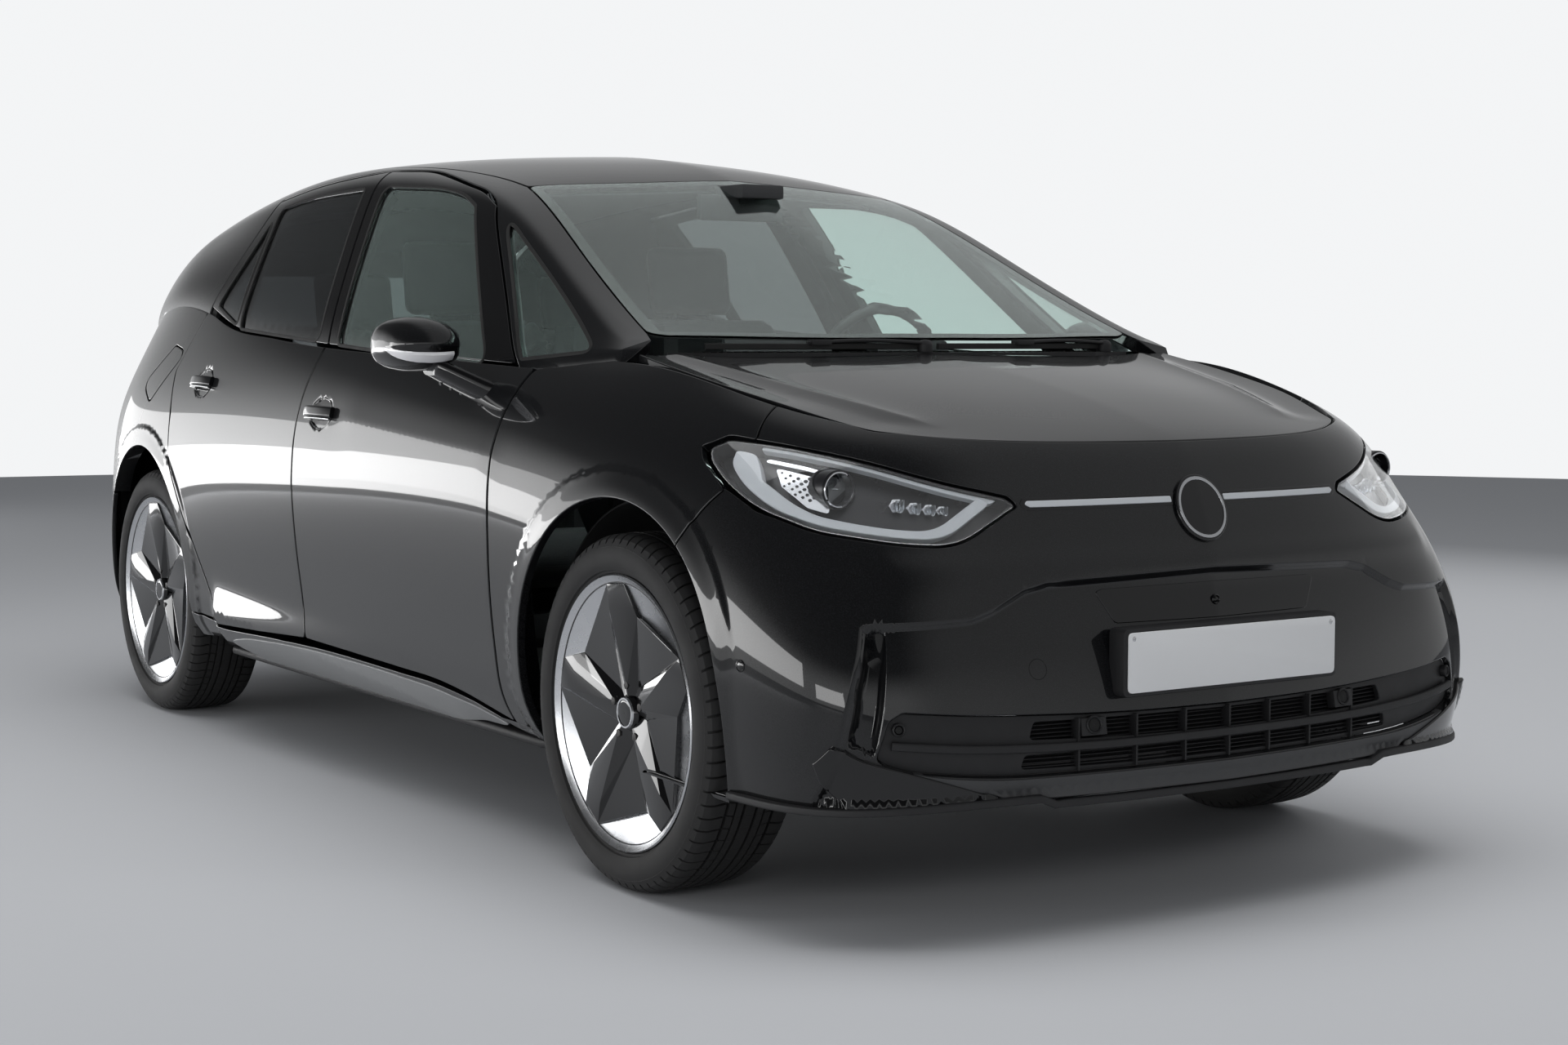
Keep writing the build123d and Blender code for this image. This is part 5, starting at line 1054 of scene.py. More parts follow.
def make_body_sides():
    corner = nose_skin.find(rounded([(754, 893), (772, 899.5), (805, 878), (816, 852), (819, 809)],
                                    10, 6, False, 30), "yz")
    edge = [p for p in bonnet_edge(6.5) if 1128 < p[0] < 1606][::-1]
    fender = chain(line_on(side_skin, [(816.5, 246), (828.5, 658), (830.5, 798), (851, 1014),
                                       (1010, 1026), (1116, 1039)], "xz", 9, 30),
                   side_skin.find(edge, "xy"),
                   line_on(side_skin, [(1600, 957), (1630, 915), (1642, 897)], "xz", 9, 60),
                   corner,
                   line_on(side_skin, [(1638, 801), (1602, 764), (1560, 700)], "xz", 9, 60),
                   side_skin.find(arch(FRONT_AXLE, 54.5, 194.5), "xz"))
    pair(panel(side_skin, fender, gap=0.3, thick=18, cell=13, lines=flare_rows(FRONT_AXLE, 50, 200)),
         "front_fender", M["paint"], BODY,
         (("front_fenders",), ()), "body_paint")
    hatch_edge = tail_skin.find([(593, 744), (600, 800), (602, 880), (602, 890)], "yz")
    lamp_edge = line_on(side_skin, TAIL_LAMP_EDGE, "xz", 9, 20)
    above_lamp = tail_skin.find([(583, 1046), (578, 1058), (573, 1070)], "yz")
    quarter = chain(line_on(side_skin, [(-1172, 1150), (-1262, 987), (-1205, 871), (-1192, 754), (-1015, 523),
                                        (-835, 319), (-1043, 330)], "xz", 9, 40),
                    side_skin.find(arch(REAR_AXLE, 2, 139.6), "xz"),
                    line_on(side_skin, [(-1743, 622), (-1810, 656), (-1940, 720)], "xz", 9, 60),
                    tail_skin.find([(800, 732), (740, 743), (670, 744)], "yz"),
                    hatch_edge,
                    tail_skin.find([(640, 891), (690, 891)], "yz"), lamp_edge,
                    tail_skin.find([(700, 1045), (640, 1045)], "yz"), above_lamp,
                    level(side_skin, 0.998, -1925, -1176))
    flap = loop_on(side_skin, CHARGE_FLAP, "xz", 30, 7, 10)
    for side, holes in (("left", ()), ("right", (flap,))):
        whole = panel(side_skin, quarter, holes, gap=0.4, thick=46, wall=DOOR_WALL, cell=13, hole_gap=4,
                      lines=flare_rows(REAR_AXLE, -2, 150))
        whole = whole if side == "left" else whole.mirrored()
        settle(whole.build(f"rear_quarter_{side}", M["paint"]), "body_shell", (f"body_side_{side}",))
    frame_top = [(-1182, 1130), (-1182, 1166), (-1066, 1466), (-772, 1494), (-358, 1510), (-120, 1496),
                 (30, 1470), (240, 1427), (335, 1392), (772, 1022), (790, 1000)]
    rail = chain(line_on(upper_skin, frame_top, "xz", 9, 30),
                 level(upper_skin, 0.02, 800, 1120, 30),
                 crown_skin.find(rounded([(1100, 660), (1068, 650), (700, 594.5), (281, 522.5)],
                                         12, 9, False, 10), "xy"),
                 crown_skin.find(rounded([(275, 524), (60, 535), (-300, 547), (-900, 539), (-1300, 509),
                                          (-1488, 489)], 12, 9, False, 10), "xy"),
                 hatch_skin.find(rounded([(503, 1459), (506, 1400), (514, 1300), (542, 1190), (562, 1112)],
                                         12, 9, False, 20), "yz"),
                 level(upper_skin, 0.004, -1880, -1190, 50))
    corner = loop_on(upper_skin, [(-1140, 1122), (-1140, 1196), (-1290, 1190), (-1290, 1118)], "xz", 8, 9, 10)
    pair(panel(upper_skin, corner, depth=7, thick=12, cell=20), "belt_backing", M["dark"], BODY,
         slot="trim_black")
    light = loop_on(upper_skin, FRONT_QUARTER, "xz", 12, 8, 10)
    pair(panel(upper_skin, rail, [light], thick=26, cell=15), "roof_rail", M["paint"], BODY,
         slot="body_paint")
    n = upper_skin.normal(light)
    pair(panel(upper_skin, light, thick=5, depth=4, radius=0.5, gap=-6, cell=30), "quarter_light", M["glass"],
         BODY, (("fixed_glass",), ()), "glass_clear")
    pair(sweep(upper_skin.shape(light) - n * 0.0035, n, round_section(9, 4.5), True), "quarter_light_seal",
         M["rubber"], BODY, slot="trim_black")
    sill = chain(line_on(side_skin, [(936, 243), (813, 243), (538, 304), (-239, 327), (-832, 308),
                                     (-1046, 328)], "xz", 9, 60),
                 side_skin.find([(-1046, 300), (-1048, 262)], "xz"), level(side_skin, 0.02, -1046, 930))
    pair(panel(side_skin, sill, thick=150, wall=(0, -1, 0.05), cell=16), "sill", M["gloss"], BODY,
         slot="body_paint")


def make_bonnet():
    count, edge = 60, 1 - 1e-6
    half = np.vstack([np.stack([np.zeros(count), np.linspace(0, 0.985, count)], 1),
                      np.stack([np.linspace(0.012, 0.99, 150), np.full(150, edge)], 1),
                      np.stack([np.full(count, edge), np.linspace(0.985, 0, count)], 1)])
    skin = panel(bonnet_skin, over_both(bonnet_skin, half), gap=0.4, thick=22, wall=(-0.35, 0, -1), cell=15,
                 radius=3)
    settle(skin.build("bonnet_skin", M["paint"]), "bonnet_lid", ("bonnet",))


def make_roof():
    roof = across(crown_skin, ROOF, 14, 10, 20, "xy")
    settle(panel(crown_skin, roof, gap=0.6, thick=24, cell=18).build("roof_skin", M["roof"]),
           "body_shell", ("roof_panel",))
    glass_line = across(crown_skin, WINDSCREEN, 26, 10, 16, "xy")
    pane = panel(crown_skin, glass_line, gap=1.2, thick=5, radius=1.2, cell=26)
    settle(pane.build("windscreen", M["screen"]), "body_shell", ())
    inner = crown_skin.inwards(glass_line, 26)
    band = panel(crown_skin, glass_line, [inner], gap=1.6, thick=2, depth=5.6, radius=0.4, cell=20)
    settle(band.build("windscreen_black_border", M["dark"]), "body_shell", ())


def make_front_bumper():
    edge = [p for p in bonnet_edge(6.5) if p[0] > 1604]
    top = rounded([(752, 892.5), (735, 887.5), (645, 860.5), (540, 822.5), (418, 793.5), (401, 775),
                   (540, 703.5), (640, 709.5), (711, 722.5), (756.5, 731.5), (805, 766), (818, 804)], 10, 8,
                  False, 34)
    half = chain(nose_skin.find([p for p in edge if p[1] >= 0], "xy"),
                 line_on(side_skin, [(1602, 957), (1632, 915), (1645, 897)], "xz", 9, 60),
                 nose_skin.find(top, "yz"),
                 line_on(side_skin, [(1640, 799), (1604, 762), (1562, 698)], "xz", 9, 60),
                 side_skin.find(arch(FRONT_AXLE, 54, -15.5, 1), "xz"),
                 np.stack([np.linspace(0.295, 0, 60), np.full(60, 0.02)], 1))
    loop = over_both(nose_skin, half)
    mouth = across(nose_skin, MOUTH, 14, 9, 14)
    relief = []
    for line in (rows(nose_skin, MASK_TOP, "yz", (-13, -10, -6, -2, 1)) +
                 rows(nose_skin, MASK_EDGE, "yz", (1, -2, -6, -10, -12, -16, -20, -25)) +
                 rows(nose_skin, POCKET_EDGE, "yz", (-1, 2, 6, 10, 13)) +
                 rows(nose_skin, [(735, 344), (795, 380)], "yz", (0, 4, 8, 12)) +
                 rows(nose_skin, [(4, 255), (800, 255)], "yz", (0, 4, 8, 12, 16)) +
                 rows(nose_skin, [(690, 560), (760, 560)], "yz", (0, 6, 12)) +
                 flare_rows(FRONT_AXLE, 70, -20)):
        relief += [line, nose_skin.other_side(line)]
    skin = panel(nose_skin, loop, [mouth], thick=12, cell=13, lines=relief)
    settle(skin.build("front_bumper_skin", M["paint"]), "body_shell", ("front_bumper",))


def make_tail():
    half = chain(tail_skin.find(rounded([(0, 738), (592, 738), (670, 739.5), (740, 738.5), (800, 728)], 8, 9,
                                        False, 20), "yz"),
                 line_on(side_skin, [(-1940, 716), (-1810, 652), (-1746, 618)], "xz", 9, 60),
                 side_skin.find(arch(REAR_AXLE, 141, 196), "xz"),
                 np.stack([np.linspace(0.86, 1, 50), np.full(50, 0.02)], 1))
    loop = over_both(tail_skin, half)
    vent = across(tail_skin, [(0, 400), (500, 400), (552, 262), (0, 262)], 20, 10, 18)
    relief = [r for line in flare_rows(REAR_AXLE, 135, 200) for r in (line, tail_skin.other_side(line))]
    skin = panel(tail_skin, loop, [vent], thick=12, cell=14, lines=relief)
    settle(skin.build("rear_bumper_skin", M["paint"]), "body_shell", ("rear_bumper",))
    settle(panel(tail_skin, vent, gap=1, thick=8, depth=6, cell=18).build("rear_diffuser_skin", M["trim"]),
           "body_shell", ("rear_diffuser",))


# ---- solids with plain faces ----------------------------------------------------------------
class Solid:
    """Closed forms with flat or turned faces, in millimetres."""

    def __init__(self):
        self.v, self.f, self.m = [], [], []

    def add(self, verts, faces, mark=0):
        start = len(self.v)
        self.v += [tuple(float(c) for c in p) for p in verts]
        self.f += [tuple(i + start for i in f) for f in faces]
        self.m += list(mark) if isinstance(mark, (list, tuple)) else [mark] * len(faces)
        return self

    def loft(self, rings, mark=0, closed=False):
        """Skin over rings of equal length; the ends are closed unless the rings run round."""
        n = len(rings[0])
        faces = []
        count = len(rings)
        for i in range(count if closed else count - 1):
            j = (i + 1) % count
            faces += [(i * n + k, i * n + (k + 1) % n, j * n + (k + 1) % n, j * n + k) for k in range(n)]
        if not closed:
            faces += [tuple(range(n))[::-1], tuple((count - 1) * n + k for k in range(n))]
        return self.add([p for ring in rings for p in ring], faces, mark)

    def prism(self, outline, place, low, high, mark=0):
        return self.loft([[place(a, b, c) for a, b in outline] for c in (low, high)], mark)

    def box(self, centre, size, mark=0):
        x, y, z = centre
        a, b, c = (s / 2 for s in size)
        ring = [(x - a, y - b), (x + a, y - b), (x + a, y + b), (x - a, y + b)]
        return self.loft([[(p, q, z - c) for p, q in ring], [(p, q, z + c) for p, q in ring]], mark)

    def lathe(self, profile, place, steps=64, mark=0, arc=None):
        """Closed profile of (offset, radius) turned about an axis."""
        turns = np.linspace(0, 2 * math.pi, steps, endpoint=False) if arc is None else np.radians(
            np.linspace(arc[0], arc[1], steps))
        rings = [[place(r * math.cos(t), r * math.sin(t), o) for o, r in profile] for t in turns]
        if isinstance(mark, (list, tuple)):
            mark = [mark[k] for _ in range(steps) for k in range(len(profile))]
        return self.loft(rings, mark, arc is None)

    def build(self, name, materials, bevel=0.0, angle=34.0, merge=True):
        bm = bmesh.new()
        verts = [bm.verts.new(tuple(c * MM for c in p)) for p in self.v]
        for face, mark in zip(self.f, self.m):
            made = bm.faces.new([verts[i] for i in face])
            made.material_index = mark
        if merge:
            bmesh.ops.remove_doubles(bm, verts=bm.verts, dist=1e-6)
        bmesh.ops.recalc_face_normals(bm, faces=bm.faces)
        if bevel:
            edges = [e for e in bm.edges if len(e.link_faces) == 2
                     and e.calc_face_angle(0.0) > math.radians(BEND_EDGE)]
            bmesh.ops.bevel(bm, geom=edges, offset=bevel * MM, segments=2, profile=0.6,
                            affect="EDGES", clamp_overlap=True)
        for face in bm.faces:
            face.smooth = True
        for edge in bm.edges:
            if len(edge.link_faces) == 2:
                edge.smooth = edge.calc_face_angle(0.0) < math.radians(angle)
        mesh = bpy.data.meshes.new(name)
        bm.to_mesh(mesh)
        bm.free()
        for m in materials if isinstance(materials, (list, tuple)) else [materials]:
            mesh.materials.append(m)
        o = bpy.data.objects.new(name, mesh)
        bpy.context.scene.collection.objects.link(o)
        return o

    def mirrored(self):
        other = Solid()
        other.v = [(x, -y, z) for x, y, z in self.v]
        other.f = [f[::-1] for f in self.f]
        other.m = list(self.m)
        return other


def ring_of(a, b, count=24, power=2.0):
    """Points of a rounded outline with half sizes a and b."""
    out = []
    for t in np.linspace(0, 2 * math.pi, count, endpoint=False):
        c, s = math.cos(t), math.sin(t)
        out.append((a * abs(c) ** (2 / power) * math.copysign(1, c),
                    b * abs(s) ** (2 / power) * math.copysign(1, s)))
    return out


# ---- repeats made with Geometry Nodes ---------------------------------------------------------
def repeat_group(name, round_axis):
    """Copies of the incoming piece: round the Y axis, or along a step."""
    tree = bpy.data.node_groups.new(name, "GeometryNodeTree")
    face = tree.interface
    face.new_socket(name="Geometry", in_out="INPUT", socket_type="NodeSocketGeometry")
    count = face.new_socket(name="Count", in_out="INPUT", socket_type="NodeSocketInt")
    count.default_value, count.min_value, count.max_value = 5, 1, 400
    count.description = "How many copies are made"
    place = face.new_socket(name="Centre" if round_axis else "Step", in_out="INPUT",
                            socket_type="NodeSocketVector")
    place.description = "Centre of the ring" if round_axis else "Way from one copy to the next"
    seed = face.new_socket(name="Seed", in_out="INPUT", socket_type="NodeSocketInt")
    seed.default_value = 7
    seed.description = "Fixed seed of the small differences between the copies"
    shift = face.new_socket(name="Scatter", in_out="INPUT", socket_type="NodeSocketFloat")
    shift.default_value, shift.min_value, shift.max_value = 0.0, 0.0, 0.01
    shift.description = "Largest small difference between the copies"
    face.new_socket(name="Material", in_out="INPUT", socket_type="NodeSocketMaterial")
    face.new_socket(name="Geometry", in_out="OUTPUT", socket_type="NodeSocketGeometry")
    n, l = tree.nodes, tree.links
    given, out = n.new("NodeGroupInput"), n.new("NodeGroupOutput")
    points = n.new("GeometryNodePoints")
    index = n.new("GeometryNodeInputIndex")
    l.new(given.outputs["Count"], points.inputs["Count"])
    copies = n.new("GeometryNodeInstanceOnPoints")
    l.new(points.outputs[0], copies.inputs["Points"])
    l.new(given.outputs["Geometry"], copies.inputs["Instance"])
    random = n.new("FunctionNodeRandomValue")
    l.new(given.outputs["Seed"], random.inputs["Seed"])
    l.new(given.outputs["Scatter"], random.inputs[3])
    if round_axis:
        turn = math_node(n, l, "DIVIDE", index.outputs[0], given.outputs["Count"])
        angle = math_node(n, l, "MULTIPLY_ADD", turn, 2 * math.pi)
        l.new(random.outputs[1], angle.node.inputs[2])
        spin = n.new("ShaderNodeCombineXYZ")
        l.new(angle, spin.inputs["Y"])
        l.new(spin.outputs[0], copies.inputs["Rotation"])
    else:
        along = n.new("ShaderNodeVectorMath")
        along.operation = "SCALE"
        l.new(given.outputs["Step"], along.inputs[0])
        l.new(math_node(n, l, "ADD", index.outputs[0], random.outputs[1]), along.inputs["Scale"])
        l.new(along.outputs[0], points.inputs["Position"])
    real = n.new("GeometryNodeRealizeInstances")
    l.new(copies.outputs[0], real.inputs[0])
    last = real.outputs[0]
    if round_axis:
        move = n.new("GeometryNodeTransform")
        l.new(last, move.inputs["Geometry"])
        l.new(given.outputs["Centre"], move.inputs["Translation"])
        last = move.outputs[0]
    coat = n.new("GeometryNodeSetMaterial")
    l.new(last, coat.inputs["Geometry"])
    l.new(given.outputs["Material"], coat.inputs["Material"])
    l.new(coat.outputs[0], out.inputs[0])
    return tree


def repeated(o, group, **values):
    """The piece with its copies as one plain mesh; the modifier is gone afterwards."""
    if group not in GROUPS:
        GROUPS[group] = repeat_group(group, group == "ring_of_copies")
    o.modifiers.new("copies", "NODES").node_group = GROUPS[group]
    modifier = o.modifiers["copies"]
    values["Material"] = o.data.materials[0]
    for item in GROUPS[group].interface.items_tree:
        if item.in_out == "INPUT" and item.name in values:
            modifier[item.identifier] = values[item.name]
    o.update_tag()
    bpy.context.view_layer.update()
    deps = bpy.context.evaluated_depsgraph_get()
    mesh = bpy.data.meshes.new_from_object(o.evaluated_get(deps))
    old = o.data
    o.modifiers.remove(modifier)
    o.data = mesh
    mesh.name = old.name
    bpy.data.meshes.remove(old)
    return o


# ---- wheels -----------------------------------------------------------------------------------
AXLES = (("front", FRONT_AXLE, 768.0), ("rear", REAR_AXLE, 762.0))
ARM_TURN = 72.0  # degrees from one arm of the star to the next
BOLT_ARM = 54  # from the wheel's centre to a bolt


def polar(r, degrees):
    return r * math.cos(math.radians(degrees)), r * math.sin(math.radians(degrees))


def wheel_places(axle, mid):
    """Side and placing of both wheels of an axle; o runs outboard."""
    for side, y in (("left", 1), ("right", -1)):
        yield side, (lambda a, b, o, y=y: (axle + a, y * (mid + o), WHEEL_Z + b))


def star_solid(place):
    """Five broad arms: each rises to a ridge and falls steeply behind it."""
    star = Solid()
    points, faces = [], []
    for k in range(5):
        t = 103.0 - ARM_TURN * k
        spots = [(50, t - 16, 84), (206, t - 1.0, 97.5), (255, t, 94), (253, t - 14.5, 92),
                 (209, t - 15.0, 91), (197, t - 26, 84), (56, t - 40, 70)]
        for r, angle, out in spots:
            points.append((*polar(r, angle), out))
    centre = len(points)
    points.append((0, 0, 76))
    count = 7
    for k in range(5):
        h, c, r, te, tc, nt, g = (k * count + i for i in range(7))
        j = (k + 1) % 5 * count
        h2, c2, r2 = j, j + 1, j + 2
        faces += [(h, c, tc), (h, tc, nt), (h, nt, g), (c, r, te, tc), (tc, te, nt), (g, nt, r2), (g, r2, c2),
                  (g, c2, h2), (centre, h, g), (centre, g, h2)]
    outline = []
    for k in range(5):
        outline += [k * count + 2, k * count + 3, k * count + 5]
    low = len(points)
    for i in outline:
        points.append((points[i][0] * 0.99, points[i][1] * 0.99, 56))
    back = len(points)
    points.append((0, 0, 50))
    n = len(outline)
    for i in range(n):
        j = (i + 1) % n
        faces += [(outline[i], outline[j], low + j, low + i), (low + i, low + j, back)]
    return star.add([place(*p) for p in points], faces)


# Turned outlines of a wheel as (outboard offset, radius).
RIM = [(100, 269), (97.5, 271.6), (92.6, 271.6), (92, 254.4), (70, 254.4), (60, 230), (-60, 230),
       (-70, 254.4), (-92, 254.4), (-93, 271.6), (-99, 271.6), (-100, 264), (-72, 246), (-60, 222),
       (40, 222), (50, 214), (58, 186), (72, 185), (79, 204), (88, 250), (96.5, 264)]
TYRE_HALF = [(70, 254.2), (91.8, 254.2), (91.8, 272.2), (95, 273.5), (97, 278), (101.5, 280), (103, 284),
             (105, 287), (106.8, 297), (107.4, 306), (106.4, 315), (104, 322.5), (100, 331), (88, 338.6),
             (79, 341.6), (47.5, 343.2)]
TYRE_IN = [(60, 332), (78, 324), (92, 308), (95, 294), (84, 272), (70, 262)]
SIDE_BAND = [(0, 351), (47.5, 351), (79.5, 349), (93.5, 343), (104, 324)]


def tread_pitch(steps):
    """The tread blocks of one pitch about the Y axis, offset along it."""
    pitch = 360.0 / steps
    blocks = Solid()
    slots = [(-11, 11, 0.0, 1.0), (17, 31, 0.16, 1.0), (35, 49, -0.1, 0.93), (56, 103, 0.3, 0.86)]
    for low, high, slant, fill_part in slots:
        for side in ((1,) if low < 0 else (1, -1)):
            offsets = np.linspace(low, high, 2 if low < 50 else 7)
            rings = []
            for o in offsets:
                top = float(np.interp(abs(o), *zip(*SIDE_BAND)))
                base = top - (9.0 if abs(o) < 80 else 9.0 - 3.0 * (abs(o) - 80) / 23)
                start = slant * pitch * (abs(o) - abs(low)) / 47 * (1 if low > 50 else 2.6)
                ring = []
                for r, at in ((base, 0), (top - 0.9, 0), (top, 0.035), (top, 0.5), (top, 0.965),
                              (top - 0.9, 1), (base, 1)):
                    a = math.radians(start + pitch * fill_part * at)
                    ring.append((r * math.sin(a), side * o, r * math.cos(a)))
                rings.append(ring)
            blocks.loft(rings)
    return blocks


def make_wheels(sizes):
    steps = sizes.tread_pitches
    for end, axle, mid in AXLES:
        for side, place in wheel_places(axle, mid):
            body = f"{end}_{side}_wheel"
            rim = Solid()
            marks = [1, 1] + [0] * (len(RIM) - 6) + [1, 1, 1, 1]
            rim.lathe(RIM, place, 120, marks)
            settle(rim.build(f"rim_{end}_{side}", [M["alloy"], M["silver"]], angle=28), body,
                   (f"wheel_{end}_{side}",))
            star = star_solid(place)
            settle(star.build(f"wheel_star_{end}_{side}", M["wheel_black"], bevel=1.1, angle=11), body,
                   ())
            hub = Solid()
            hub.lathe([(-20, 50), (-20, 30.4), (55, 30.4), (55, 50)], place, 40)
            hub.lathe([(-46, 168), (-46, 46), (-20, 46), (-20, 78), (-22, 80), (-22, 168)], place, 72, 1)
            hub.lathe([(76, 36), (76, 0.5), (88, 0.5), (88.4, 20), (87.4, 27.5), (85, 31), (80, 34)],
                      place, 48)
            hub.lathe([(86, 25.6), (88.9, 26.4), (88.9, 29.6), (85, 31.4)], place, 48, 2)
            settle(hub.build(f"hub_{end}_{side}", [M["wheel_black"], M["disc"], M["silver"]], angle=30), body,
                   ())
            bolt = Solid()
            sign = -1 if side == "right" else 1
            centre = (axle * MM, sign * mid * MM, WHEEL_Z * MM)
            for r, corners, low, high in ((11.5, 24, 70, 79.5), (8.6, 6, 79, 85)):
                bolt.prism([(p, q + BOLT_ARM) for p, q in ring_of(r, r, corners)],
                           lambda a, b, o: (a, sign * o, b), low, high)
            o = bolt.build(f"wheel_bolts_{end}_{side}", M["iron"], bevel=0.8)
            repeated(o, "ring_of_copies", Count=5, Seed=3, Scatter=0.0, Centre=centre)
            settle(o, body, ())
            tyre = Solid()
            profile = TYRE_HALF + [(-o, r) for o, r in TYRE_HALF[::-1]] + [(-o, r) for o, r in TYRE_IN] + \
                TYRE_IN[::-1]
            tyre.lathe(profile, place, 128)
            settle(tyre.build(f"tyre_body_{end}_{side}", M["tyre"], angle=30), body,
                   (f"tyre_{end}_{side}",))
            tread = tread_pitch(steps).build(f"tyre_tread_{end}_{side}", M["tyre"], angle=25)
            repeated(tread, "ring_of_copies", Count=steps, Seed=5, Scatter=0.0006, Centre=centre)
            settle(tread, body, ())


# ---- lamps and nose ---------------------------------------------------------------------------
def on_nose(points, depth, thick, radius=1.0, cell=12.0, soft=14.0, corner=6.0, gap=0.0, **more):
    return panel(nose_skin, loop_on(nose_skin, points, "yz", corner, 6, soft), gap=gap, thick=thick,
                 depth=depth, radius=radius, cell=cell, **more)


def nose_x(y, z):
    """Station of the finished nose at a height and width."""
    return float(nose_skin.shape(nose_skin.find([(abs(y), z)], "yz"))[0, 0] * PER_METRE)


GUIDE_TOP = [(452, 782), (548, 808), (650, 846), (730, 872), (758, 878), (750, 885), (728, 880), (645, 852),
             (543, 814), (436, 788)]
GUIDE_LOW = [(452, 782), (556, 722), (640, 727), (706, 739), (750, 749), (790, 775), (802, 812), (798, 850),
             (780, 877), (766, 870), (781, 824), (765, 786), (742, 765), (702, 754), (640, 742), (569, 737),
             (469, 795)]


def make_head_lamps():
    lamp = loop_on(nose_skin, LAMP, "yz", 8, 6, 40)
    pair(panel(nose_skin, lamp, gap=3.0, thick=3.2, radius=1.6, cell=13), "lamp_lens", M["lens"], BODY,
         (("head_lamps",), ()), "lamp_clear")
    rim = nose_skin.inwards(lamp, 7)
    bowl = panel(nose_skin, lamp, [rim], gap=3.4, thick=40, depth=3.8, radius=0.6, cell=12)
    bowl.join(panel(nose_skin, lamp, gap=4, depth=42, thick=4, radius=0.6, cell=16))
    pair(bowl, "lamp_bowl", M["lamp_bowl"], BODY, slot="gloss_black")
    guide = on_nose(GUIDE_TOP, 9, 14, 2.0, 7, soft=30)
    guide.join(on_nose(GUIDE_LOW, 8, 18, 2.5, 8, soft=40))
    pair(guide, "lamp_light_guide", M["guide"], BODY, slot="lamp_clear")
    silver = on_nose([(764, 858), (716, 842), (690, 829), (690, 836), (714, 850), (758, 864)], 12, 12, 1.0, 8)
    pair(silver, "lamp_silver_blade", M["reflector"], BODY, slot="lamp_clear")
    honey = on_nose([(758, 852), (722, 838), (706, 822), (722, 772), (748, 782), (766, 818)], 18, 6, 0.8, 8)
    pair(honey, "lamp_silver_panel", M["reflector"], BODY, slot="lamp_clear")
    cells = Solid()
    for row in range(6):
        for column in range(7):
            y, z = 762 - 7.4 * column, 848 - 9.6 * row - (4.8 if column % 2 else 0)
            spot = np.array([[y, z]])
            size = 2.1 + 0.35 * column
            room = inside(np.array([(756, 848), (722, 834), (712, 820), (726, 776), (747, 786), (763, 818)],
                                   float), spot)
            if not room[0]:
                continue
            uv = nose_skin.find([(y, z)], "yz")
            at = standing(nose_skin.shape(uv)[0] * PER_METRE, nose_skin.normal(uv)[0])
            cells.prism(ring_of(size * 1.25, size, 6), at, -20, -17.2)
    pair(cells, "lamp_hex_cells", M["lamp_bowl"], BODY, slot="gloss_black")
    y, z = 690, 806
    x = nose_x(y, z)
    spot = lambda a, b, o: (x + o, y + a, z + b)
    bezel = Solid()
    bezel.lathe([(-58, 36), (-14, 36), (-11, 33), (-13, 30), (-50, 29), (-58, 29)], spot, 48)
    bezel.lathe([(-13, 33.5), (-9.5, 32.5), (-9.5, 30.5), (-13, 29.6)], spot, 40, 1, (-100, 130))
    pair(bezel, "lamp_projector_bezel", [M["lamp_bowl"], M["reflector"]], BODY, slot="gloss_black")
    ball = Solid()
    ball.lathe([(-48, 28.5), (-48, 0.4), (-14, 0.4), (-15.5, 9), (-20, 18), (-27, 25), (-33, 28.5)], spot, 40)
    pair(ball, "lamp_projector_lens", M["crystal"], BODY, slot="lamp_clear", angle=40)
    crystals, mirrors = Solid(), Solid()
    for y, z, size in ((598, 776, 15), (571, 771, 13), (546, 768, 12), (524, 766, 10)):
        x = nose_x(y, z) - 26
        for k in range(3):
            crystals.box((x - 3 * k, y - size * 0.32 * (k - 1), z + 2 * k - 2),
                         (9, size * 0.42, size * 1.25))
        crystals.prism(ring_of(size * 0.62, size * 0.62, 8),
                       lambda a, b, c: (x - 8 + c, y + a, z + b), -14, 0)
        x = nose_x(y, z) - 46
        mirrors.prism(ring_of(size + 2, (size + 2) * 0.8, 6), lambda a, b, c: (x + c, y + a, z + b), 0, 5)
    pair(crystals, "lamp_crystals", M["crystal"], BODY, slot="lamp_clear", bevel=1.0, merge=False)
    pair(mirrors, "lamp_reflectors", M["reflector"], BODY, slot="lamp_clear", bevel=0.8, merge=False)


EMBLEM_Z = 758


def make_light_strip():
    trim = across(nose_skin, [(0, 788.5), (200, 788.5), (390, 788.5), (402, 777), (385, 766), (200, 766),
                              (0, 766)], 5, 8, 12)
    settle(panel(nose_skin, trim, depth=-0.9, thick=3, radius=1, cell=12).build("strip_trim", M["gloss"]),
           "body_shell", ())
    white = on_nose([(66, 771.5), (66, 783), (384, 783), (390, 777), (380, 771.5)], -2.4, 3, 1.2, 9, corner=2)
    pair(white, "light_strip", M["guide"], BODY, (("light_bar",), ()), "lamp_clear")

    def disc(r):
        turns = np.radians(np.linspace(90, -90, 40))
        return over_both(nose_skin, nose_skin.find([(r * math.cos(t), EMBLEM_Z + r * math.sin(t))
                                                    for t in turns], "yz"))

    settle(panel(nose_skin, disc(62), depth=-7, thick=9, radius=3, cell=10).build("emblem_disc", M["gloss"]),
           "body_shell", ())
    hoop = panel(nose_skin, disc(57), [disc(51)], depth=-8.6, thick=3, radius=1.2, cell=10)
    settle(hoop.build("emblem_ring", M["silver"]), "body_shell", ())


MOUTH = [(0, 404), (262, 405), (560, 416), (692, 427), (716, 412), (738, 342), (700, 318), (514, 295),
         (0, 293)]


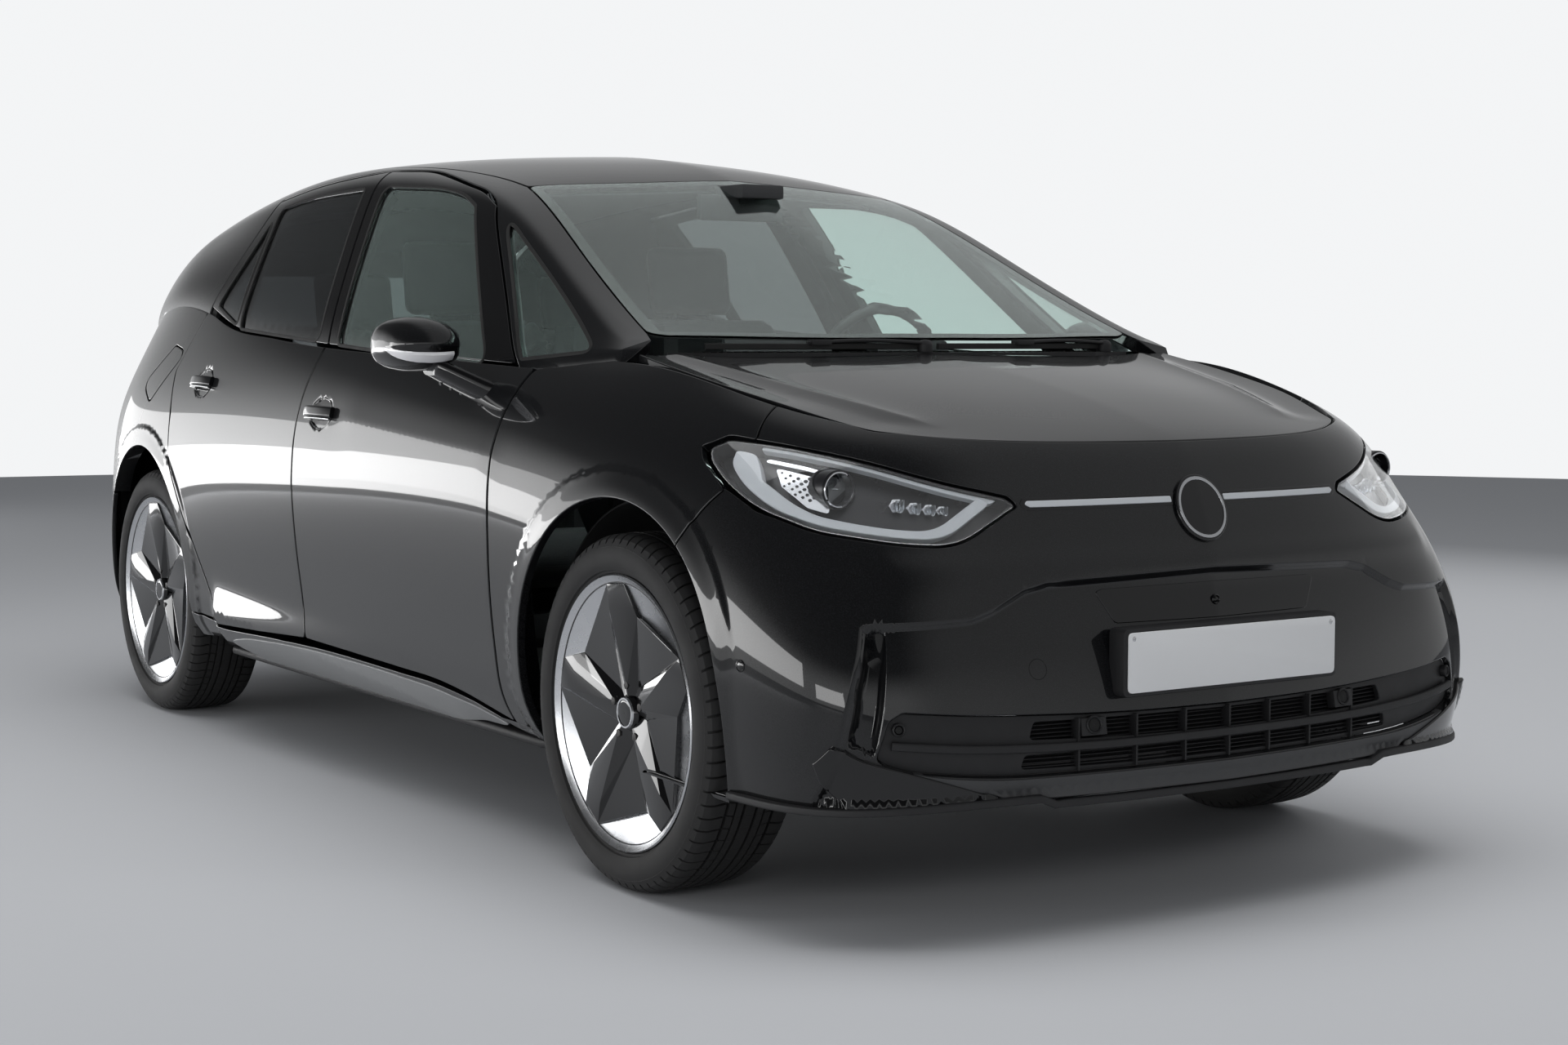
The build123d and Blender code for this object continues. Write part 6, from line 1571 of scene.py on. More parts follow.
def from_side_to_side(points):
    """A run across the nose from its left-hand half, which ends on the centre, and its normals."""
    run = nose_skin.find(points, "yz")
    run = np.vstack([run, nose_skin.other_side(run)[::-1][1:]])
    return run, nose_skin.plain_normal(run)


def make_nose_details():
    mouth = across(nose_skin, MOUTH, 14, 9, 14)
    holes = [across(nose_skin, points, 8, 9, 16)
             for points in ([(0, 396), (200, 397), (437, 398), (450, 366), (200, 359), (0, 358)],
                            [(0, 340), (200, 341), (458, 335), (466, 307), (200, 303), (0, 302)])]
    surround = panel(nose_skin, mouth, holes, gap=0.5, depth=12, thick=10, radius=2.5, cell=13)
    settle(surround.build("intake_surround", M["trim"]), "body_shell", ("front_grille",))
    settle(panel(nose_skin, mouth, gap=2, depth=52, thick=6, cell=24).build("intake_back", M["dark"]),
           "body_shell", ())
    bar, n = from_side_to_side(rounded([(712, 368), (560, 354), (349, 348), (0, 349)], 20, 12, False, 60))
    settle(sweep(nose_skin.base(bar) - n * 0.020, n, round_section(15, 12, 4)).build("intake_bar", M["trim"]),
           "body_shell", ())
    slat, n = from_side_to_side([(y, 309) for y in np.linspace(470, 0, 30)])
    bars = sweep(nose_skin.base(slat) - n * 0.036, n, round_section(2.4, 9, 0.8, steps=1)).build(
        "intake_slats", M["trim"])
    repeated(bars, "row_of_copies", Count=13, Seed=2, Scatter=0.0, Step=(-0.0010, 0, 0.0073))
    settle(bars, "body_shell", ())
    fins = Solid()
    for y in (0, 106, -106, 219, -219, 345, -345):
        x = nose_x(y, 330)
        fins.box((x - 20, y, 349), (22, 4.5, 96))
    settle(fins.build("intake_fins", M["trim"], bevel=1.4), "body_shell", ())
    eyes = Solid()
    for y, z, r in ((317, 386, 17), (699, 397, 12)):
        uv = nose_skin.find([(y, z)], "yz")
        at = standing(nose_skin.base(uv)[0] * PER_METRE, nose_skin.plain_normal(uv)[0])
        if r > 15:
            eyes.prism([(-27, -19), (27, -19), (27, 13), (-27, 13)], at, -34, -15)
        eyes.lathe([(-24, r), (-13, r), (-11, r - 2), (-13, r - 4), (-24, r - 4)], at, 28)
        eyes.lathe([(-24, r - 5), (-24, 0.4), (-13, 0.4), (-13.6, r - 6), (-16, r - 5)], at, 28, 1)
    pair(eyes, "intake_sensors", [M["trim"], M["dark"]], BODY, slot="trim_black", bevel=0.6, merge=False)
    chin = [(0, 291), (514, 293.5), (640, 308), (724, 330), (738, 336), (640, 300), (489, 257.5), (0, 256)]
    settle(panel(nose_skin, across(nose_skin, chin, 4, 9, 10), depth=-5, thick=16, radius=2, cell=11).build(
        "chin_strip", M["chin"]), "body_shell", ())
    blade = on_nose([(814, 338), (797, 370), (788, 364), (762, 346), (737, 337), (620, 300), (500, 259),
                     (560, 252), (700, 250), (766, 252), (800, 292)], -10, 20, 3.5, 9, soft=16, corner=5)
    pair(blade, "corner_blade", M["gloss"], BODY, slot="gloss_black")
    lip = level(nose_skin, 0.03, 1722, 2100, 60)
    edge = nose_skin.find([(y, 252) for y in np.linspace(400, 0, 20)], "yz")
    line = nose_skin.base(lip[lip[:, 0].argsort()[::-1]])
    line = line[line[:, 1] > 0.41]
    line = np.vstack([line, nose_skin.base(edge)]) - (0, 0, 0.005)
    line = np.vstack([line, (line * (1, -1, 1))[::-1][1:]])
    y = line[:, 1]
    n = unit(np.stack([np.ones(len(line)), np.sign(y) * np.clip(np.abs(y) / 0.9, 0, 1), 0 * y], 1))
    settle(sweep(line - n * 0.006, n, round_section(15, 18, 4)).build("splitter_lip", M["trim"]),
           "body_shell", ())
    cover = [(0, 627), (262, 625), (277, 620), (243, 562), (0, 560)]
    cover = panel(nose_skin, across(nose_skin, cover, 9, 8, 12), depth=-1.6, thick=4, radius=1.8, cell=12)
    settle(cover.build("radar_cover", M["gloss"]), "body_shell", ())
    button = Solid()
    x = nose_x(0, 590)
    at = lambda a, b, c: (x + c, a, 590 + b)
    button.lathe([(-6, 10), (3, 10), (5, 8), (3.4, 6), (-6, 6)], at, 28)
    button.lathe([(-6, 6), (-6, 0.4), (5.5, 0.4), (4.4, 4), (2.6, 6)], at, 24)
    settle(button.build("nose_camera", M["gloss"]), "body_shell", ())
    ring = [(a + 424, 491 + b) for a, b in ring_of(19, 19, 30)]
    hole = [(a + 424, 491 + b) for a, b in ring_of(17.6, 17.6, 30)]
    cap = panel(nose_skin, loop_on(nose_skin, ring, "yz", 2, 4), [loop_on(nose_skin, hole, "yz", 2, 4)],
                depth=-0.5, thick=2, radius=0.5, cell=10)
    settle(cap.mirrored().build("towing_eye_cap", M["dark"]), "body_shell", ())
    uv = side_skin.find([(1780, 494)], "xz")
    at = standing(side_skin.shape(uv)[0] * PER_METRE, side_skin.normal(uv)[0])
    parking = Solid()
    parking.lathe([(-3, 11.5), (0.8, 11.5), (1.4, 10), (0.8, 9), (-3, 9)], at, 30)
    parking.lathe([(-3, 8.4), (-3, 0.4), (1.2, 0.4), (1, 7.4), (0.6, 8.4)], at, 26)
    pair(parking, "side_sensor", M["gloss"], BODY, slot="gloss_black")


def make_plates():
    for name, x, z, way in (("front", 2118.0, 493.0, 1), ("rear", -2128.0, 575.0, -1)):
        at = lambda a, b, c: (x + way * c, a, z + b)
        plate = Solid()
        plate.prism(rounded([(-260, -55), (260, -55), (260, 55), (-260, 55)], 9, 12, True, 10), at, 0.4, 3.8)
        settle(plate.build(f"{name}_plate", M["plate"], bevel=0.8), "body_shell",
               ("number_plates",) if way > 0 else ())
        holder = Solid()
        outline = rounded([(-268, -62), (268, -62), (268, 62), (-268, 62)], 10, 14, True, 10)
        holder.prism(outline, at, -42 if way > 0 else -26, -0.4)
        settle(holder.build(f"{name}_plate_holder", M["trim"], bevel=2.0), "body_shell", ())
        screw = Solid()
        spot = lambda a, b, c: (x + way * c, -248 + a, z + 44 + b)
        screw.lathe([(3, 4.6), (3, 0.4), (4.6, 0.4), (4.5, 3), (3.9, 4.6)], spot, 20)
        screw = screw.build(f"{name}_plate_screws", M["chrome"])
        repeated(screw, "row_of_copies", Count=2, Seed=4, Scatter=0.0, Step=(0, 0.496, 0))
        settle(screw, "body_shell", ())


# ---- mirrors and handles ------------------------------------------------------------------------
def make_mirrors():
    doors = ("front_left_door", "front_right_door")
    stations = [(873, 22, 14), (876, 44, 30), (884, 66, 42), (904, 88, 53), (930, 101, 61), (955, 106, 64),
                (985, 103, 62), (1006, 95, 55), (1019, 80, 46), (1026, 60, 34), (1029.5, 26, 14)]
    count = 56
    rings, marks = [], []
    for y, a, b in stations:
        lean = (y - 873) / 157
        ring = []
        for k in range(count):
            t = 2 * math.pi * k / count
            c, s = math.cos(t), math.sin(t)
            pull = 0.955 if -0.24 < s < -0.02 and c > -0.7 else 1.0
            half_z = b if s > 0 else b * 0.86
            x = 604 - 26 * lean + a * pull * abs(c) ** 0.86 * math.copysign(1, c)
            z = 1062 + half_z * pull * abs(s) ** 0.92 * math.copysign(1, s)
            ring.append((max(x, 512 - 8 * lean), y, z))
        rings.append(ring)
    for i in range(len(stations) - 1):
        for k in range(count):
            t = 2 * math.pi * (k + 0.5) / count
            c, s = math.cos(t), math.sin(t)
            mark = 0 if s > -0.02 else 1
            if -0.62 < s < -0.22 and c > -0.55 and stations[i][0] > 900:
                mark = 2
            marks.append(mark)
    housing = Solid()
    housing.loft(rings, marks + [0, 1])
    pair(housing, "mirror_housing", [M["paint"], M["gloss"], M["amber"]], doors,
         (("mirror_left",), ("mirror_right",)), "body_paint", angle=40)
    glass = Solid()
    outline = rounded([(890, 1022), (1004, 1026), (1012, 1092), (980, 1110), (905, 1106)], 18, 6, True, 12)
    glass.prism(outline, lambda a, b, c: (507.5 - (a - 890) * 0.05 + c, a, b), -2, 3)
    pair(glass, "mirror_glass", M["reflector"], doors, slot="gloss_black", bevel=0.6)
    arm = Solid()
    rings = []
    for t in np.linspace(0, 1, 7):
        cx, cz = 694 - 62 * t, 962 + 58 * t
        y = 838 + 100 * t
        w, h = 44 - 5 * t, 27 - 6 * t
        rings.append([(cx + a, y, cz + b) for a, b in ring_of(w, h, 28, 3.2)])
    arm.loft(rings)
    pair(arm, "mirror_arm", M["gloss"], doors, slot="gloss_black", angle=50)
    rib = Solid()
    rib.prism(ring_of(24, 2.0, 12, 2.5), lambda a, b, c: (656 + c, 852 + b, 957 + a * 0.5), -8, 3)
    for side, body, sign in (("left", doors[0], 1), ("right", doors[1], -1)):
        o = (rib if sign > 0 else rib.mirrored()).build(f"mirror_arm_ribs_{side}", M["trim"], bevel=0.6)
        repeated(o, "row_of_copies", Count=4, Seed=6, Scatter=0.0, Step=(-0.0105, sign * 0.019, 0.0105))
        settle(o, body, ())


def make_handles():
    for end, (hx, hz) in zip(("front", "rear"), HANDLES):
        doors = (f"{end}_left_door", f"{end}_right_door")
        bowl = [(hx + a, hz + b) for a, b in ring_of(67, 38, 40)]
        pair(panel(side_skin, loop_on(side_skin, bowl, "xz", 2, 5), depth=-0.5, thick=3, radius=0.6, cell=7),
             f"{end}_handle_recess", M["gloss"], doors, slot="gloss_black")
        for name, drop, section, material, reach in (
                ("grip", 3, round_section(27, 15, 6), M["paint"], 78),
                ("strip", -13, round_section(5, 14, 2), M["chrome"], 72)):
            xs = np.linspace(hx - reach, hx + reach, 30)
            uv = side_skin.find([(x, hz + drop) for x in xs], "xz")
            n = side_skin.plain_normal(uv)
            rise = 2.0 + 9.0 * (1 - (np.abs(xs - hx) / reach) ** 2.6)
            line = side_skin.base(uv) + n * (rise - 4)[:, None] * MM
            pair(sweep(line, n, section), f"{end}_handle_{name}", material, doors, slot="body_paint")


# ---- tailgate, tail lamps and charge flap ------------------------------------------------------
def make_tailgate():
    lid = "tailgate_lid"
    lower = across(back_skin, [(0, 1070), (565, 1070), (580, 1000), (594.5, 882), (586, 749.5), (0, 749.5)],
                   10, 9, 12)
    lamp = loop_on(back_skin, [(500, 896), (500, 1042), (300, 1036), (300, 900)], "yz", 10, 7, 14)
    holes = [lamp, back_skin.other_side(lamp)]
    settle(panel(back_skin, lower, holes, thick=22, wall=(1, 0, 0), cell=15,
                 hole_gap=2).build("tailgate_skin", M["paint"]), lid, ("tailgate",))
    for side, loop in (("left", lamp), ("right", back_skin.other_side(lamp))):
        glass = panel(back_skin, loop, thick=14, depth=1, wall=(1, 0, 0), cell=12)
        settle(glass.build(f"hatch_lamp_{side}", M["red"]), lid,
               ("tailgate_lamps",) if side == "left" else ())
    band = across(back_skin, [(0, 1030), (292, 1026), (292, 1000), (0, 1004)], 5, 9, 12)
    settle(panel(back_skin, band, depth=-1, thick=3, radius=1.2, cell=14).build(
        "hatch_band", M["gloss"]), lid, ())
    upper = across(hatch_skin, [(0, 1374), (470, 1370), (481, 1300), (530, 1100), (541, 1056), (0, 1056)],
                   12, 10, 12)
    window = across(hatch_skin, [(0, 1300), (440, 1300), (478, 1130), (0, 1130)], 22, 10, 12)
    settle(panel(hatch_skin, upper, [window], depth=26.5, thick=22, cell=18).build(
        "hatch_frame", M["gloss"]), lid, ())
    settle(panel(hatch_skin, window, gap=-8, depth=32, thick=4, radius=0.6, cell=30).build(
        "hatch_glass", M["privacy"]), lid, ("tailgate_glass",))
    wing = chain(hatch_skin.find([(-1504, y) for y in np.linspace(0, 478, 40)], "xy"),
                 hatch_skin.find(rounded([(482, 1463), (491, 1430), (493, 1345)], 10, 9, False, 12), "yz"),
                 hatch_skin.find([(y, 1343) for y in np.linspace(484, 0, 40)], "yz"))
    settle(panel(hatch_skin, over_both(hatch_skin, wing), thick=25, radius=4, cell=16).build(
        "roof_spoiler", M["roof"]), lid, ("rear_spoiler",))
    stop = Solid()
    stop.box((-1880, 0, 1322), (10, 300, 12))
    settle(stop.build("high_brake_lamp", M["red"], bevel=2), lid, ())
    outline = chain(tail_skin.find([(602, 890), (640, 891), (690, 891)], "yz"),
                    line_on(side_skin, TAIL_LAMP_EDGE, "xz", 9, 20),
                    tail_skin.find([(700, 1045), (640, 1045), (583, 1046), (592, 980), (600, 920)], "yz"))
    pair(panel(tail_skin, outline, gap=2.0, thick=16, cell=12), "tail_lamp", M["red"], BODY,
         (("tail_lamps",), ()), "lamp_red")


def make_charge_flap():
    flap = loop_on(side_skin, CHARGE_FLAP, "xz", 30, 7, 10)
    lid = panel(side_skin, flap, gap=0.3, thick=11.5, cell=12).mirrored()
    settle(lid.build("charge_flap_skin", M["paint"]), "charge_flap_lid", ("charge_flap",))
    pocket = panel(side_skin, flap, gap=-14, thick=4, depth=44, radius=1, cell=20)
    settle(pocket.mirrored().build("charge_pocket", M["dark"]), "body_shell", ())
    uv = side_skin.find([(-1394, 985)], "xz")
    at = standing(side_skin.base(uv)[0] * PER_METRE, side_skin.plain_normal(uv)[0])
    socket = Solid()
    socket.lathe([(-46, 34), (-30, 34), (-27, 31), (-27, 29), (-36, 27), (-46, 27)], at, 36)
    socket.lathe([(-46, 24), (-46, 0.4), (-32, 0.4), (-31, 20), (-33, 24)], at, 36)
    for a, b in ((0, 12), (-10, 5), (10, 5), (-7, -8), (7, -8)):
        spot = lambda u, v, w, a=a, b=b: at(u + a, v + b, w)
        socket.lathe([(-33, 3.4), (-33, 0.4), (-29, 0.4), (-29, 2.6), (-30, 3.4)], spot, 14)
    settle(socket.mirrored().build("charge_socket", M["trim"]), "body_shell", ())


# ---- sills, cowl and wipers --------------------------------------------------------------------
def make_sills():
    insert = loop_on(side_skin, [(-800, 282), (-640, 303), (-283, 319), (200, 309), (520, 293), (790, 246),
                                 (582, 238), (-631, 245)], "xz", 8, 9, 10)
    pair(panel(side_skin, insert, depth=-3, thick=9, radius=2.5, cell=14), "sill_insert", M["sill"], BODY,
         slot="trim_black")
    blade = Solid()
    rings = []
    for x in (-976, -968, -950, -700, -300, 100, 500, 880, 930, 944, 948):
        ends = min(1.0, (x + 976) / 26 + 0.25, (948 - x) / 68 + 0.25)
        wide, high = 38 * (0.55 + 0.45 * ends), 12.6 * ends
        rings.append([(x, 773 + a - (38 - wide), 224 + b) for a, b in ring_of(wide, high, 20, 4)])
    blade.loft(rings)
    pair(blade, "sill_blade", M["trim"], BODY, (("side_skirts",), ()), "trim_black", angle=40)


def make_wipers():
    def spot(y):
        return float(np.interp(abs(y), [0, 235, 300, 480, 560], [1168, 1160, 1155, 1131, 1108]))
    up = np.array([[0, 0, 1.0]])
    parts = [Shell(), Shell()]
    for pivot, far in ((-20, -540), (530, 20)):
        ys = np.linspace(pivot, far, 24)
        line = np.array([(spot(y), y, 1055) for y in ys]) * MM
        parts[0].join(sweep(line, np.repeat(up, 24, 0), round_section(9, 13, 2)))
        arm_ys = np.linspace(pivot, pivot + (far - pivot) * 0.56, 14)
        arm = np.array([(spot(y) + 9 - 8 * t, y, 1064 + 6 * math.sin(math.pi * t))
                        for t, y in zip(np.linspace(0, 1, 14), arm_ys)]) * MM
        parts[1].join(sweep(arm, np.repeat(up, 14, 0), round_section(15, 8, 3)))
    settle(parts[0].build("wiper_blades", M["rubber"]), "body_shell", ("wipers",))
    settle(parts[1].build("wiper_arms", M["trim"]), "body_shell", ())
    caps = Solid()
    for y in (-20, 530):
        at = lambda a, b, c, y=y: (spot(y) + 9 + a, y + b, c)
        caps.lathe([(1048, 17), (1048, 0.4), (1076, 0.4), (1075, 9), (1071, 14), (1066, 17)], at, 24)
    for y in (-284, 262):
        caps.box((spot(y) + 3, y, 1070), (26, 46, 12))
    settle(caps.build("wiper_pivots", M["trim"], bevel=1.5, merge=False), "body_shell", ())
    louvre = Solid()
    louvre.box((1120, -560, 1049.5), (30, 3, 3))
    louvre = louvre.build("cowl_louvres", M["dark"])
    repeated(louvre, "row_of_copies", Count=58, Seed=8, Scatter=0.0, Step=(0, 0.0193, 0))
    settle(louvre, "body_shell", ())


# ---- cabin -------------------------------------------------------------------------------------
def make_trim_panels():
    posts = Solid()
    middle = [(-300, 240), (-190, 240), (-170, 1108), (-280, 1108)]
    front = [(852, 250), (900, 250), (900, 1000), (852, 1000)]
    for outline in (middle, front):
        posts.loft([[(x, side_skin.width_at(min(x, 880), z) - 112 - d, z) for x, z in outline]
                    for d in (0, 46)])
    pair(posts, "door_post", M["cabin"], BODY, slot="cabin_plastic", bevel=6, merge=False)
    shape = [(-250, 1092), (-345, 1488), (-425, 1488), (-330, 1092)]
    loop = loop_on(upper_skin, shape, "xz", 8, 9, 14)
    pair(panel(upper_skin, loop, depth=42, thick=26, radius=6, cell=16), "upper_post_trim", M["cabin"], BODY,
         slot="cabin_plastic")
    for end, outline, low_x, high_x in (
            ("front", [(800, 345), (560, 350), (-215, 372), (-238, 720), (-190, 1040), (820, 1002)],
             -60, 640),
            ("rear", [(-290, 372), (-780, 362), (-1010, 600), (-1165, 800), (-1200, 1000), (-1120, 1075),
                      (-240, 1050)], -860, -330)):
        doors = (f"{end}_left_door", f"{end}_right_door")
        card = panel(side_skin, loop_on(side_skin, outline, "xz", 30, 12, 14), gap=6, thick=13, depth=93,
                     radius=5, cell=30, wall=(0, -1, 0))
        pair(card, f"{end}_door_card", M["cabin"], doors, slot="cabin_plastic")
        rest = Solid()
        rings = []
        for t in np.linspace(0, 1, 7):
            x = low_x + (high_x - low_x) * t
            grow = 0.35 + 0.65 * min(1, 5 * t, 5 * (1 - t))
            rings.append([(x, 700 + a * grow, 742 + 18 * t + b * grow) for a, b in ring_of(34, 24, 20, 3)])
        rest.loft(rings)
        pair(rest, f"{end}_armrest", M["leather"], doors, slot="cabin_plastic", angle=40)
    lining = across(crown_skin, [(330, 0), (316, 290), (250, 498), (60, 512), (-300, 522), (-900, 514),
                                 (-1300, 486), (-1440, 468), (-1440, 0)], 20, 14, 20, "xy")
    lining = panel(crown_skin, lining, depth=34, thick=5, radius=1.5, cell=40)
    settle(lining.build("headliner", M["headliner"]), "body_shell", ())
    shelf = Solid()
    outline = rounded([(-1200, -500), (-1200, 500), (-1620, 470), (-1620, -470)], 30, 30, True, 10)
    shelf.prism(outline, lambda a, b, c: (a, b, c), 1030, 1044)
    settle(shelf.build("parcel_shelf", M["cloth"], bevel=4), "body_shell", ())


def make_dashboard():
    profile = [(872, 602), (872, 990), (850, 1008), (760, 1019), (690, 1012), (646, 990), (622, 950),
               (604, 902), (612, 870), (648, 840), (690, 702), (760, 620)]
    dash = Solid()
    rings = []
    for y in (-614, -606, -560, -400, -200, 0, 200, 400, 560, 606, 614):
        pull = 1.0 if abs(y) < 600 else 0.985
        rings.append([(740 + (x - 740) * pull, y, 820 + (z - 820) * pull) for x, z in profile])
    dash.loft(rings)
    settle(dash.build("dashboard_body", M["cabin"], angle=30), "body_shell", ("dashboard",))
    band = Solid()
    band.prism(rounded([(632, 918), (640, 946), (650, 944), (640, 914)], 3, 6, True, 10),
               lambda a, b, c: (a, c, b), -596, 596)
    settle(band.build("dashboard_band", M["silver"], bevel=1), "body_shell", ())
    vent = Solid()
    vent.box((606, -560, 900), (10, 96, 3))
    vent = vent.build("vent_slats", M["dark"])
    repeated(vent, "row_of_copies", Count=4, Seed=9, Scatter=0.0, Step=(0, 0, 0.009))
    settle(vent, "body_shell", ())
    screens = Solid()
    lean = lambda x, y, z, w, h, t: [[(x + c - 0.28 * b, y + a, z + b) for a, b in
                                      rounded([(-w, -h), (w, -h), (w, h), (-w, h)], 10, 12, True, 10)]
                                     for c in (0, t)]
    screens.loft(lean(566, 0, 1000, 150, 82, 16), 0)
    screens.loft(lean(563, 0, 1000, 144, 76, 4), 1)
    screens.loft(lean(560, 370, 1030, 108, 44, 46), 0)
    screens.loft(lean(557, 370, 1030, 98, 36, 4), 1)
    settle(screens.build("display_pods", [M["cabin"], M["display"]], bevel=2.5, merge=False),
           "body_shell", ())
    tilt = math.radians(24)
    way = np.array([-math.cos(tilt), 0, math.sin(tilt)])
    up = np.array([math.sin(tilt), 0, math.cos(tilt)])
    hub = np.array([420.0, 370.0, 1000.0])
    at = lambda a, b, c: tuple(hub + np.array([0, 1, 0]) * a + up * b + way * c)
    column = Solid()
    column.lathe([(-318, 33), (-318, 4), (-34, 4), (-34, 40), (-60, 46), (-140, 46), (-170, 33)], at, 32)
    settle(column.build("steering_column", M["cabin"]), "body_shell", ())
    stalks = Solid()
    for sign in (-1, 1):
        stalks.loft([[at(sign * (36 + 100 * t), 10 + 16 * t + a, -74 + 8 * t + b)
                      for a, b in ring_of(9 - 3 * t, 6, 14, 3)] for t in (0, 0.1, 0.5, 0.9, 1)])
    settle(stalks.build("column_stalks", M["cabin"], angle=40), "body_shell", ())
    rim = Solid()
    turns = np.linspace(0, 2 * math.pi, 16, endpoint=False)
    ring = [(14.6 * math.sin(t), 167 + 13.4 * math.cos(t)) for t in turns]
    rim.lathe(ring, at, 72)
    settle(rim.build("steering_rim", M["leather"], angle=60), "steering_wheel_rim", ("steering_wheel",))
    centre = Solid()
    pad = rounded([(-70, 34), (70, 34), (76, 0), (44, -58), (-44, -58), (-76, 0)], 20, 8, True, 12)
    centre.loft([[at(a * s, b * s, c) for a, b in pad] for s, c in ((0.9, -26), (1, -18), (1, -4), (0.93, 3),
                                                                    (0.7, 5.4), (0.3, 6.2))], 0)
    for sign in (-1, 1):
        centre.loft([[at(sign * (66 + 94 * t), a - 8, -10 + b) for a, b in ring_of(19 - 5 * t, 8, 16, 3)]
                     for t in (0, 0.5, 1)], 1)
    centre.loft([[at(a, -50 - 104 * t, -10 + b) for a, b in ring_of(20 - 4 * t, 7, 16, 3)]
                 for t in (0, 0.5, 1)], 1)
    settle(centre.build("steering_hub", [M["cabin"], M["gloss"]], angle=40, merge=False),
           "steering_wheel_rim", ())
    eye = Solid()
    eye.box((430, 0, 1430), (130, 120, 34))
    eye.box((388, 0, 1392), (22, 236, 62))
    eye.box((400, 0, 1415), (16, 20, 30))
    settle(eye.build("cabin_mirror", M["cabin"], bevel=7, merge=False), "body_shell", ())


def cushion(rings, name, stands=()):
    """A crowned closed form: rings of points from one end to the other, rounded over the ends."""
    form = Solid().loft(rings).build(name, M["cloth"], angle=75)
    settle(form, "body_shell", stands)


def pad_rings(path, half_width, half_thick, y, bolster=0.0, count=36, power=3.2):
    """Rings of a seat pad along a path of (x, z, direction); thicker at the bolsters."""
    rings = []
    p = np.array(path, float)
    t = unit(np.gradient(p, axis=0))
    n = np.stack([-t[:, 1], t[:, 0]], 1)
    for i in range(len(p)):
        s = i / (len(p) - 1)
        end = max(0.28, min(math.sqrt(max(0.0, 1 - (1 - min(1.0, near * 7)) ** 2)) for near in (s, 1 - s)))
        channel = 1 - 0.05 * max(0.0, math.cos(2 * math.pi * s * 5)) ** 8
        ring = []
        for a, b in ring_of(1, 1, count, power):
            side = a * half_width * (0.86 + 0.14 * end)
            edge = abs(a) ** 4 * bolster if b > 0 else 0.0
            dip = (1 - abs(a) ** 2) * 0.10 * half_thick if b > 0 else 0.0
            seam = 4.0 * math.exp(-((abs(a) - 0.62) / 0.03) ** 2) if b > 0 else 0.0
            sewn = channel if abs(a) < 0.6 and b > 0 else 1
            high = b * half_thick * end * sewn + (edge - dip) * end - seam * end
            x, z = p[i] + n[i] * high
            ring.append((x, y + side, z))
        rings.append(ring)
    return rings


def make_seats():
    for side, y in (("left", 370.0), ("right", -370.0)):
        base = [(x, 505 + 0.08 * (x + 330) - 12 * max(0, (x - 60) / 110) ** 2)
                for x in np.linspace(-318, 168, 26)]
        cushion(pad_rings(base, 246, 74, y, 26), f"front_cushion_{side}",
                ("front_seats",) if side == "left" else ())
        back = [(-262 - 176 * s - 14 * math.sin(math.pi * s), 560 + 562 * s) for s in np.linspace(0, 1, 28)]
        cushion([r[::-1] for r in pad_rings(back, 240, -58, y, -34)], f"front_backrest_{side}")
        head = [(-462 - 28 * s, 1142 + 190 * s) for s in np.linspace(0, 1, 16)]
        cushion(pad_rings(head, 126, 44, y, 0, 28, 2.6), f"front_headrest_{side}")
        frame_part = Solid()
        for dy in (-56, 56):
            frame_part.lathe([(1095, 6), (1095, 0.3), (1200, 0.3), (1200, 6)],
                             lambda a, b, o, dy=dy: (-455 - 0.12 * (o - 1095) + a, y + dy + b, o), 12)
        frame_part.box((-90, y, 372), (440, 400, 60))
        frame_part.box((-90, y - 251, 430), (380, 20, 90))
        frame_part.box((-90, y + 251, 430), (380, 20, 90))
        settle(frame_part.build(f"front_seat_base_{side}", M["cabin"], bevel=5, merge=False),
               "body_shell", ())
    bench = [(x, 520 + 0.09 * (x + 960)) for x in np.linspace(-960, -572, 22)]
    cushion(pad_rings(bench, 556, 80, 0, 10, 60, 6), "rear_cushion", ("rear_bench",))
    back = [(-975 - 148 * s, 580 + 520 * s) for s in np.linspace(0, 1, 24)]
    cushion([r[::-1] for r in pad_rings(back, 552, -48, 0, -8, 60, 6)], "rear_backrest")
    for k, y in enumerate((-360.0, 0.0, 360.0)):
        head = [(-1118 - 32 * s, 1104 + 158 * s) for s in np.linspace(0, 1, 14)]
        cushion(pad_rings(head, 116, 36, y, 0, 28, 2.6), f"rear_headrest_{k + 1}")


CARRIED = {"floor_pan": "floor", "battery_pack": "unit", "drive_unit": "unit", "front_suspension": "iron",
           "rear_suspension": "iron", "knuckle_left": "iron", "knuckle_right": "iron",
           "wheel_arch_liners": "dark", "cowl_panel": "trim", "fixed_glass": "screen"}


def finish_frame():
    """A finish for every CAD node, shown or hidden."""
    for o in bpy.data.objects:
        if "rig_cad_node" in o:
            o.data.materials.clear()
            o.data.materials.append(M[CARRIED.get(o.name, "trim")])


# ---- studio ---------------------------------------------------------------------------------
FLOOR_RADIUS = 14


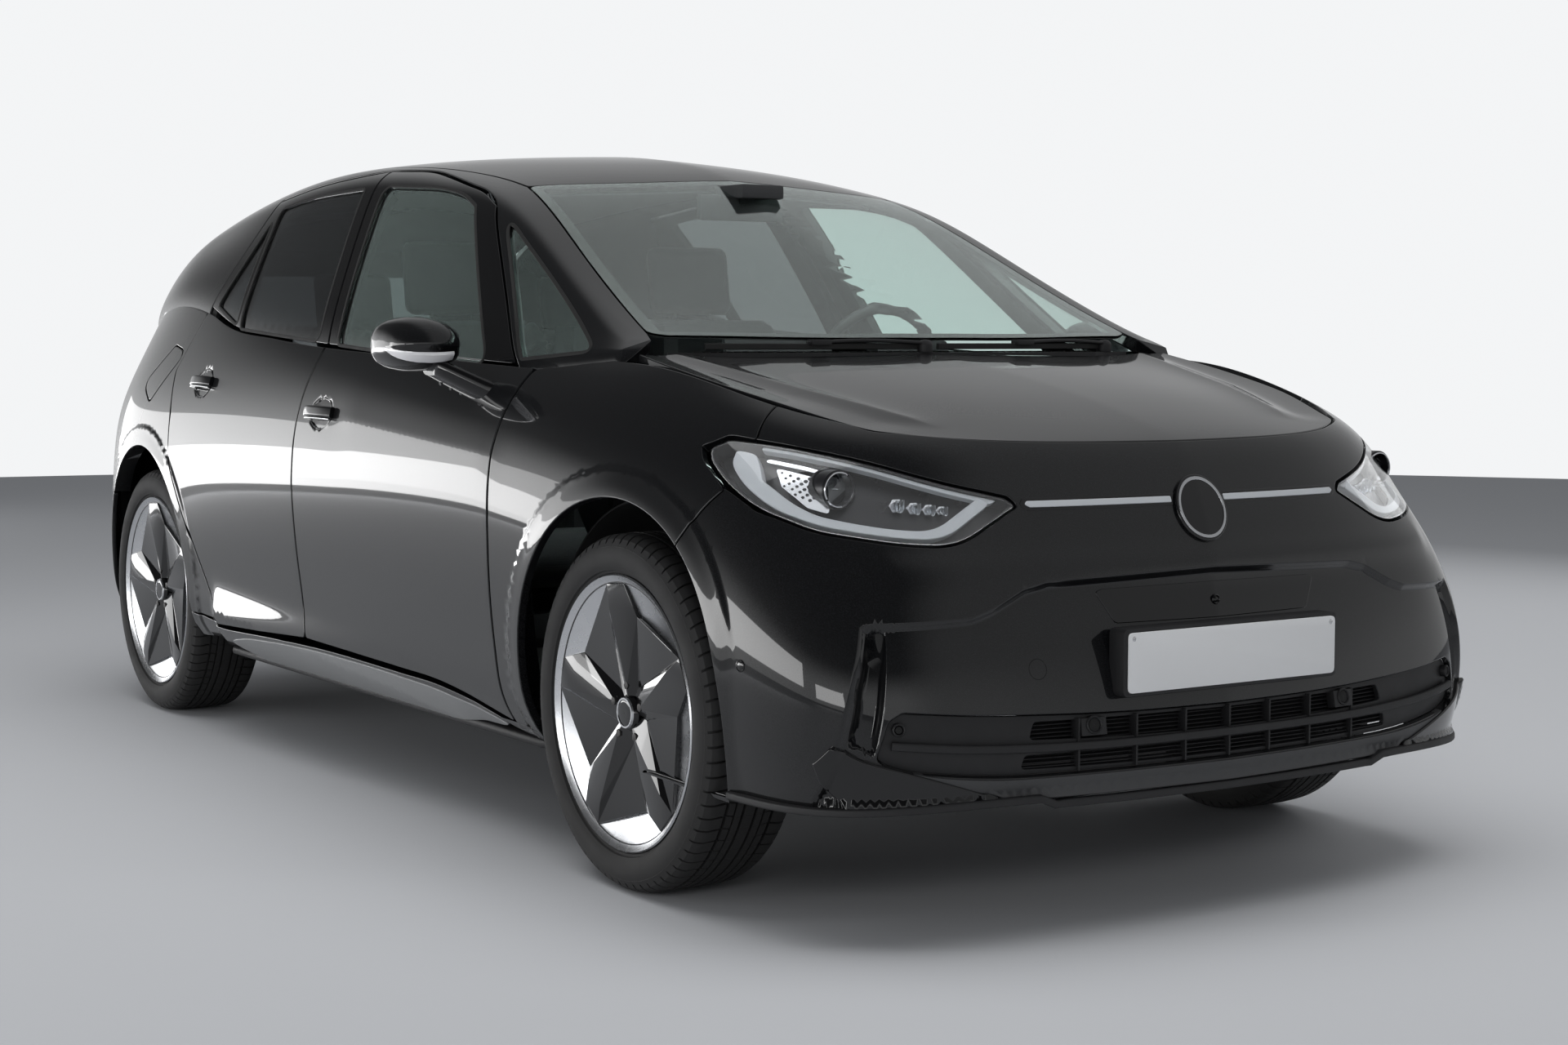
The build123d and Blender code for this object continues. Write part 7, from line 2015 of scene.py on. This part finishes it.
def make_studio(studio):
    scene = bpy.context.scene
    scene.view_settings.view_transform = "Standard"
    world = bpy.data.worlds.new("studio")
    scene.world = world
    world.use_nodes = True
    n, l = world.node_tree.nodes, world.node_tree.links
    light = n["Background"]
    light.inputs["Color"].default_value = (0.80, 0.82, 0.85, 1)
    light.inputs["Strength"].default_value = studio.fill
    seen = n.new("ShaderNodeBackground")
    seen.inputs["Color"].default_value = (0.90, 0.91, 0.92, 1)
    seen.inputs["Strength"].default_value = 1.0
    mirrored = n.new("ShaderNodeBackground")
    mirrored.inputs["Color"].default_value = (0.90, 0.91, 0.92, 1)
    # the walls are pale up to eye level; the ceiling is dim on the right and grey on the left
    parts = n.new("ShaderNodeSeparateXYZ")
    l.new(n.new("ShaderNodeTexCoord").outputs["Generated"], parts.inputs[0])

    def ramp(value, low, high, start, end):
        node = n.new("ShaderNodeMapRange")
        node.interpolation_type = "SMOOTHSTEP"
        for key, number in (("Value", value), ("From Min", low), ("From Max", high), ("To Min", start),
                            ("To Max", end)):
            if isinstance(number, float):
                node.inputs[key].default_value = number
            else:
                l.new(number, node.inputs[key])
        return node.outputs["Result"]

    wall = ramp(parts.outputs["Y"], -0.15, 0.2, 1.0, 0.62)
    ceiling = ramp(parts.outputs["Y"], -0.1, 0.25, 0.06, 0.40)
    l.new(ramp(parts.outputs["Z"], 0.06, 0.30, wall, ceiling), mirrored.inputs["Strength"])
    path = n.new("ShaderNodeLightPath")
    first, second = n.new("ShaderNodeMixShader"), n.new("ShaderNodeMixShader")
    l.new(path.outputs["Is Glossy Ray"], first.inputs[0])
    l.new(light.outputs[0], first.inputs[1])
    l.new(mirrored.outputs[0], first.inputs[2])
    l.new(math_node(n, l, "MAXIMUM", path.outputs["Is Camera Ray"], path.outputs["Is Transmission Ray"]),
          second.inputs[0])
    l.new(first.outputs[0], second.inputs[1])
    l.new(seen.outputs[0], second.inputs[2])
    l.new(second.outputs[0], n["World Output"].inputs[0])
    mesh = bpy.data.meshes.new("studio_floor")
    turns = np.linspace(0, 2 * math.pi, 96, endpoint=False)
    ring = [(FLOOR_RADIUS * math.cos(a), FLOOR_RADIUS * math.sin(a), 0) for a in turns]
    mesh.from_pydata(ring, [], [tuple(range(len(ring)))])
    floor = bpy.data.objects.new("studio_floor", mesh)
    scene.collection.objects.link(floor)
    paper = finish_of("studio_paper", tuple(studio.floor_color), 0.8, vary=0.05, Specular_IOR_Level=0.2)
    mesh.materials.append(paper)
    for name, place, aim, size, power, mirrored in (
            ("key_softbox", (1.0, -0.5, 5.2), (0.4, 0, 0.6), (7.0, 4.0), 240, False),
            ("side_softbox", (-1.5, -6.5, 1.1), (-0.3, 0, 0.6), (7.0, 1.0), 110, True),
            ("nose_softbox", (7.0, -3.6, 2.8), (1.4, 0, 0.7), (3.0, 1.2), 60, False),
            ("far_softbox", (-1.0, 6.0, 3.0), (0, 0, 0.7), (7.0, 2.0), 90, False),
            ("wall_strip", (-8.5, -4.9, 0.45), (0, -0.9, 0.6), (9.0, 0.7), 105, True),
            ("wall_glow", (-8.8, -5.0, 1.25), (0, -0.9, 0.6), (9.0, 0.9), 45, True),
            ("corner_strip", (6.0, -9.0, 0.8), (1.9, -0.8, 0.5), (5.0, 0.9), 70, True)):
        data = bpy.data.lights.new(name, "AREA")
        data.shape, data.size, data.size_y = "RECTANGLE", size[0], size[1]
        data.energy = power * studio.lamp_level
        lamp = bpy.data.objects.new(name, data)
        lamp.visible_glossy = mirrored
        lamp.visible_camera = False
        lamp.location = place
        lamp.rotation_euler = (Vector(aim) - Vector(place)).to_track_quat("-Z", "Y").to_euler()
        scene.collection.objects.link(lamp)
    data = bpy.data.cameras.new("studio_camera")
    data.lens, data.sensor_width = studio.lens, 36.0
    data.clip_start, data.clip_end = 0.05, 200
    camera = bpy.data.objects.new("studio_camera", data)
    scene.collection.objects.link(camera)
    camera.location = studio.camera_place
    yaw, pitch = studio.camera_yaw, studio.camera_pitch
    ahead = Vector((math.cos(yaw) * math.cos(pitch), math.sin(yaw) * math.cos(pitch), math.sin(pitch)))
    turn = ahead.to_track_quat("-Z", "Y")
    camera.rotation_mode = "QUATERNION"
    camera.rotation_quaternion = turn
    scene.camera = camera


# ---- what a user would change ------------------------------------------------------------------
def color_property(name, description, default):
    return bpy.props.FloatVectorProperty(name=name, description=description, subtype="COLOR", size=3, min=0.0,
                                         max=1.0, default=default)


class HatchbackColors(bpy.types.PropertyGroup):
    """Colours of the car."""
    paint_color: color_property("Body paint", "Paint of the doors, wings, bonnet and bumpers",
                                (0.0042, 0.0044, 0.0050))
    roof_color: color_property("Roof paint", "Paint of the roof and the spoiler", (0.0040, 0.0040, 0.0045))
    sill_color: color_property("Sill trim", "Satin inserts along the sills", (0.24, 0.245, 0.25))
    cloth_color: color_property("Seat cloth", "Cloth of the seats", (0.020, 0.021, 0.023))


class HatchbackSizes(bpy.types.PropertyGroup):
    """Sizes of the car's repeated details."""
    tread_pitches: bpy.props.IntProperty(name="Tread pitches", description="Blocks around a tyre", default=74,
                                         min=40, max=110)
    door_gap: bpy.props.FloatProperty(name="Door gap", default=3.0, min=1.5, max=5.0,
                                      description="Millimetres from a door's edge to its line")


class HatchbackStudio(bpy.types.PropertyGroup):
    """The studio around the car."""
    floor_color: color_property("Floor", "Colour of the studio floor", (0.50, 0.51, 0.53))
    fill: bpy.props.FloatProperty(name="Fill", description="Light from all round", default=0.30, min=0.0)
    lamp_level: bpy.props.FloatProperty(name="Lamp level", description="Power of all the softboxes together",
                                        default=1.0, min=0.0)
    camera_place: bpy.props.FloatVectorProperty(name="Camera place", description="Where the camera stands",
                                                subtype="TRANSLATION", unit="LENGTH", size=3,
                                                default=(5.3726, -3.1211, 1.0732))
    camera_yaw: bpy.props.FloatProperty(name="Camera yaw", description="Turn of the view about the upright",
                                        subtype="ANGLE", default=math.radians(146.896))
    camera_pitch: bpy.props.FloatProperty(name="Camera pitch", description="Tilt of the view, up is positive",
                                          subtype="ANGLE", default=math.radians(-4.334))
    lens: bpy.props.FloatProperty(name="Lens", description="Focal length in millimetres", default=55.05,
                                  min=10.0)


# ---- operators -----------------------------------------------------------------------------------
class HATCHBACK_OT_finishes(bpy.types.Operator):
    """Paints, plastics, metals, cloths and glass of the car"""
    bl_idname = "hatchback.finishes"
    bl_label = "Finishes"

    def execute(self, context):
        make_finishes(context.scene.hatchback_colors)
        return {"FINISHED"}


class HATCHBACK_OT_doors(bpy.types.Operator):
    """Skins, window frames, panes and seals of the four side doors"""
    bl_idname = "hatchback.doors"
    bl_label = "Side doors"

    def execute(self, context):
        make_doors(context.scene.hatchback_sizes)
        return {"FINISHED"}


class HATCHBACK_OT_body_sides(bpy.types.Operator):
    """Front wings, rear quarters, roof rails, quarter lights and sills"""
    bl_idname = "hatchback.body_sides"
    bl_label = "Body sides"

    def execute(self, context):
        make_body_sides()
        return {"FINISHED"}


class HATCHBACK_OT_bonnet(bpy.types.Operator):
    """The bonnet skin with its pressed lines"""
    bl_idname = "hatchback.bonnet"
    bl_label = "Bonnet"

    def execute(self, context):
        make_bonnet()
        return {"FINISHED"}


class HATCHBACK_OT_roof(bpy.types.Operator):
    """The roof skin, the windscreen and its black border"""
    bl_idname = "hatchback.roof"
    bl_label = "Roof and windscreen"

    def execute(self, context):
        make_roof()
        return {"FINISHED"}


class HATCHBACK_OT_front_bumper(bpy.types.Operator):
    """The bumper skin with its mask, mouth and side pockets"""
    bl_idname = "hatchback.front_bumper"
    bl_label = "Front bumper"

    def execute(self, context):
        make_front_bumper()
        return {"FINISHED"}


class HATCHBACK_OT_tail(bpy.types.Operator):
    """The rear bumper skin and its diffuser"""
    bl_idname = "hatchback.tail"
    bl_label = "Rear bumper"

    def execute(self, context):
        make_tail()
        return {"FINISHED"}


class HATCHBACK_OT_wheels(bpy.types.Operator):
    """Rims, star covers, brake discs and treaded tyres"""
    bl_idname = "hatchback.wheels"
    bl_label = "Wheels"

    def execute(self, context):
        make_wheels(context.scene.hatchback_sizes)
        return {"FINISHED"}


class HATCHBACK_OT_head_lamps(bpy.types.Operator):
    """Bowls, light guides, projectors and lenses of the head lamps"""
    bl_idname = "hatchback.head_lamps"
    bl_label = "Head lamps"

    def execute(self, context):
        make_head_lamps()
        return {"FINISHED"}


class HATCHBACK_OT_light_strip(bpy.types.Operator):
    """The bright strip between the head lamps and the round badge place"""
    bl_idname = "hatchback.light_strip"
    bl_label = "Light strip"

    def execute(self, context):
        make_light_strip()
        return {"FINISHED"}


class HATCHBACK_OT_nose_details(bpy.types.Operator):
    """Grille, blades, parking sensors and towing cap of the nose"""
    bl_idname = "hatchback.nose_details"
    bl_label = "Nose details"

    def execute(self, context):
        make_nose_details()
        return {"FINISHED"}


class HATCHBACK_OT_plates(bpy.types.Operator):
    """The blank number plates and their carriers"""
    bl_idname = "hatchback.plates"
    bl_label = "Plates"

    def execute(self, context):
        make_plates()
        return {"FINISHED"}


class HATCHBACK_OT_mirrors(bpy.types.Operator):
    """Door mirrors with their arms, glasses and indicators"""
    bl_idname = "hatchback.mirrors"
    bl_label = "Mirrors"

    def execute(self, context):
        make_mirrors()
        return {"FINISHED"}


class HATCHBACK_OT_handles(bpy.types.Operator):
    """Door handles with their dishes"""
    bl_idname = "hatchback.handles"
    bl_label = "Handles"

    def execute(self, context):
        make_handles()
        return {"FINISHED"}


class HATCHBACK_OT_tailgate(bpy.types.Operator):
    """Tailgate skins, rear window, spoiler and tail lamps"""
    bl_idname = "hatchback.tailgate"
    bl_label = "Tailgate"

    def execute(self, context):
        make_tailgate()
        return {"FINISHED"}


class HATCHBACK_OT_charge_flap(bpy.types.Operator):
    """The charging flap, its pocket and socket"""
    bl_idname = "hatchback.charge_flap"
    bl_label = "Charge flap"

    def execute(self, context):
        make_charge_flap()
        return {"FINISHED"}


class HATCHBACK_OT_sills(bpy.types.Operator):
    """The satin sill inserts and the black blades under them"""
    bl_idname = "hatchback.sills"
    bl_label = "Sill trim"

    def execute(self, context):
        make_sills()
        return {"FINISHED"}


class HATCHBACK_OT_wipers(bpy.types.Operator):
    """Wiper arms, blades, pivots and the louvres of the cowl"""
    bl_idname = "hatchback.wipers"
    bl_label = "Wipers"

    def execute(self, context):
        make_wipers()
        return {"FINISHED"}


class HATCHBACK_OT_cabin_trim(bpy.types.Operator):
    """Door posts, door cards, headliner and parcel shelf"""
    bl_idname = "hatchback.cabin_trim"
    bl_label = "Cabin trim"

    def execute(self, context):
        make_trim_panels()
        return {"FINISHED"}


class HATCHBACK_OT_dashboard(bpy.types.Operator):
    """Dashboard, displays, steering wheel and cabin mirror"""
    bl_idname = "hatchback.dashboard"
    bl_label = "Dashboard"

    def execute(self, context):
        make_dashboard()
        return {"FINISHED"}


class HATCHBACK_OT_seats(bpy.types.Operator):
    """Front seats, rear bench and headrests"""
    bl_idname = "hatchback.seats"
    bl_label = "Seats"

    def execute(self, context):
        make_seats()
        return {"FINISHED"}


class HATCHBACK_OT_frame_finish(bpy.types.Operator):
    """Finishes on the parts that stay as the frame has them"""
    bl_idname = "hatchback.frame_finish"
    bl_label = "Frame finish"

    def execute(self, context):
        finish_frame()
        return {"FINISHED"}


class HATCHBACK_OT_studio(bpy.types.Operator):
    """The floor, the lamps, the walls and the camera"""
    bl_idname = "hatchback.studio"
    bl_label = "Studio"

    def execute(self, context):
        make_studio(context.scene.hatchback_studio)
        return {"FINISHED"}


class HATCHBACK_PT_pieces(bpy.types.Panel):
    """Lists the pieces of the car and what can be changed on them."""
    bl_idname = "HATCHBACK_PT_pieces"
    bl_label = "Hatchback"
    bl_space_type = "VIEW_3D"
    bl_region_type = "UI"
    bl_category = "Hatchback"

    def draw(self, context):
        for group, title in SETTINGS:
            box = self.layout.box()
            box.label(text=title)
            settings = getattr(context.scene, group)
            for key in type(settings).__annotations__:
                box.prop(settings, key)
        for operator in OPERATORS:
            self.layout.operator(operator.bl_idname)


SETTINGS = (("hatchback_colors", "Colours"), ("hatchback_sizes", "Sizes"), ("hatchback_studio", "Studio"))
GROUP_CLASSES = (HatchbackColors, HatchbackSizes, HatchbackStudio)
OPERATORS = (
    HATCHBACK_OT_finishes,
    HATCHBACK_OT_doors,
    HATCHBACK_OT_body_sides,
    HATCHBACK_OT_bonnet,
    HATCHBACK_OT_roof,
    HATCHBACK_OT_front_bumper,
    HATCHBACK_OT_tail,
    HATCHBACK_OT_wheels,
    HATCHBACK_OT_head_lamps,
    HATCHBACK_OT_light_strip,
    HATCHBACK_OT_nose_details,
    HATCHBACK_OT_plates,
    HATCHBACK_OT_mirrors,
    HATCHBACK_OT_handles,
    HATCHBACK_OT_tailgate,
    HATCHBACK_OT_charge_flap,
    HATCHBACK_OT_sills,
    HATCHBACK_OT_wipers,
    HATCHBACK_OT_cabin_trim,
    HATCHBACK_OT_dashboard,
    HATCHBACK_OT_seats,
    HATCHBACK_OT_frame_finish,
    HATCHBACK_OT_studio,
)


def register():
    for cls in GROUP_CLASSES + OPERATORS + (HATCHBACK_PT_pieces,):
        bpy.utils.register_class(cls)
    for (key, title), cls in zip(SETTINGS, GROUP_CLASSES):
        setattr(bpy.types.Scene, key, bpy.props.PointerProperty(type=cls, name=title))


def unregister():
    for key, _ in SETTINGS:
        delattr(bpy.types.Scene, key)
    for cls in reversed(GROUP_CLASSES + OPERATORS + (HATCHBACK_PT_pieces,)):
        bpy.utils.unregister_class(cls)


def main():
    register()
    for operator in OPERATORS:
        getattr(bpy.ops.hatchback, operator.bl_idname.split(".")[1])()


if __name__ == "__main__":
    main()
